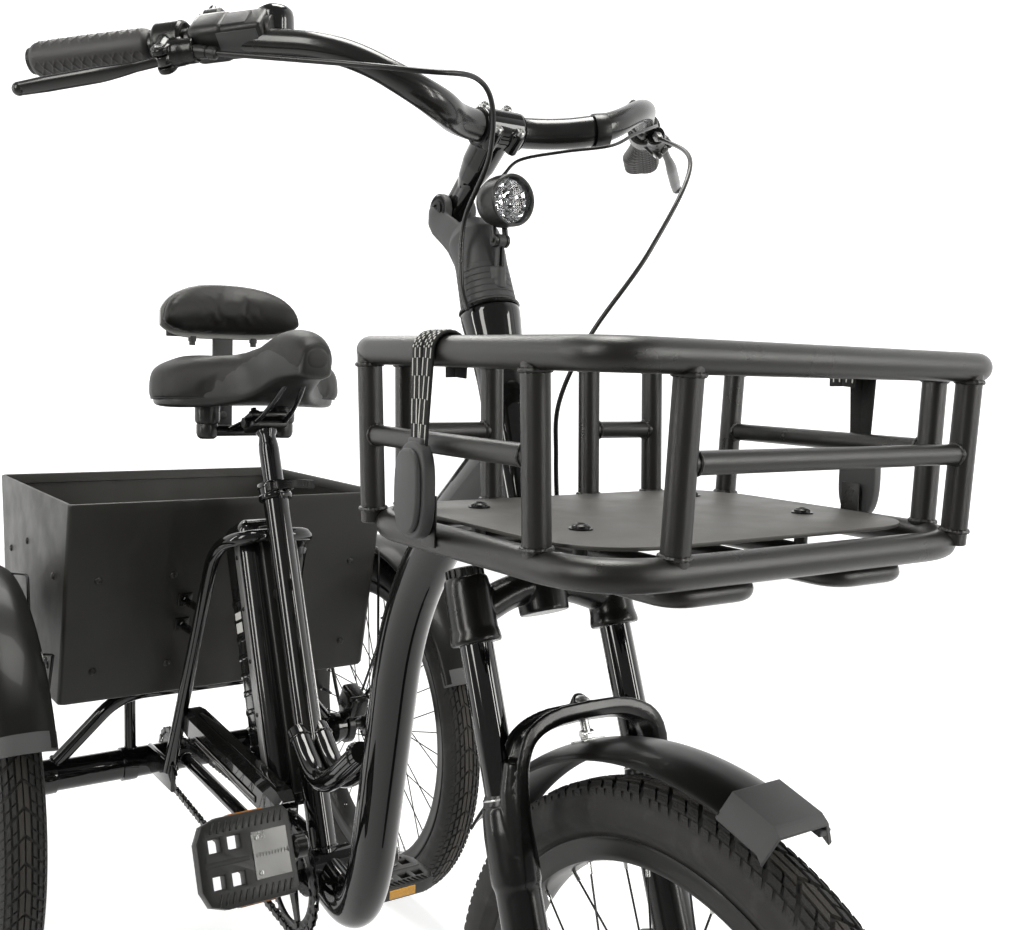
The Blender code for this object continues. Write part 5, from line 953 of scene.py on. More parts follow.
# %% Caliper
caliper = new()
at = FRONT + vec(0.046, 0.062, 0.048)
block(caliper, (0.0095, 0.034, 0.05), at + vec(0.0086, 0, 0), (0.35, 0, 0), 0.004, 4)
block(caliper, (0.01, 0.034, 0.05), at - vec(0.0124, 0, 0), (0.35, 0, 0), 0.004, 4)
block(caliper, (0.026, 0.01, 0.044), at + vec(0, 0.0125, 0.003), (0.35, 0, 0), 0.002, 3)
for z in (-0.011, 0.011):
    spot = at + vec(0.0125, 0.002, z)
    rod(caliper, spot, spot + vec(0.006, 0, 0), 0.0095, 32)
    pin(caliper, spot, 0.005, 0.0075, 0.005, 6)
tube(caliper, spline((at + vec(0.006, -0.004, 0.004), at + vec(0.014, -0.03, 0.028),
    along_axis(0.135, 0.0775, -0.012)), 8), 0.0075, 20)
piece("front_caliper_body", caliper, BOLT_BLACK, "front_caliper")

# %% [markdown]
# ## Welded frame
# The main tube is one big aluminium tube, bent in an S from the head down to the crank and slightly
# flattened. The others are plain round tubes, coped and welded. Each weld is a ring of overlapping
# ripples, so a small helper lays a bead with a scalloped section where tubes meet.

# %% Weld beads and the main tube
def bead(mesh, at, direction, radius, size=0.0026, ripples=26, flat=None, share=1.0):
    """A rippled weld ring round a tube."""
    turn = Vector(direction).to_track_quat("Z", "Y").to_matrix()
    lift = turn @ vec(0, 0, 1)
    rings = []
    for angle in around(ripples * 4):
        swell = size * (1 + 0.16 * cos(ripples * angle))
        out = turn @ vec(*polar(1, angle), 0)
        out = squeezed(out, flat, share) if flat else out
        rings.append([mesh.verts.new(Vector(at) + out * (radius + swell * cos(side)) + lift * swell * sin(side))
            for side in around(8)])
    stitch(mesh, rings, closed=True)


def along_seat_tube(z, back=0, side=0):
    """A place on the seat tube's line at a height, with an offset behind it and to the side."""
    base = SEAT_BASE + SEAT_UP * ((z - SEAT_BASE.z) / SEAT_UP.z)
    return base + SEAT_BACK * back + vec(side, 0, 0)


SEAT_BASE = vec(0, 0.093, 0.294)
SEAT_UP = vec(0, 0.35685, 0.934162)
SEAT_BACK = vec(0, 0.934162, -0.35685)
SEAT_TILT = -atan(0.382)
BRACKET = vec(0, 0.093, 0.294)
AXLE = vec(0, 0.58, 0.311)
DOWN_ROUTE = ((0, -0.318, 0.905), (0, -0.165, 0.775), (0, -0.095, 0.665), (0, -0.055, 0.46), (0, -0.028, 0.325),
    (0, 0.01, 0.272), (0, 0.085, 0.286))
down_line = bend(DOWN_ROUTE, 0.075, 10)
down = new()
tube(down, down_line, 0.031, 56, flat=(1, 0, 0), share=0.87)
piece("main_tube", down, GLOSS_PAINT, "down_tube", sharp=50)

head = new()
HEAD_SHAPE = [(0.016, 0), (0.0286, 0), (0.029, 0.0012), (0.029, 0.0108), (0.0262, 0.0125), (0.026, 0.015),
    (0.026, 0.18), (0.0268, 0.2), (0.0288, 0.224), (0.0306, 0.24), (0.0314, 0.249), (0.0315, 0.2515),
    (0.0308, 0.2545), (0.029, 0.256), (0.016, 0.256), (0.016, 0)]
lathe(head, HEAD_SHAPE, along_axis(0.529), AXIS_UP, 96)
piece("head_tube_shell", head, GLOSS_PAINT, "head_tube", sharp=30)

seat_stack = new()
rod(seat_stack, BRACKET + SEAT_UP * 0.01, along_seat_tube(0.797), 0.018, 64)
pin(seat_stack, BRACKET, -0.034, 0.034, 0.028, 72)
piece("seat_tube_and_shell", seat_stack, GLOSS_PAINT, "seat_tube bottom_bracket")
cups = new()
for side in (-1, 1):
    face = BRACKET + vec(side * 0.034, 0, 0)
    rod(cups, face, face + vec(side * 0.0042, 0, 0), 0.0215, 56)
    notch = new()
    block(notch, (0.004, 0.0042, 0.004), (0.0214, 0, 0.002), bevel=0.0006, segments=2)
    turntable(cups, notch, 16, face, (side, 0, 0), DARK_STEEL)
piece("bracket_cups", cups, DARK_STEEL, "bottom_bracket")

braces = new()
for side in (-1, 1):
    line = spline([(side * 0.015, y, z) for y, z in ((0.158, 0.468), (0.078, 0.424), (-0.03, 0.494))], 28)
    tube(braces, line, 0.0145, 40)
piece("twin_braces", braces, GLOSS_PAINT, "frame_brace_left frame_brace_right", sharp=50)

HOOP = ((0.085, 0.478, 0.325), (0.068, 0.335, 0.7), (0.052, 0.272, 0.722))
hoop_line = bend(mirrored(HOOP[::-1]), 0.035, 8)
hoop = new()
tube(hoop, hoop_line, 0.01, 32)
piece("battery_hoop_tube", hoop, GLOSS_PAINT, "battery_hoop", sharp=50)

welds = new()
bead(welds, along_axis(0.648, 0, -0.0255), vec(0, -0.72, 0.62), 0.0275, 0.003, 34, (1, 0, 0), 0.9)
bead(welds, along_seat_tube(0.722), (0, 1, 0), 0.011, 0.002, 16)
for side in (-1, 1):
    bead(welds, vec(side * 0.015, 0.146, 0.46), (0, 0.8, 0.55), 0.0142, 0.0022, 20)
    bead(welds, vec(side * 0.015, -0.018, 0.488), (0, -0.85, 0.5), 0.0142, 0.0022, 20)
    bead(welds, vec(side * 0.03, 0.12, 0.2936), (0, 1, 0.03), 0.0098, 0.0019, 16)
bead(welds, BRACKET + SEAT_UP * 0.0285, SEAT_UP, 0.0178, 0.0024, 24)
piece("frame_welds", welds, GLOSS_PAINT, "down_tube seat_tube frame_brace_left frame_brace_right")
grommets = new()
for x, y, z in ((-0.0262, -0.178, 0.786), (-0.0262, -0.196, 0.802)):
    lathe(grommets, [(0.003, 0), (0.0062, 0), (0.0066, 0.001), (0.0058, 0.0022), (0.0036, 0.0026), (0.003, 0.002),
        (0.003, 0)], (x, y, z), (-1, -0.1, 0.05), 28)
piece("cable_grommets", grommets, HOSE_RUBBER, "down_tube")
print("frame tubes made")

# %% [markdown]
# ## Rear frame
# The axle runs in a welded housing with two drop plates, and a bent rack over it carries the box.
# The plates are cut from flat stock, so each is an outline with a hole pattern. The long chain stays
# are plain tubes.

# %% Axle housing, stays and rack
housing = new()
lathe(housing, [(0.009, -0.286), (0.0225, -0.286), (0.024, -0.2845), (0.024, 0.2845), (0.0225, 0.286),
    (0.009, 0.286), (0.009, -0.286)], AXLE, (1, 0, 0), 64)
for side in (-1, 1):
    for x in (0.245, 0.12):
        lathe(housing, [(0.0238, -0.012), (0.0268, -0.011), (0.0272, 0), (0.0268, 0.011), (0.0238, 0.012)],
            AXLE + vec(side * x, 0, 0), (1, 0, 0), 64)
    block(housing, (0.008, 0.12, 0.045), (side * 0.085, 0.516, 0.318), bevel=0.003, segments=3)
piece("axle_housing_tube", housing, GLOSS_PAINT, "axle_housing", sharp=30)

stays = new()
for side in (-1, 1):
    tube(stays, [(side * 0.03, 0.103, 0.29), (side * 0.03, 0.574, 0.311)], 0.01, 36)
    bead(stays, (side * 0.03, 0.5555, 0.3103), (0, 1, 0.04), 0.0099, 0.002, 16)
rod(stays, (-0.03, 0.203, 0.294), (0.03, 0.203, 0.294), 0.008, 28)
piece("chain_stays", stays, GLOSS_PAINT, "rear_stays")

rack = new()
LEVEL = 0.4387
tube(rack, bend([(-0.235, 0.58, 0.329), (-0.144, 0.54, LEVEL), (0.144, 0.54, LEVEL), (0.235, 0.58, 0.329)], 0.04,
    8), 0.011, 32)
tube(rack, bend([(-0.1152, 0.54, LEVEL), (-0.1152, 0.8, LEVEL), (0.1152, 0.8, LEVEL), (0.1152, 0.54, LEVEL)], 0.05,
    8), 0.011, 32)
for side in (-1, 1):
    rod(rack, (side * 0.1152, 0.584, LEVEL), (side * 0.1152, 0.58, 0.325), 0.009, 28)
    bead(rack, (side * 0.1152, 0.5805, 0.336), (0, 0, 1), 0.0088, 0.0019, 16)
    bead(rack, (side * 0.1152, 0.552, LEVEL), (0, 1, 0), 0.0108, 0.002, 18)
    bead(rack, (side * 0.231, 0.5784, 0.3345), (side * -0.62, -0.26, 0.75), 0.0108, 0.002, 18)
piece("cargo_rack_tubes", rack, GLOSS_PAINT, "cargo_rack")

# %% [markdown]
# ## Cargo box
# The box is folded from 3 mm sheet. Its rim is turned over for safety, its corners are folded with
# a small radius and riveted, and the outside carries a few round rivet heads. A sheet box is
# modelled as a closed shell: outer walls, inner walls and a rolled rim between them.

# %% Folded box
TOP_Z, LOW_Z = 0.7605, 0.45
HALF_W = 0.253


def box_share(z):
    """How far up the box a height is."""
    return (z - LOW_Z) / (TOP_Z - LOW_Z)


def front_wall(z):
    """The front wall's place, which leans forwards to the top."""
    return 0.48 - 0.067 * box_share(z)


def rear_wall(z):
    """The rear wall's place, which leans back to the top."""
    return 0.825 + 0.046 * box_share(z)


def box_ring(z, inset, radius=0.007, steps=5):
    """The box's outline at a height, with rounded upright corners."""
    front, rear = front_wall(z) + inset, rear_wall(z) - inset
    half = HALF_W - inset
    points = []
    for x, y, start in ((half, front, -90), (half, rear, 0), (-half, rear, 90), (-half, front, 180)):
        for step in range(steps + 1):
            angle = radians(start + 90 * step / steps)
            cx = x - copysign(radius, x)
            cy = y - radius if y == rear else y + radius
            points.append((cx + radius * cos(angle), cy + radius * sin(angle), z))
    return points


box = new()
RIM = [(TOP_Z - 0.018, 0), (TOP_Z - 0.003, 0), (TOP_Z - 0.0009, 0.0008), (TOP_Z, 0.003), (TOP_Z - 0.0008, 0.0052),
    (TOP_Z - 0.003, 0.006), (TOP_Z - 0.016, 0.006), (TOP_Z - 0.017, 0.0032)]
WALL = [(LOW_Z + 0.0002, 0.0062, 0.008), (LOW_Z + 0.002, 0.0022, 0.008), (LOW_Z + 0.007, 0.0002, 0.007)]
outside = [box_ring(z, inset, radius) for z, inset, radius in WALL] + [box_ring(z, inset) for z, inset in RIM]
inside = [box_ring(LOW_Z + 0.009, 0.0032, 0.005), box_ring(LOW_Z + 0.0045, 0.006, 0.005),
    box_ring(LOW_Z + 0.0032, 0.011, 0.006)]
stitch(box, [[box.verts.new(point) for point in ring] for ring in outside + inside])
piece("cargo_box_sheet", box, BOX_PAINT, "cargo_box", sharp=24)

rivets = new()
head = new()
lathe(head, [(0, -0.001), (0.0058, -0.001), (0.0058, 0.0002), (0.005, 0.0016), (0.003, 0.0026), (0, 0.003)],
    (0, 0, 0), (0, 0, 1), 20)
front_face = vec(0, -1, -0.2157).normalized()
rear_face = vec(0, 1, -0.148).normalized()
spots = [(vec(x, front_wall(z), z), front_face) for x in (-0.205, -0.093, 0.093, 0.205) for z in (0.5, 0.643)]
spots += [(vec(side * HALF_W, y, z), vec(side, 0, 0)) for side in (-1, 1) for y,
    z in ((0.672, 0.672), (0.504, 0.643), (0.79, 0.643), (0.54, 0.5), (0.78, 0.5))]
spots += [(vec(x, rear_wall(z), z), rear_face) for x in (-0.205, -0.07, 0.07, 0.205) for z in (0.5, 0.69)]
scatter(rivets, head, spots, BOX_PAINT)
piece("box_rivets", rivets, BOX_PAINT, "cargo_box")

brackets = new()
for z in (0.56, 0.6):
    share = (z - 0.325) / (0.7 - 0.325)
    tube_y = 0.478 + (0.335 - 0.478) * share
    tube_x = 0.085 + (0.068 - 0.085) * share
    wall_y = front_wall(z)
    for side in (-1, 1):
        block(brackets, (0.016, wall_y - tube_y - 0.006, 0.0035), (side * tube_x, (wall_y + tube_y + 0.006) / 2, z),
            bevel=0.0008, segments=2)
        block(brackets, (0.022, 0.0026, 0.02), (side * tube_x, wall_y - 0.0016, z + 0.002), (0.2, 0, 0), 0.0008, 2)
        rod(brackets, (side * tube_x, wall_y - 0.0025, z + 0.004), (side * tube_x, wall_y - 0.0075, z + 0.003),
            0.0045, 6)
piece("box_brackets", brackets, SATIN_PAINT, "battery_hoop cargo_box")

# %% [markdown]
# ## Battery
# The battery is a plastic case that slides down behind the seat tube. Two metal rails with small
# screws hold it at the sides, its rear half is ribbed over the cells, and a cap closes its foot.

# %% Battery case and rails
battery = new()
low = along_seat_tube(0.375, 0.078)
high = along_seat_tube(0.76, 0.078)
length = (high - low).length
middle = (low + high) / 2
tilt = (SEAT_TILT, 0, 0)


def on_battery(x, back, rise):
    """A place on the battery from its middle: to the side, behind and upwards."""
    return middle + vec(x, 0, 0) + SEAT_BACK * back + SEAT_UP * rise


block(battery, (0.086, 0.076, length - 0.03), on_battery(0, 0, 0.012), tilt, 0.016, 6)
block(battery, (0.08, 0.07, 0.06), on_battery(0, 0, length / 2 - 0.031), tilt, 0.014, 6)
block(battery, (0.082, 0.072, 0.034), on_battery(0, 0, 0.017 - length / 2), tilt, 0.01, 5)
for index in range(9):
    block(battery, (0.0875, 0.05, 0.0135), on_battery(0, 0.006, -0.12 + index * 0.026), tilt, 0.005, 3)
piece("battery_case", battery, GLOSS_PLASTIC, "battery", sharp=40)
rails = new()
screws = []
for side in (-1, 1):
    block(rails, (0.0022, 0.016, length * 0.86), on_battery(side * 0.0438, -0.018, 0), tilt, 0.0008, 2)
    block(rails, (0.003, 0.005, length * 0.86), on_battery(side * 0.0444, -0.0262, 0), tilt, 0.001, 2)
    for rise in (-0.15, -0.075, 0, 0.075, 0.15):
        screws.append((on_battery(side * 0.0448, -0.018, rise), vec(side, 0, 0)))
piece("battery_rails", rails, SILVER_PAINT, "battery", sharp=40)
screw = new()
lathe(screw, [(0, -0.0006), (0.0034, -0.0006), (0.0034, 0.0006), (0.0026, 0.0016), (0.0012, 0.0018),
    (0.001, 0.0008), (0, 0.0008)], steps=14)
heads = new()
scatter(heads, screw, screws, BOLT_BLACK)
piece("battery_screws", heads, BOLT_BLACK, "battery")
mounts = new()
for z in (0.415, 0.65):
    rod(mounts, along_seat_tube(z, 0.016), along_seat_tube(z, 0.046), 0.01, 32)
block(mounts, (0.034, 0.01, length * 0.92), on_battery(0, -0.0415, 0), tilt, 0.003, 3)
piece("battery_mounts", mounts, PLASTIC, "battery")
label = new()
block(label, (0.0006, 0.022, 0.03), on_battery(-0.0433, 0.01, 0.06), tilt, 0.0002, 1)
piece("battery_blank_label", label, finish("label_white", (0.6, 0.6, 0.58), 0.5), "battery")
print("rear frame, box and battery made")

# %% [markdown]
# ## Adjustable stem
# The stem has a wide base on the steerer, with two cheeks that hold a tilting arm. A toothed washer
# locks the tilt, and grooved spacers sit below the base. The castings are melted together, and the
# turned parts stay crisp.

# %% Spacers, base and cheeks
PIVOT = vec(0, -0.185, 1.14)
CLAMP = vec(0, -0.266, 1.215)
ARM_WAY = (CLAMP - PIVOT).normalized()
ARM_UP = vec(0, ARM_WAY.z, -ARM_WAY.y)
spacers = new()
stack = [(0.0152, 0)]
for index in range(7):
    start = 0.0002 + index * 0.0066
    stack += [(0.0288 - index * 0.0003, start), (0.0294 - index * 0.0003, start + 0.0008),
        (0.0294 - index * 0.0003, start + 0.0054), (0.0286 - index * 0.0003, start + 0.0062)]
stack += [(0.0152, 0.0464), (0.0152, 0)]
lathe(spacers, stack, along_axis(0.785), AXIS_UP, 72)
piece("stem_spacers", spacers, GREY_PLASTIC, "stem_base", sharp=24)
lip = new()
lathe(lip, [(0.015, 0), (0.0312, 0), (0.0322, 0.0014), (0.0318, 0.0034), (0.0296, 0.0046), (0.015, 0.0046),
    (0.015, 0)], along_axis(0.7852), AXIS_UP, 72)
piece("headset_lip", lip, SATIN_PAINT, "stem_base", sharp=30)

base = new()
tube(base, (along_axis(0.829), along_axis(0.845), along_axis(0.866, 0, -0.004), along_axis(0.878, 0, -0.01)),
    [0.0272, 0.0276, 0.0282, 0.023], 48)
for side in (-1, 1):
    line = spline((along_axis(0.832, side * 0.0165, 0.002), along_axis(0.868, side * 0.018, -0.01),
        PIVOT + vec(side * 0.0175, 0.002, -0.012), PIVOT + vec(side * 0.017, 0, 0)), 12)
    tube(base, line, [0.019] * 4 + [0.018, 0.017] + [0.016] * 6, 32, flat=(1, 0, 0), share=0.42)
    pin(base, PIVOT, side * 0.0106, side * 0.0196, 0.0172, 40)
tube(base, spline((along_axis(0.824, 0, 0.02), vec(0, -0.276, 1.056), vec(0, -0.277, 1.076)), 8),
    [0.011] * 3 + [0.009] * 2 + [0.007] * 3, 24)
base_cast = melted(base, 0.0012, 5)
piece("stem_base_casting", base_cast, GREY_PLASTIC, "stem_base", sharp=60)
fork_lug = new()
for side in (-1, 1):
    tube(fork_lug, spline((vec(side * 0.004, -0.277, 1.062), vec(side * 0.003, -0.277, 1.085),
        vec(side * 0.0026, -0.277, 1.102)), 8), 0.0036, 16, flat=(1, 0, 0), share=0.5)
rod(fork_lug, vec(-0.0046, -0.277, 1.102), vec(0.0046, -0.277, 1.102), 0.0068, 28)
piece("light_bracket_lug", fork_lug, GREY_PLASTIC, "stem_base")

pivot_bolt = new()
for side in (-1, 1):
    face = PIVOT + vec(side * 0.0192, 0, 0)
    lathe(pivot_bolt, [(0, 0), (0.015, 0), (0.0152, 0.0006), (0.0146, 0.0012), (0.01, 0.0014), (0.0096, 0.003),
        (0.0052, 0.0034), (0.0048, 0.0016), (0, 0.0016)], face, (side, 0, 0), 56)
    tooth = new()
    block(tooth, (0.003, 0.0014, 0.001), (0.013, 0, 0.0014), bevel=0.0003, segments=1)
    turntable(pivot_bolt, tooth, 40, face, (side, 0, 0), BOLT_BLACK)
piece("stem_pivot_bolt", pivot_bolt, BOLT_BLACK, "stem_base", sharp=24)

# %% Tilting arm and bar clamp
arm = new()
pin(arm, PIVOT, -0.009, 0.009, 0.0158, 40)
tube(arm, (PIVOT, PIVOT.lerp(CLAMP, 0.3), PIVOT.lerp(CLAMP, 0.42), PIVOT.lerp(CLAMP, 0.6), PIVOT.lerp(CLAMP, 0.92)),
    [0.0088, 0.009, 0.014, 0.0178, 0.0188], 36)
for rise in (-0.0062, 0.0062):
    tube(arm, (PIVOT + ARM_UP * rise, PIVOT.lerp(CLAMP, 0.4) + ARM_UP * rise), 0.0088, 24)
pin(arm, CLAMP, -0.0232, 0.0232, 0.02, 56)
bolt_spots = [CLAMP + ARM_UP * rise + vec(x, 0, 0) for rise in (-0.0185, 0.0185) for x in (-0.0138, 0.0138)]
for spot in bolt_spots:
    rod(arm, spot - ARM_WAY * 0.012, spot + ARM_WAY * 0.011, 0.0066, 24)
piece("stem_arm_casting", melted(arm, 0.0011, 4), GLOSS_PAINT, "stem_arm", sharp=60)
bolts = new()
bolt = new()
lathe(bolt, [(0, -0.002), (0.0047, -0.002), (0.0047, 0.0036), (0.004, 0.0044), (0.0027, 0.0044), (0.0025, 0.0018),
    (0, 0.0018)], steps=24)
scatter(bolts, bolt, [(spot + ARM_WAY * 0.0116, ARM_WAY) for spot in bolt_spots], STEEL)
piece("clamp_bolts", bolts, STEEL, "stem_arm")
seam = new()
for x in (-0.0238, 0.0238):
    lathe(seam, [(0.0168, -0.0006), (0.0192, -0.0006), (0.0196, 0), (0.0192, 0.0006), (0.0168, 0.0006),
        (0.0168, -0.0006)], CLAMP + vec(x, 0, 0), (1, 0, 0), 56)
piece("clamp_edges", seam, BOLT_BLACK, "stem_arm")

# %% [markdown]
# ## Handlebar and grips
# The bar is one tube, thick at the clamp and drawn thinner towards the hands. Its bends are rounded
# as a bender makes them. The grips are moulded rubber with a palm wing and a raised lattice, which
# is worked into the surface, because it shows against the white behind it.

# %% Bar
BAR_HALF = ((0.046, -0.266, 1.215), (0.1, -0.315, 1.22), (0.185, -0.282, 1.262), (0.272, -0.18, 1.274),
    (0.4, -0.045, 1.258))
bar_line = bend(mirrored(BAR_HALF), 0.045, 10)
bar_radii = [0.0127 + 0.003 * limited((0.15 - abs(point.x)) / 0.06) for point in bar_line]
bar = new()
tube(bar, bar_line, bar_radii, 56)
BAR_PAINT = finish("bar_paint", (0.008, 0.008, 0.0076), 0.25, coat=0.25, grain=0.06, grit=1400, shine=0.45)
piece("swept_bar", bar, BAR_PAINT, "handlebar", sharp=50)


def grip_place(side):
    """The grip's inner end with its outward, forward and upward directions."""
    inner = vec(side * 0.31088, -0.13899, 1.26914)
    outward = vec(side * 0.68551, 0.723, -0.08569).normalized()
    front = vec(side * 0.72567, -0.68804, 0).normalized()
    rise = front.cross(outward) * side
    return inner, outward, front, rise if rise.z > 0 else -rise


def grip_surface(mesh, side, count=150, sides=120):
    """A moulded grip: a palm wing behind and a raised lattice on top and bottom."""
    inner, outward, front, rise = grip_place(side)
    length = 0.126
    rings = []
    for share in [i / count for i in range(count + 1)]:
        place = share * length
        edge = min(place, length - place)
        cap = 1 - 0.22 * max(0, 1 - edge / 0.006) ** 2
        wing = 0.015 * limited((share - 0.12) / 0.45) ** 1.4
        ring = []
        for angle in around(sides):
            toward = max(0, cos(angle - radians(200)))
            radius = (0.0164 + 0.0006 * sin(pi * share) + wing * toward ** 6) * cap
            fade = limited((abs(sin(angle)) - 0.35) / 0.25) * limited((edge - 0.004) / 0.004)
            across = angle * 0.0168 / 0.0105
            for hand in (-1, 1):
                line = abs((across * 0.62 + hand * place / 0.0105) % 1 - 0.5) * 2
                radius += 0.0009 * fade * max(0, (line - 0.72) / 0.28)
            ring.append(mesh.verts.new(inner + outward * (place + 0.0006) + front * cos(angle) * radius + rise
                * sin(angle) * radius))
        rings.append(ring)
    stitch(mesh, rings)


for side, word in SIDES:
    grip = new()
    grip_surface(grip, side)
    piece("grip_" + word + "_rubber", grip, GRIP_RUBBER, "grip_" + word, sharp=50)
    inner, outward, front, rise = grip_place(side)
    plug = new()
    lathe(plug, [(0, 0.1258), (0.0118, 0.1258), (0.013, 0.1266), (0.013, 0.1284), (0.011, 0.1292), (0, 0.1294)],
        inner, outward, 40)
    piece("bar_plug_" + word, plug, PLASTIC, "grip_" + word)

# %% [markdown]
# ## Levers, shifter and bell
# Each brake lever hangs in a clamped body. The blade is pressed flat where it meets the fingers and
# ends in a ball. On the right a long shifter case with a thumb paddle and a bell dome share the bar.
# The boxy cases are rounded blocks, and the levers are flattened tubes.

# %% Lever bodies and blades
def control_frame(side):
    """A frame at the clamp, turned down round the bar: X outward, Y towards the lever, Z its hinge."""
    inner, outward, level, up = grip_place(side)
    drop = radians(42)
    front = level * cos(drop) - up * sin(drop)
    rise = up * cos(drop) + level * sin(drop)
    turn = Matrix((outward, front, rise)).transposed().to_4x4()
    hold = inner - outward * 0.02
    return hold, outward, front, rise, turn


for side, word in SIDES:
    hold, outward, front, rise, turn = control_frame(side)
    pivot = hold + front * 0.03
    shell = new()
    rod(shell, hold - outward * 0.0155, hold + outward * 0.0155, 0.0205, 48, round_off=0.003)
    tube(shell, spline((hold - outward * 0.03 + front * 0.02, hold - outward * 0.012 + front * 0.021,
        hold + outward * 0.004 + front * 0.022), 8), [0.0118] * 3 + [0.0126] * 3 + [0.0132] * 2, 32)
    for level in (-1, 1):
        rod(shell, pivot + rise * level * 0.006, pivot + rise * level * 0.0125, 0.009, 32)
        tube(shell, (hold + front * 0.014 + rise * level * 0.009, pivot + rise * level * 0.0092), 0.006, 16)
    piece("lever_body_" + word, melted(shell, 0.0012, 4), SATIN_PAINT, "control_" + word, sharp=60)
    trim = new()
    for level in (-1, 1):
        rod(trim, pivot + rise * level * 0.0122, pivot + rise * level * 0.014, 0.0048, 6)
    rod(trim, hold - front * 0.019 + rise * 0.003, hold - front * 0.025 + rise * 0.003, 0.0036, 16)
    piece("lever_screws_" + word, trim, STEEL, "control_" + word)
    blade = new()
    way = spline((pivot + front * 0.002, pivot + outward * 0.014 + front * 0.007,
        pivot + outward * 0.05 + front * 0.0154, pivot + outward * 0.105 + front * 0.022,
        pivot + outward * 0.14 + front * 0.026), 44)
    sizes = [0.005 + 0.0028 * limited((share - 0.35) / 0.2) - 0.001 * max(0, (share - 0.8) / 0.2)
        for share in [index / 43 for index in range(44)]]
    tube(blade, way, sizes, 32, flat=front, share=0.62)
    bmesh.ops.create_uvsphere(blade, u_segments=24, v_segments=16, radius=0.0066,
        matrix=Matrix.Translation(way[-1]))
    rod(blade, pivot - rise * 0.0048, pivot + rise * 0.0048, 0.0084, 36)
    piece("brake_blade_" + word, blade, BAR_PAINT, "brake_lever_" + word, sharp=50)

# %% Right shifter, thumb paddle and bell; left switch
hold, outward, front, rise, turn = control_frame(-1)
inner = hold + outward * 0.02
seat = inner - outward * 0.054
case = new()
block(case, (0.04, 0.038, 0.037), seat - outward * 0.008 - front * 0.001, turn, 0.008, 4)
block(case, (0.058, 0.036, 0.034), seat - outward * 0.035 - front * 0.0005, turn, 0.0045, 3, 0.94)
rod(case, seat - outward * 0.069, seat - outward * 0.06, 0.0142, 48)
rod(case, seat - front * 0.03 - outward * 0.009, seat - front * 0.03 + outward * 0.009, 0.0148, 40, round_off=0.002)
block(case, (0.018, 0.03, 0.022), seat - front * 0.016, turn, 0.004, 3)
piece("shifter_case", case, PLASTIC, "control_right", sharp=30)
cover = new()
block(cover, (0.04, 0.002, 0.025), seat - outward * 0.0385 + front * 0.0176, turn, 0.0008, 2)
block(cover, (0.03, 0.024, 0.002), seat - outward * 0.033 + rise * 0.0168, turn, 0.0008, 2)
piece("shifter_panel", cover, GREY_PLASTIC, "control_right", sharp=30)
hood = new()
lathe(hood, [(0, 0.031), (0.008, 0.0306), (0.0135, 0.029), (0.0168, 0.0255), (0.0178, 0.021), (0.0182, 0.015),
    (0.0184, 0.006), (0.0176, 0.0054), (0.008, 0.0056), (0.006, 0.002), (0, 0.002)],
    seat - outward * 0.078 + vec(0, 0.022, -0.004), (0, 0, 1), 64)
piece("bell_dome", hood, GLOSS_PLASTIC, "control_right", sharp=35)
paddle = new()
start = inner - outward * 0.0447 - front * 0.03
rod(paddle, start, start + outward * 0.005, 0.012, 40, round_off=0.0012)
middle = start + outward * 0.0026
tube(paddle, spline((middle - front * 0.004, middle - front * 0.016 + rise * 0.0015,
    middle - front * 0.032 + rise * 0.004), 10), [0.003, 0.0032, 0.0036, 0.004, 0.0044, 0.0048, 0.005, 0.005,
    0.0046, 0.0036], 24, flat=rise, share=0.6)
piece("thumb_paddle", paddle, GLOSS_PLASTIC, "thumb_lever")

start = inner - outward * 0.0516 + front * 0.0236
barrel = new()
lathe(barrel, [(0.0026, -0.004), (0.0062, -0.004), (0.0066, 0.002), (0.0058, 0.01), (0.005, 0.0104),
    (0.005, 0.0124), (0.006, 0.013), (0.006, 0.019), (0.0046, 0.0204), (0.0034, 0.021), (0.0026, 0.021),
    (0.0026, -0.004)], start, (vec(-0.15, -0.345, 1.235) - start), 32)
piece("barrel_adjuster", barrel, PLASTIC, "control_right control_cable", sharp=30)
hold, outward, front, rise, turn = control_frame(1)
switch = new()
seat = hold - outward * 0.03
block(switch, (0.02, 0.03, 0.03), seat - front * 0.002, turn, 0.005, 3)
block(switch, (0.014, 0.022, 0.016), seat - front * 0.02 + rise * 0.006, turn, 0.004, 3)
piece("left_switch", switch, PLASTIC, "control_left", sharp=30)
start = hold + outward * 0.02 - outward * 0.0516 + front * 0.0236
union = new()
lathe(union, [(0.0026, -0.006), (0.006, -0.006), (0.006, 0.004), (0.0044, 0.005), (0.0044, 0.011), (0.0034, 0.013),
    (0.0026, 0.013), (0.0026, -0.006)], start, vec(0.215, -0.325, 1.2) - start, 6)
piece("hose_union", union, SILVER_PAINT, "front_brake_hose")

# %% [markdown]
# ## Headlight and cables
# The lamp is a round shell with a faceted reflector behind clear glass, held between two ears on a
# bracket. The facets are a ring of small flat mirrors set round the bulb on the turntable. The
# cables are smooth curves through the points where they are held.

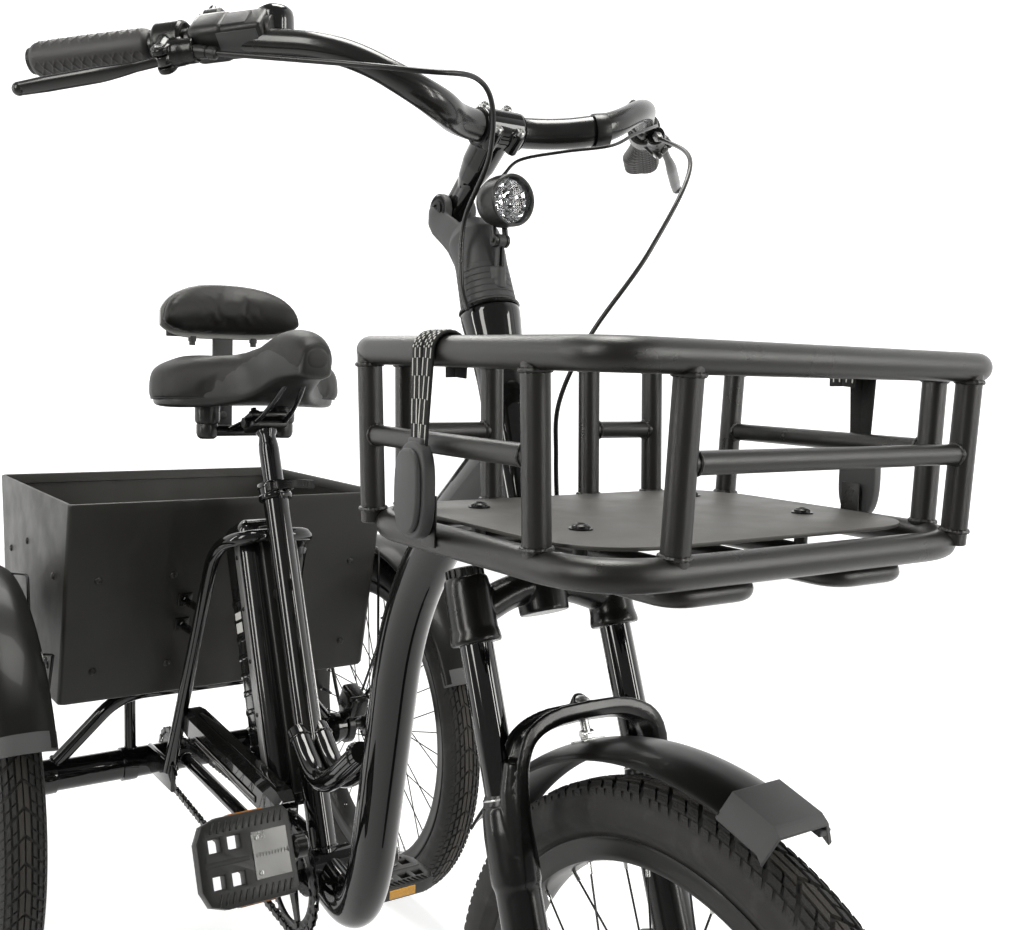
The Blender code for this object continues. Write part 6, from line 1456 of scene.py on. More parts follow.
# %% Lamp
LAMP = vec(0, -0.276, 1.141)
lamp = new()
lathe(lamp, [(0.0232, 0.0235), (0.0252, 0.024), (0.0262, 0.0225), (0.0264, 0.005), (0.0256, -0.002),
    (0.0225, -0.011), (0.016, -0.018), (0.008, -0.0205), (0, -0.0208), (0, -0.019), (0.014, -0.0165),
    (0.0215, -0.009), (0.0236, 0.002), (0.0232, 0.0235)], LAMP, (0, -1, 0), 72)
for side in (-1, 1):
    rod(lamp, vec(side * 0.0051, -0.277, 1.102), vec(side * 0.0088, -0.277, 1.102), 0.0068, 28)
    tube(lamp, (vec(side * 0.007, -0.277, 1.103), LAMP + vec(side * 0.007, 0.002, -0.022)), 0.003, 14)
rod(lamp, vec(-0.0105, -0.277, 1.102), vec(0.0105, -0.277, 1.102), 0.0026, 16)
piece("lamp_shell", lamp, PLASTIC, "headlight", sharp=30)
MIRROR = finish("lamp_mirror", 0.86, 0.06, metallic=1, mottle=0.02, grain=0.02, grit=300)
mirror = new()
for count, near, far, depth, drop in ((10, 0.003, 0.0085, -0.006, 0.003), (14, 0.0088, 0.015, -0.003, 0.0055),
        (18, 0.0153, 0.0225, 0.0025, 0.011)):
    facet = new()
    half = pi / count * 0.96
    corners = [(near, -half, depth), (far, -half, depth + drop), (far, half, depth + drop), (near, half, depth)]
    top, foot = ([facet.verts.new((*polar(r, a), z - sink)) for r, a, z in corners] for sink in (0, 0.002))
    middle = facet.verts.new(((near + far) / 2, 0, depth + drop * 0.15))
    facet.faces.new(foot[::-1])
    for i, after in ((0, 1), (1, 2), (2, 3), (3, 0)):
        facet.faces.new((top[i], top[after], middle))
        facet.faces.new((top[i], foot[i], foot[after], top[after]))
    turntable(mirror, facet, count, LAMP, (0, -1, 0), MIRROR)
lathe(mirror, [(0, -0.009), (0.0034, -0.009), (0.0034, -0.001), (0.0022, 0.001), (0, 0.0014)], LAMP, (0, -1, 0), 20)
piece("lamp_mirrors", mirror, MIRROR, "headlight", sharp=5)
GLASS = finish("lamp_glass", (0.96, 0.97, 0.98), 0.04, mottle=0.01, grain=0.02, grit=300)
feed(GLASS.node_tree, GLASS.node_tree.nodes["Principled BSDF"], {"Transmission Weight": 1, "IOR": 1.2})
glass = new()
lathe(glass, [(0, 0.024), (0.01, 0.0238), (0.019, 0.0228), (0.023, 0.0215), (0.023, 0.02), (0.019, 0.0212),
    (0.01, 0.0222), (0, 0.0224)], LAMP, (0, -1, 0), 64)
piece("lamp_glass_cover", glass, GLASS, "headlight")

# %% Held cables
hold, outward, front, rise, turn = control_frame(-1)
start = hold - outward * 0.0316 + front * 0.0236
route = [start, (-0.15, -0.345, 1.235), (-0.07, -0.345, 1.235), (-0.03, -0.3, 1.185), (-0.034, -0.262, 1.12),
    (-0.036, -0.262, 1.06), (-0.036, -0.275, 1.03)]
cable = new()
tube(cable, spline(route, 120), 0.0025, 16)
piece("shift_cable", cable, HOSE_RUBBER, "control_cable", sharp=60)
hold, outward, front, rise, turn = control_frame(1)
start = hold - outward * 0.0316 + front * 0.0236
route = [start, (0.215, -0.325, 1.2), (0.14, -0.35, 1.1), (0.085, -0.325, 1.01), (0.062, -0.305, 0.94),
    (0.06, -0.305, 0.88), (0.062, -0.31, 0.8)]
hose = new()
tube(hose, spline(route, 150), 0.0025, 16)
piece("brake_hose", hose, HOSE_RUBBER, "front_brake_hose", sharp=60)
loom = new()
tube(loom, spline(((0.262, -0.212, 1.262), (0.2, -0.283, 1.244), (0.14, -0.318, 1.222), (0.098, -0.33, 1.203),
    (0.06, -0.3, 1.196), (0.022, -0.278, 1.186), (0.006, -0.272, 1.17), (0, -0.262, 1.158)), 90), 0.0017, 12)
piece("lamp_cable", loom, HOSE_RUBBER, "handlebar", sharp=60)
band = new()
at = vec(0.1, -0.3085, 1.2215)
lathe(band, [(0.0152, -0.0075), (0.0172, -0.0075), (0.0176, -0.006), (0.0176, 0.006), (0.0172, 0.0075),
    (0.0152, 0.0075), (0.0152, -0.0075)], at, (0.93, -0.33, 0.14), 56)
piece("rubber_band", band, HOSE_RUBBER, "handlebar")
print("stem, bar and controls made")


# %% [markdown]
# ## Front basket
# The real basket is tube bent on rollers into two rings, with short posts and thinner rails welded
# between them. It could be one remeshed skin, but clean tubes with a rippled weld ring at every
# joint hold sharper highlights, so each ring is swept along its bent line.
# %% Basket tubes
RIM = [(-0.209, -0.369), (-0.209, -0.703), (0.209, -0.703), (0.209, -0.369)]


def tapered(x, y, z):
    """A place on the basket's side, which leans in towards the bottom."""
    share = (0.985 - z) / 0.146 * 0.007
    x -= copysign(share, x) if abs(x) > 0.208 else 0
    y += share if y < -0.702 else -share if y > -0.37 else 0
    return vec(x, y, z)


basket = new()
welds = new()
for z, corner in ((0.985, 0.04), (0.839, 0.07)):
    tube(basket, bend([tapered(x, y, z) for x, y in RIM], corner, 12, closed=True), 0.012, 36, closed=True)
posts = [(-0.209, -0.393), (-0.209, -0.629), (0.209, -0.411), (0.209, -0.648), (-0.159, -0.369), (-0.068, -0.369),
    (0.048, -0.369), (0.131, -0.369), (-0.137, -0.703), (0.176, -0.703)]


def welded_rod(low, high, radius, gap, size, ripples, sides):
    """A straight tube of the basket with a weld at both ends."""
    rod(basket, low, high, radius, sides)
    lean = (high - low).normalized()
    for at in (low + lean * gap, high - lean * gap):
        bead(welds, at, lean, radius, size, ripples)


for x, y in posts:
    welded_rod(tapered(x, y, 0.839), tapered(x, y, 0.985), 0.0105, 0.0118, 0.0019, 16, 32)
for one, two in zip(posts[::2], posts[1::2]):
    welded_rod(tapered(*one, 0.914), tapered(*two, 0.914), 0.0085, 0.0104, 0.0015, 14, 28)
piece("basket_tubes", basket, BRONZE_PAINT, "basket_frame", sharp=40)
piece("basket_welds", welds, BRONZE_PAINT, "basket_frame")
# %% Basket floor and carrier
sheet = new()
edge = bend([(-0.186, -0.668, 0), (0.186, -0.668, 0), (0.186, -0.391, 0), (-0.186, -0.391, 0)], 0.075, 12,
    closed=True)
punched(sheet, [[(corner.x, corner.y) for corner in edge]], 0.003, Matrix.Translation((0, 0, 0.8515)), 0.0005)
piece("basket_floor_sheet", sheet, FLOOR_PAINT, "basket_floor", sharp=30)
head = new()
lathe(head, [(0, 0), (0.0095, 0), (0.0095, 0.0012), (0.0072, 0.0014), (0.007, 0.003), (0.0052, 0.0044),
    (0.003, 0.0048), (0.0028, 0.0026), (0, 0.0026)], steps=24)
heads = new()
scatter(heads, head, [((x, y, 0.853), vec(0, 0, 1)) for x in (-0.125, 0.125) for y in (-0.44, -0.58)], BOLT_BLACK)
piece("basket_floor_bolts", heads, BOLT_BLACK, "basket_floor")
carrier = new()
level = 0.8187
neck = along_axis(0.559)
for side in (-1, 1):
    route = [(side * 0.01, neck.y - 0.02, level), (side * 0.045, neck.y - 0.05, level),
        (side * 0.045, -0.683, level), (side * 0.125, -0.683, level), (side * 0.125, -0.399, level)]
    tube(carrier, bend(route, 0.022, 8), 0.008, 24)
    rod(carrier, (side * 0.045, -0.391, level), (side * 0.125, -0.391, level), 0.0068, 24)
    for y in (-0.44, -0.58):
        rod(carrier, (side * 0.125, y, level), (side * 0.125, y, 0.8497), 0.006, 20)
lathe(carrier, [(0.0264, 0), (0.0312, 0), (0.032, 0.001), (0.032, 0.031), (0.0312, 0.032), (0.0264, 0.032),
    (0.0264, 0)], along_axis(0.545), AXIS_UP, 48)
piece("basket_carrier", carrier, BRONZE_PAINT, "basket_rack")

# %% [markdown]
# ## Elastic straps
# Each strap is two woven elastic bands that pass over the top ring and end in a moulded clip. A flat
# band needs no simulation: its section is swept over the ring, and the light threads woven into it
# are short raised strokes in staggered rows.
# %% Straps and clips
def bulge(value, power):
    """A power that keeps the sign, for rounded squares."""
    return copysign(abs(value) ** power, value)


WEBBING = finish("webbing", 0.02, 0.8, mottle=0.25, patch=300, grain=0.9, grit=1800)
THREAD = finish("light_thread", (0.66, 0.66, 0.63), 0.62, mottle=0.08, grain=0.3, grit=1500)
for side, word, y in ((-1, "right", -0.506), (1, "left", -0.56)):
    ring = vec(side * 0.209, y, 0.985)
    bands = new()
    threads = new()
    for shift, lean in ((-0.0088, 0.0016), (0.0072, -0.001)):
        line = [(-0.0149, -0.02), (-0.0149, -0.01)]
        line += [polar(0.0149, pi * (1 - step / 12)) for step in range(13)]
        line += [(0.0152, -0.02), (0.0158, -0.05), (0.0162, -0.08), (0.0162, -0.098)]
        route = [ring + vec(side * out, shift + lean * max(0, -up) * 40, up) for out, up in line]
        route = spline(route, 90)
        band = [(-0.0072, 0), (-0.0066, 0.0011), (0, 0.0014), (0.0066, 0.0011), (0.0072, 0), (0.0066, -0.0011),
            (0, -0.0014), (-0.0066, -0.0011)]
        sweep(bands, route, band, (0, 1, 0))
        for row in range(4):
            across = -0.0051 + row * 0.0034
            face = side * 0.0013
            stroke = [(across - 0.0006, face - 0.0003), (across + 0.0006, face - 0.0003),
                (across + 0.0005, face + 0.0003), (across - 0.0005, face + 0.0003)]
            for start in range(2 + 3 * (row % 2), 86, 6):
                sweep(threads, route[start:start + 4], stroke, (0, 1, 0))
    piece("strap_bands_" + word, bands, WEBBING, "strap_" + word, sharp=60)
    piece("strap_threads_" + word, threads, THREAD, "strap_" + word)
    clip = new()
    middle = ring + vec(side * 0.0205, 0, -0.106)
    facing = Matrix.Rotation(side * pi / 2, 4, "Y")
    for half_y, half_z, depth, out in ((0.0185, 0.035, 0.011, -0.0025), (0.015, 0.03, 0.006, 0.005)):
        edge = [(bulge(cos(t), 0.75) * half_z, bulge(sin(t), 0.75) * half_y) for t in around(48)]
        punched(clip, [edge], depth, Matrix.Translation(middle + vec(side * out, 0, 0)) @ facing, 0.0024)
    block(clip, (0.007, 0.02, 0.012), middle + vec(side * -0.003, 0, 0.034), bevel=0.002)
    piece("strap_clip_" + word, clip, GREY_PLASTIC, "strap_" + word, sharp=50)
    tab = new()
    foot = vec(side * 0.2148, y, 0.855)
    block(tab, (0.0018, 0.02, 0.04), foot, bevel=0.0004)
    rod(tab, foot + vec(side * 0.0006, 0, -0.008), foot + vec(side * 0.0034, 0, -0.008), 0.0036, 20)
    piece("strap_tab_" + word, tab, BRONZE_PAINT, "strap_" + word)
print("basket and straps made")

# %% [markdown]
# ## Cranks, chainring and pedals
# Cranks are forged arms that taper from the axle to the pedal, with round bosses at both ends. The
# pedals have a ribbed plastic frame with windows, metal plates over the axle and a reflector in
# each long edge. The plates are made flat and turned with their pedal, and the ribs are scattered.
# %% Cranks and pedals
CRANK_WAY = vec(0, -cos(radians(39.8)), sin(radians(39.8)))
# The pedals' reflectors are one part in lit and shaded copies: the bright amber with sparkle carries a painted
# glint, and the darker amber is painted shade.
AMBER = finish("amber_painted_glint", (0.62, 0.3, 0.02), 0.18, coat=0.6, mottle=0.35, patch=500, grain=0.9, grit=700)
PAINTED_SHADE_AMBER = finish("amber_painted_shade", (0.3, 0.11, 0.012), 0.26, coat=0.4, mottle=0.2, patch=300)
rib = new()
block(rib, (0.0022, 0.0135, 0.0222), (0, 0, 0), (0, 0, 0.35), 0.0007, 1)
for side, word in SIDES:
    out = vec(side, 0, 0)
    root = BRACKET + out * 0.095
    tip = root - CRANK_WAY * 0.152 * side
    arm = new()
    edge = [(0.0062, 0.0085), (0.007, 0.005), (0.007, -0.005), (0.0062, -0.0085), (-0.0062, -0.011),
        (-0.007, -0.006), (-0.007, 0.006), (-0.0062, 0.011)]
    sweep(arm, [root.lerp(tip, step / 10) for step in range(11)], [(a * side, b) for a, b in edge], (1, 0, 0),
        [1.16 - 0.03 * step for step in range(11)])
    for at, radius, half in ((root, 0.0175, 0.009), (tip, 0.0145, 0.009)):
        lathe(arm, [(0, -half), (radius - 0.0035, -half), (radius, 0.003 - half), (radius, half - 0.003),
            (radius - 0.0035, half), (radius * 0.5, half - 0.0004), (0, half - 0.0004)], at, out, 48)
    lathe(arm, [(0, 0), (0.009, 0), (0.009, 0.0016), (0.007, 0.003), (0, 0.0032)], root + out * 0.0086, out, 32)
    piece("crank_arm_made_" + word, arm, CAST_PAINT, "crank_arm_" + word, sharp=40)
    spindle = new()
    rod(spindle, tip + out * 0.005, tip + out * 0.115, 0.006, 28)
    lathe(spindle, [(0, 0), (0.0086, 0), (0.0086, 0.008), (0, 0.008)], tip + out * 0.0088, out, 6)
    middle = tip + out * 0.068
    turn = Matrix.Rotation(radians(65), 4, "X") if side < 0 else Matrix.Identity(4)
    own = Matrix.Translation(middle) @ turn @ Matrix.Diagonal((side, 1, 1, 1))
    pedal = new()
    outline = [(-0.056, -0.042), (-0.05, -0.049), (0.03, -0.049), (0.048, -0.043), (0.056, -0.026), (0.056, 0.026),
        (0.048, 0.043), (0.03, 0.049), (-0.05, 0.049), (-0.056, 0.042)]
    windows = [[(a, c), (b, c), (b, d), (a, d)] for a, b in ((0.004, 0.023), (0.028, 0.046)) for c,
        d in ((-0.03, -0.011), (0.011, 0.03))]
    flat = new()
    punched(flat, [outline] + windows, 0.0186, Matrix.Identity(4), 0.0022)
    ribs = new()
    scatter(ribs, rib.copy(), [((-0.048 + 0.0078 * i, row * 0.0398, 0), (0, 0, 0)) for i in range(12)
        for row in (-1, 1)], PLASTIC)
    graft(flat, ribs)
    rod(flat, (-0.003, 0, 0), (0.052, 0, 0), 0.0098, 32)
    bmesh.ops.reverse_faces(flat, faces=flat.faces)
    graft(pedal, flat, own)
    piece("pedal_frame_" + word, pedal, PLASTIC, "pedal_" + word, sharp=40)
    plates = new()
    for level in (-0.0098, 0.0098):
        block(plates, (0.044, 0.054, 0.0018), (-0.029, 0, level), bevel=0.0004, segments=1)
    lathe(plates, [(0, 0), (0.0112, 0)] + [(0.0112 - 0.0008 * (i % 2), 0.0018 + 0.0019 * i) for i in range(22)]
        + [(0.0112, 0.044), (0, 0.044)], (-0.051, 0, 0), (1, 0, 0), 32)
    plates.transform(own)
    piece("pedal_plates_" + word, plates, ALUMINIUM, "pedal_" + word, sharp=30)
    screws = new()
    stud = new()
    lathe(stud, [(0, 0), (0.0032, 0), (0.0028, 0.0012), (0.0014, 0.0016), (0.0012, 0.0006), (0, 0.0006)], steps=16)
    scatter(screws, stud, [((-0.013, row * 0.02, face * 0.0106), vec(0, 0, face)) for row in (-1, 1)
        for face in (-1, 1)], STEEL)
    screws.transform(own)
    piece("pedal_screws_" + word, screws, STEEL, "pedal_" + word)
    lens = new()
    for row in (-1, 1):
        block(lens, (0.044, 0.0034, 0.013), (-0.006, row * 0.0508, 0), bevel=0.0008, segments=1)
    lens.transform(own)
    # Painted light: the right pedal's reflector takes the painted shade amber, and the left one takes the amber
    # with a painted glint.
    piece("pedal_reflectors_" + word, lens, PAINTED_SHADE_AMBER if side < 0 else AMBER, "pedal_" + word)
    piece("pedal_spindle_" + word, spindle, DARK_STEEL, "crank_arm_" + word, sharp=30)
rib.free()
# %% Chainring, sprocket and chain
RING = BRACKET - vec(0.05, 0, 0)
COG = AXLE - vec(0.05, 0, 0)
SIDEWAYS = Matrix(((0, 0, 1), (1, 0, 0), (0, 1, 0))).to_4x4()


def toothed(count, low, high):
    """A toothed outline with rounded gullets."""
    tooth = ((0, low), (0.18, low), (0.34, high), (0.5, high), (0.66, low), (0.82, low))
    return [polar(radius, TURN * (index + share) / count) for index in range(count) for share, radius in tooth]


ring = new()
place = Matrix.Translation(RING) @ SIDEWAYS
punched(ring, [toothed(35, 0.065, 0.0695), circle(0.056, 60)], 0.0034, place, 0.0004)
for arm in range(5):
    turn = radians(39.8) + radians(72) * (arm + 0.5)
    way = vec(0, -cos(turn), sin(turn))
    sweep(ring, [RING + way * 0.01, RING + way * 0.035, RING + way * 0.06],
        [(0.002, 0.006), (0.0028, 0), (0.002, -0.006), (-0.002, -0.006), (-0.002, 0.006)], (1, 0, 0),
        [1.5, 1.1, 0.9])
    pin(ring, RING + way * 0.0585, -0.0036, 0.003, 0.0046, 20)
pin(ring, RING, -0.0045, 0.0045, 0.017, 48)
pin(ring, BRACKET, -0.094, 0.094, 0.0082, 32)
piece("chainring", ring, BOLT_BLACK, "crank_arm_right crank_arm_left", sharp=30)
cog = new()
punched(cog, [toothed(21, 0.0372, 0.0415), circle(0.0246, 60)], 0.0034, Matrix.Translation(COG) @ SIDEWAYS, 0.0004)
piece("sprocket_teeth", cog, DARK_STEEL, "rear_sprocket", sharp=30)
span = COG - RING
lean = atan2(span.z, span.y)
open_by = acos((0.0721 - 0.0441) / span.length)
path = []
for centre, radius, first, last in ((RING, 0.0721, lean + open_by, lean - open_by + 2 * pi),
        (COG, 0.0441, lean - open_by, lean + open_by)):
    path += [centre + vec(0, *polar(radius, first + (last - first) * step / 60)) for step in range(61)]
lengths = [(path[(i + 1) % len(path)] - path[i]).length for i in range(len(path))]
count = round(sum(lengths) / 0.0127 / 2) * 2
pins = []
reach = 0.0
index = 0
for link in range(count):
    goal = sum(lengths) * link / count
    while reach + lengths[index] < goal:
        reach += lengths[index]
        index += 1
    pins.append(path[index].lerp(path[(index + 1) % len(path)], (goal - reach) / lengths[index]))
chain = new()
waist = [polar(0.0044, pi * (0.5 + i / 8)) for i in range(9)]
waist += [(0.00635, -0.003)] + [(0.0127 - x, -y) for x, y in waist] + [(0.00635, 0.003)]
for parity, level in ((0, 0.0021), (1, 0.0031)):
    link = new()
    for side in (-1, 1):
        punched(link, [waist], 0.001, SIDEWAYS @ Matrix.Translation((0, 0, side * level)))
    if parity:
        rod(link, (-0.0035, 0, 0), (0.0035, 0, 0), 0.0018, 8, round_off=0.0001)
        rod(link, (-0.0035, 0.0127, 0), (0.0035, 0.0127, 0), 0.0018, 8, round_off=0.0001)
    places = []
    for one in range(parity, count, 2):
        step = pins[(one + 1) % count] - pins[one]
        places.append((pins[one], (atan2(step.z, step.y), 0, 0)))
    scatter(chain, link, places, DARK_STEEL)
piece("chain_links", chain, DARK_STEEL, "chain", sharp=30)
print("chain links:", count)

# %% [markdown]
# ## Chain cover and rear mudguards
# The chain cover is a long folded sheet with bevelled shoulders, a raised strip and a riveted end.
# The rear guards are the front one again on a larger scale, with wire stays that end in a clamp on
# the axle housing and a moulded tip at the front.
# %% Chain cover
cover = new()
tilted = Matrix.Translation((-0.062, 0.262, 0.4065)) @ Matrix.Rotation(radians(4), 4, "X")
fold = [(-0.018, -0.02), (-0.018, 0.0085), (-0.0105, 0.0192), (0.0105, 0.0192), (0.018, 0.0085), (0.018, -0.02),
    (0.0164, -0.02), (0.0164, 0.0078), (0.0098, 0.0174), (-0.0098, 0.0174), (-0.0164, 0.0078), (-0.0164, -0.02)]
rows = [[cover.verts.new((x * grow, y, z * grow + lift)) for x, z in fold] for y, grow,
    lift in ((-0.1815, 0.8, -0.004), (-0.166, 1, 0), (0.15, 1, 0), (0.172, 0.9, -0.001), (0.182, 0.72, -0.005))]
stitch(cover, rows, ends=False)
for row in (rows[0], rows[-1]):
    for i in range(5):
        cover.faces.new((row[i], row[i + 1], row[10 - i], row[11 - i]))
bmesh.ops.recalc_face_normals(cover, faces=cover.faces)
block(cover, (0.013, 0.29, 0.0016), (0, -0.01, 0.0198), bevel=0.0006, segments=2)
for x in (-0.019, 0.019):
    block(cover, (0.0016, 0.23, 0.008), (x, -0.004, -0.01), bevel=0.0007, segments=2)
for y in (-0.15, 0.14):
    rod(cover, (-0.016, y, -0.012), (0.016, y, -0.012), 0.004, 16)
cover.transform(tilted)
piece("chain_cover_sheet", cover, GLOSS_PAINT, "chain_cover", sharp=25)
trim = new()
for x in (-0.0201, 0.0201):
    for z in (-0.0135, -0.0065):
        block(trim, (0.0008, 0.226, 0.0016), (x, -0.004, z), bevel=0.0003, segments=1)
trim.transform(tilted)
piece("chain_cover_trim", trim, SILVER_PAINT, "chain_cover")
# %% Rear guards
for side, word in SIDES:
    hub = HUBS["rear_" + word]
    guard = new()
    guard_strip(guard, hub, 0.345, -64, 60, 0.0425, 0.012, steps=72)
    piece("rear_guard_strip_" + word, guard, GUARD_PAINT, "rear_mudguard_" + word, sharp=40)
    bar = new()
    clamp_x = side * 0.276
    hold = vec(clamp_x, 0.58, 0.311)
    lathe(bar, [(0.0243, -0.006), (0.0292, -0.006), (0.03, -0.005), (0.03, 0.005), (0.0292, 0.006), (0.0243, 0.006),
        (0.0243, -0.006)], hold, (1, 0, 0), 48)
    for angle in (radians(-42), radians(38)):
        aim = vec(0, sin(angle), cos(angle))
        tip = hub - vec(side * 0.0405, 0, 0) + aim * 0.3345
        tube(bar, bend([hold + aim * 0.026, hold + aim * 0.06, tip - aim * 0.02, tip], 0.03, 4), 0.0034, 16)
        block(bar, (0.003, 0.017, 0.015), tip + aim * -0.004, (-angle, 0, 0), 0.001, 2)
        rod(bar, tip - vec(side * 0.006, 0, 0) - aim * 0.004, tip + vec(side * 0.001, 0, 0) - aim * 0.004, 0.0046,
            6)
    wire = [(0.3, 0.554, 0.643), (0.29, 0.497, 0.65), (0.288, 0.487, 0.48), (0.278, 0.556, 0.336)]
    tube(bar, bend([(side * x, y, z) for x, y, z in wire], 0.012, 6), 0.0022, 12)
    prop = [(0.27, 0.434, 0.541), (0.283, 0.452, 0.4), (0.279, 0.552, 0.33)]
    tube(bar, bend([(side * x, y, z) for x, y, z in prop], 0.02, 6), 0.0024, 12)
    block(bar, (0.036, 0.016, 0.0034), (side * 0.285, 0.443, 0.5415), (-0.4, 0, side * 0.5), 0.001, 2)
    piece("rear_guard_stays_" + word, bar, DARK_STEEL, "rear_mudguard_" + word, sharp=30)
    tip = new()
    guard_strip(tip, hub, 0.3466, -64.6, -60.2, 0.0436, 0.016, 0.005, 4)
    piece("rear_guard_tip_" + word, tip, GREY_PLASTIC, "rear_mudguard_" + word, sharp=12)
# %% Rear caliper and sprocket nut
caliper = new()
block(caliper, (0.03, 0.056, 0.038), (0.26, 0.52, 0.376), (0.35, 0, 0), 0.006)
rod(caliper, (0.238, 0.518, 0.38), (0.245, 0.518, 0.38), 0.015, 36)
block(caliper, (0.01, 0.036, 0.03), (0.26, 0.55, 0.348), (-0.5, 0, 0), 0.003)
for y, z in ((0.4985, 0.385), (0.54, 0.369)):
    rod(caliper, (0.241, y, z), (0.278, y, z), 0.0044, 6)
piece("rear_caliper", caliper, SATIN_PAINT, "axle_housing", sharp=30)
nut = new()
pin(nut, COG, -0.026, -0.003, 0.005, 24)
pin(nut, COG, -0.01, -0.003, 0.0105, 6)
pin(nut, COG, -0.0115, -0.01, 0.013, 32)
piece("sprocket_nut", nut, STEEL, "rear_sprocket", sharp=30)

# %% [markdown]
# ## Saddle and backrest
# The saddle is foam under soft leathercloth over a moulded base: a high nose, a dip and two wide
# wings whose edges roll under. A carved or subdivided block looks hard, so the form is lofted a
# little small, turned into an even mesh, and swollen by cloth with pressure while its underside is
# held. The welt that joins cover and base is laid on the finished skin afterwards.
# %% Padding
LEATHER = finish("leathercloth", (0.012, 0.0116, 0.0108), 0.47, mottle=0.1, patch=14, grain=0.3, grit=1300,
    shine=0.3)
WELT = finish("welt", 0.014, 0.5, grain=0.15, grit=1500)


def loft(mesh, rings):
    """Skins rings of points and closes both ends."""
    stitch(mesh, [[mesh.verts.new(point) for point in ring] for ring in rings])


def swell(pad, held, cap):
    """Blows an object up as cloth with pressure; held points stay, and no point moves further than the cap."""
    points = pad.data.vertices
    pad.vertex_groups.new(name="held").add([point.index for point in points if held(point.co)], 1, "REPLACE")
    cloth = pad.modifiers.new("cloth", "CLOTH")
    cloth.settings.use_pressure = True
    cloth.settings.uniform_pressure_force = 4
    cloth.settings.vertex_group_mass = "held"
    cloth.settings.effector_weights.gravity = 0
    for step in range(1, 21):
        bpy.context.scene.frame_set(step)
    swollen = pad.evaluated_get(bpy.context.evaluated_depsgraph_get()).data
    moved = [point.co.copy() for point in swollen.vertices]
    pad.modifiers.remove(cloth)
    for point, goal in zip(points, moved):
        step = goal - point.co
        point.co += step * min(1, cap / max(step.length, 1e-9))
    bpy.context.scene.frame_set(1)


def padding(name, mesh, voxel, held, solid):
    """A padded piece from an even mesh, swollen as cloth; returns its surface too."""
    pad = placed(name, stored(melted(mesh, voxel, 6), name))
    swell(pad, held, 0.006)
    smooth = pad.modifiers.new("smooth", "SUBSURF")
    smooth.levels = smooth.render_levels = 1
    fine = settled(pad)
    bmesh.ops.smooth_vert(fine, verts=fine.verts, factor=0.5, use_axis_x=True, use_axis_y=True, use_axis_z=True)
    skin = BVHTree.FromBMesh(fine)
    piece(name, fine, LEATHER, solid, sharp=80)
    return skin


def read(table, place):
    """A value between the rows of a table of (place, value)."""
    points = spline([(key, value, 0) for key, value in table], 80)
    after = next((i for i, point in enumerate(points) if point.x >= place), 79)
    low, high = points[max(0, after - 1)], points[after]
    share = (place - low.x) / max(high.x - low.x, 1e-9) if after else 0
    return low.y + (high.y - low.y) * limited(share)


# %% Saddle
HALF_WIDTHS = [(0.145, 0.024), (0.17, 0.032), (0.212, 0.042), (0.262, 0.054), (0.306, 0.088), (0.346, 0.134),
    (0.395, 0.149), (0.442, 0.14)]
TOPS = [(0.145, 0.996), (0.168, 1.009), (0.205, 1.011), (0.245, 0.999), (0.29, 0.98), (0.34, 0.972), (0.442, 0.972)]
FLOORS = [(0.145, 0.958), (0.2, 0.949), (0.24, 0.932), (0.28, 0.915), (0.32, 0.904), (0.36, 0.9), (0.442, 0.898)]


def saddle_ring(share, grow=1.0, low=0.34, drop=0.0):
    """One section of the saddle; share runs from the nose to the tail."""
    y = 0.145 + 0.297 * (0.5 - 0.5 * cos(pi * share))
    end = min(1, sin(pi * min(share, 1 - share)) * 3.4 + 0.22) ** 0.4
    half, top, floor = (read(table, y) for table in (HALF_WIDTHS, TOPS, FLOORS))
    middle = floor + (top - floor) * low
    wing = limited((y - 0.2) / 0.12)
    dip = 0.005 * max(0, sin(pi * (y - 0.25) / 0.19)) if y > 0.25 else 0
    ring = []
    for turn in around(56):
        c, s = cos(turn), sin(turn)
        x = half * end * grow * bulge(c, 0.85 - 0.42 * wing)
        roll = 0.003 * (abs(x) / 0.15) ** 2.2
        if s > 0:
            rise = (top - middle) * end * s ** (0.85 - 0.4 * wing) - roll - dip * exp(-(x / 0.03) ** 2)
        else:
            hollow = 0.85 * (middle - floor) * wing * (1 - min(1, abs(x) / half) ** 3) if s else 0
            rise = hollow - 0.3 * roll - (middle - floor + drop) * end * abs(s) ** 0.45
        ring.append(vec(x, y, middle + rise))
    return ring


saddle = new()
loft(saddle, [saddle_ring(step / 40, 0.975) for step in range(41)])
skin = padding("saddle_padding", saddle, 0.005, lambda point: point.z < 0.906 + max(0, 0.32 - point.y) * 0.33,
    "saddle_cushion")
hem = new()
edges = [(52, step) for step in range(61)] + [(32, step) for step in range(60, -1, -1)]
nearest = [skin.find_nearest(saddle_ring(0.02 + 0.96 * step / 60)[row]) for row, step in edges]
line = [hit[0] + hit[1] * 0.0002 for hit in nearest]
tube(hem, line, 0.0013, 10, closed=True)
piece("saddle_welt", hem, WELT, "saddle_cushion", sharp=60)
base = new()
loft(base, [saddle_ring(0.03 + 0.9 * step / 30, 0.9, 0.2, 0.008) for step in range(31)])
piece("saddle_base", base, PLASTIC, "saddle_cushion", sharp=50)
# %% Backrest
def back_edges(u):
    """Top and bottom of the backrest at a share of its half width: arched above, nearly straight below."""
    return 1.03 + 0.059 * max(0, 1 - abs(u) ** 2.8) ** 0.52, 1.008 + 0.016 * abs(u) ** 5


def back_ring(u, grow=1):
    """One section of the backrest pad, from its right end at -1 to its left end at 1."""
    high, low = back_edges(u)
    half = (high - low) / 2 * grow
    deep = 0.0185 * (0.35 + 0.65 * min(1, half / 0.03)) * grow
    ring = []
    for turn in around(48):
        y = 0.4785 - 0.034 * u * u - deep * bulge(cos(turn), 0.85 if cos(turn) > 0 else 0.5)
        ring.append(vec(u * 0.112 * grow, y, (high + low) / 2 + half * bulge(sin(turn), 0.8)))
    return ring


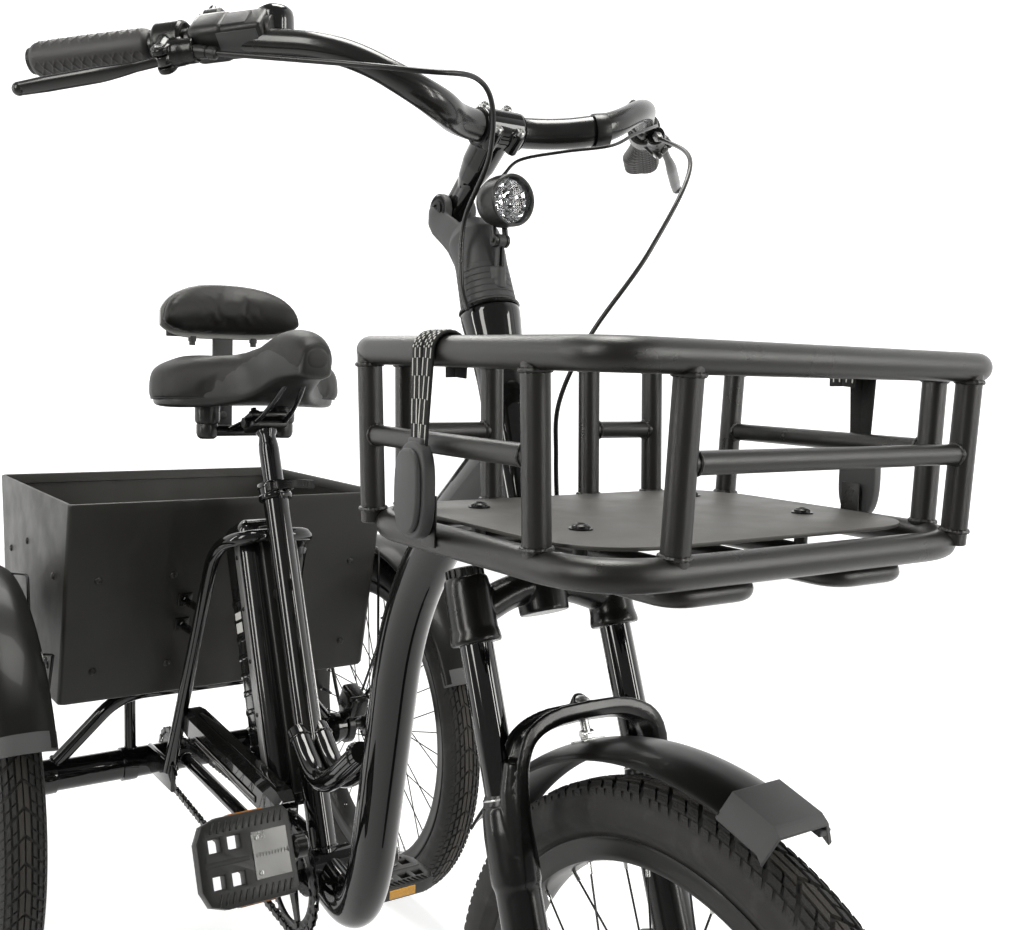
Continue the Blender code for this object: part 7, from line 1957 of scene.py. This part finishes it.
rest = new()
loft(rest, [back_ring(-cos(pi * step / 36), 0.965) for step in range(37)])
skin = padding("backrest_padding", rest, 0.0045, lambda point: point.y > 0.488 - 0.034 * (point.x / 0.112) ** 2,
    "backrest_pad")
hem = new()
edges = [(33, step) for step in range(2, 59)] + [(15, step) for step in range(58, 1, -1)]
line = [skin.find_nearest(back_ring(-cos(pi * step / 60))[row])[0] for row, step in edges]
tube(hem, line, 0.001, 10, closed=True)
piece("backrest_welt", hem, WELT, "backrest_pad", sharp=60)
board = new()
rings = []
for step in range(31):
    u = -0.955 * cos(pi * step / 30)
    y = 0.499 - 0.034 * u * u
    high, low = back_edges(u)
    high, low = high - 0.004, low - 0.0055 * max(0, 1 - u ** 4)
    rings.append([vec(u * 0.112, y + deep, z) for deep, z in ((0.0004, high), (0.003, high - 0.002),
        (0.003, low + 0.002), (0.0004, low), (-0.003, low + 0.001), (-0.003, high - 0.001))])
loft(board, rings)
piece("backrest_board", board, finish("board_grey", (0.46, 0.46, 0.45), 0.5, grain=0.15), "backrest_plate",
    sharp=40)
carry = new()
block(carry, (0.032, 0.0076, 0.143), (0, 0.49, 0.9325), bevel=0.002)
block(carry, (0.17, 0.005, 0.016), (0, 0.505, 1.013), bevel=0.0015)
block(carry, (0.032, 0.096, 0.007), (0, 0.444, 0.865), bevel=0.002)
for level in (0.884, 0.9):
    lathe(carry, [(0, -0.0008), (0.006, -0.0008), (0.006, 0.0012), (0.0045, 0.0022), (0, 0.0024)],
        (0, 0.486, level), (0, -1, 0), 24)
for x in (-0.048, 0.052):
    rod(carry, (x, 0.493, 0.992), (x, 0.493, 1.006), 0.0048, 12)
    rod(carry, (x, 0.493, 0.998), (x, 0.493, 1.006), 0.0062, 24)
piece("backrest_carrier", carry, GREY_PLASTIC, "backrest_plate", sharp=35)

# %% [markdown]
# ## Seatpost, rails and clamp
# Two bent rails run from the saddle's nose to its rear, held in a forged clamp on the post, with two
# rubber buffers under the wings. The rails are bright rod, swept, and the rest is turned or pressed.
# %% Post and rails
POST_CHROME = finish("post_black_chrome", (0.03, 0.03, 0.031), 0.1, metallic=0.85, coat=0.3, mottle=0.05,
    grain=0.01)
post = new()
top = vec(0, 0.3175, 0.882) - SEAT_UP * 0.0124
low = along_seat_tube(0.537)
tall = (top - low).length
lathe(post, [(0, 0), (0.0138, 0), (0.0148, 0.001), (0.0148, tall - 0.03), (0.0142, tall - 0.022),
    (0.0118, tall - 0.01), (0.015, tall - 0.004), (0.015, tall), (0, tall)], low, SEAT_UP, 56)
piece("seatpost_tube", post, POST_CHROME, "seatpost", sharp=40)
rails = new()
for side in (-1, 1):
    route = [(side * x, y, z) for x, y, z in ((0.012, 0.205, 0.95), (0.018, 0.25, 0.912), (0.022, 0.3, 0.884),
        (0.022, 0.345, 0.88), (0.03, 0.388, 0.866))]
    tube(rails, spline(route, 40), 0.0034, 16)
    rod(rails, (side * 0.015, 0.321, 0.8915), (side * 0.015, 0.3235, 0.8975), 0.0078, 28)
    rod(rails, (side * 0.015, 0.3235, 0.8975), (side * 0.015, 0.3255, 0.902), 0.0046, 6)
piece("saddle_rail_wires", rails, POST_CHROME, "saddle_rails", sharp=40)
yoke = new()
clamp_at = vec(0, 0.3175, 0.882)
block(yoke, (0.056, 0.038, 0.01), clamp_at - SEAT_UP * 0.0065, (SEAT_TILT, 0, 0), 0.003)
block(yoke, (0.058, 0.04, 0.009), clamp_at + SEAT_UP * 0.007, (SEAT_TILT, 0, 0), 0.0035)
rod(yoke, clamp_at + vec(-0.03, 0, -0.001), clamp_at + vec(0.03, 0, -0.001), 0.0052, 24)
rod(yoke, clamp_at + vec(-0.0345, 0, -0.001), clamp_at + vec(-0.029, 0, -0.001), 0.0084, 6)
rod(yoke, (-0.06, 0.388, 0.865), (0.06, 0.388, 0.865), 0.0078, 28)
piece("saddle_clamp", yoke, DARK_STEEL, "saddle_rails", sharp=30)
pods = new()
for side in (-1, 1):
    lathe(pods, [(0, 0), (0.0105, 0), (0.014, 0.003), (0.0158, 0.0085), (0.0158, 0.02), (0.015, 0.0225),
        (0.0172, 0.0245), (0.0182, 0.029), (0.0182, 0.059), (0.016, 0.064), (0, 0.064)],
        (side * 0.06, 0.392, 0.8535), (0, 0, 1), 48)
piece("saddle_buffers", pods, HOSE_RUBBER, "saddle_rails", sharp=30)
# %% Seat collar and lever
collar = new()
high = along_seat_tube(0.795)
low = high - SEAT_UP * 0.024
middle = (low + high) / 2
lathe(collar, [(0.0184, 0), (0.0232, 0), (0.024, 0.0012), (0.024, 0.006), (0.0228, 0.0075), (0.0228, 0.0165),
    (0.024, 0.018), (0.024, 0.0228), (0.0232, 0.024), (0.0184, 0.024), (0.0184, 0)], low, SEAT_UP, 56)
tilt = (SEAT_TILT, 0, 0)
for x in (-0.0052, 0.0052):
    block(collar, (0.0066, 0.02, 0.0175), middle - SEAT_BACK * 0.0245 + vec(x, 0, 0), tilt, 0.002)
pivot = middle - SEAT_BACK * 0.029 + vec(-0.017, 0, 0)
for rise in (-0.008, 0.008):
    block(collar, (0.023, 0.0105, 0.002), pivot + vec(0.007, 0, 0) + SEAT_UP * rise, tilt, 0.0006, 2)
rod(collar, pivot - SEAT_UP * 0.0092, pivot + SEAT_UP * 0.0092, 0.0029, 20)
lathe(collar, [(0, 0), (0.0058, 0), (0.0066, 0.0012), (0.0066, 0.0052), (0.005, 0.007), (0, 0.0074)],
    middle - SEAT_BACK * 0.0285 + vec(0.0085, 0, 0), (1, 0, 0), 24)
piece("seat_collar_ring", collar, GLOSS_PAINT, "seat_collar", sharp=35)
handle = new()
route = [pivot + vec(-0.001, 0, 0), pivot - SEAT_BACK * 0.012 + vec(0.006, 0, 0),
    pivot - SEAT_BACK * 0.015 + vec(0.03, 0, 0), pivot - SEAT_BACK * 0.006 + vec(0.062, 0, 0)]
edge = [(0.0058, 0.0009), (0.0046, 0.0022), (-0.0046, 0.0022), (-0.0058, 0.0009), (-0.0058, -0.0009),
    (-0.0046, -0.0022), (0.0046, -0.0022), (0.0058, -0.0009)]
sweep(handle, spline(route, 36), edge, SEAT_UP, [0.75 + 0.35 * min(1, i / 12) for i in range(36)])
rod(handle, pivot - SEAT_UP * 0.0062, pivot + SEAT_UP * 0.0062, 0.0073, 32)
for step in range(5):
    spot = spline(route, 36)[28 + step]
    block(handle, (0.0011, 0.0062, 0.0104), spot - SEAT_BACK * 0.0003, tilt, 0.0004, 1)
piece("seat_lever_blade", handle, BOLT_BLACK, "seat_lever", sharp=35)
print("seat made")
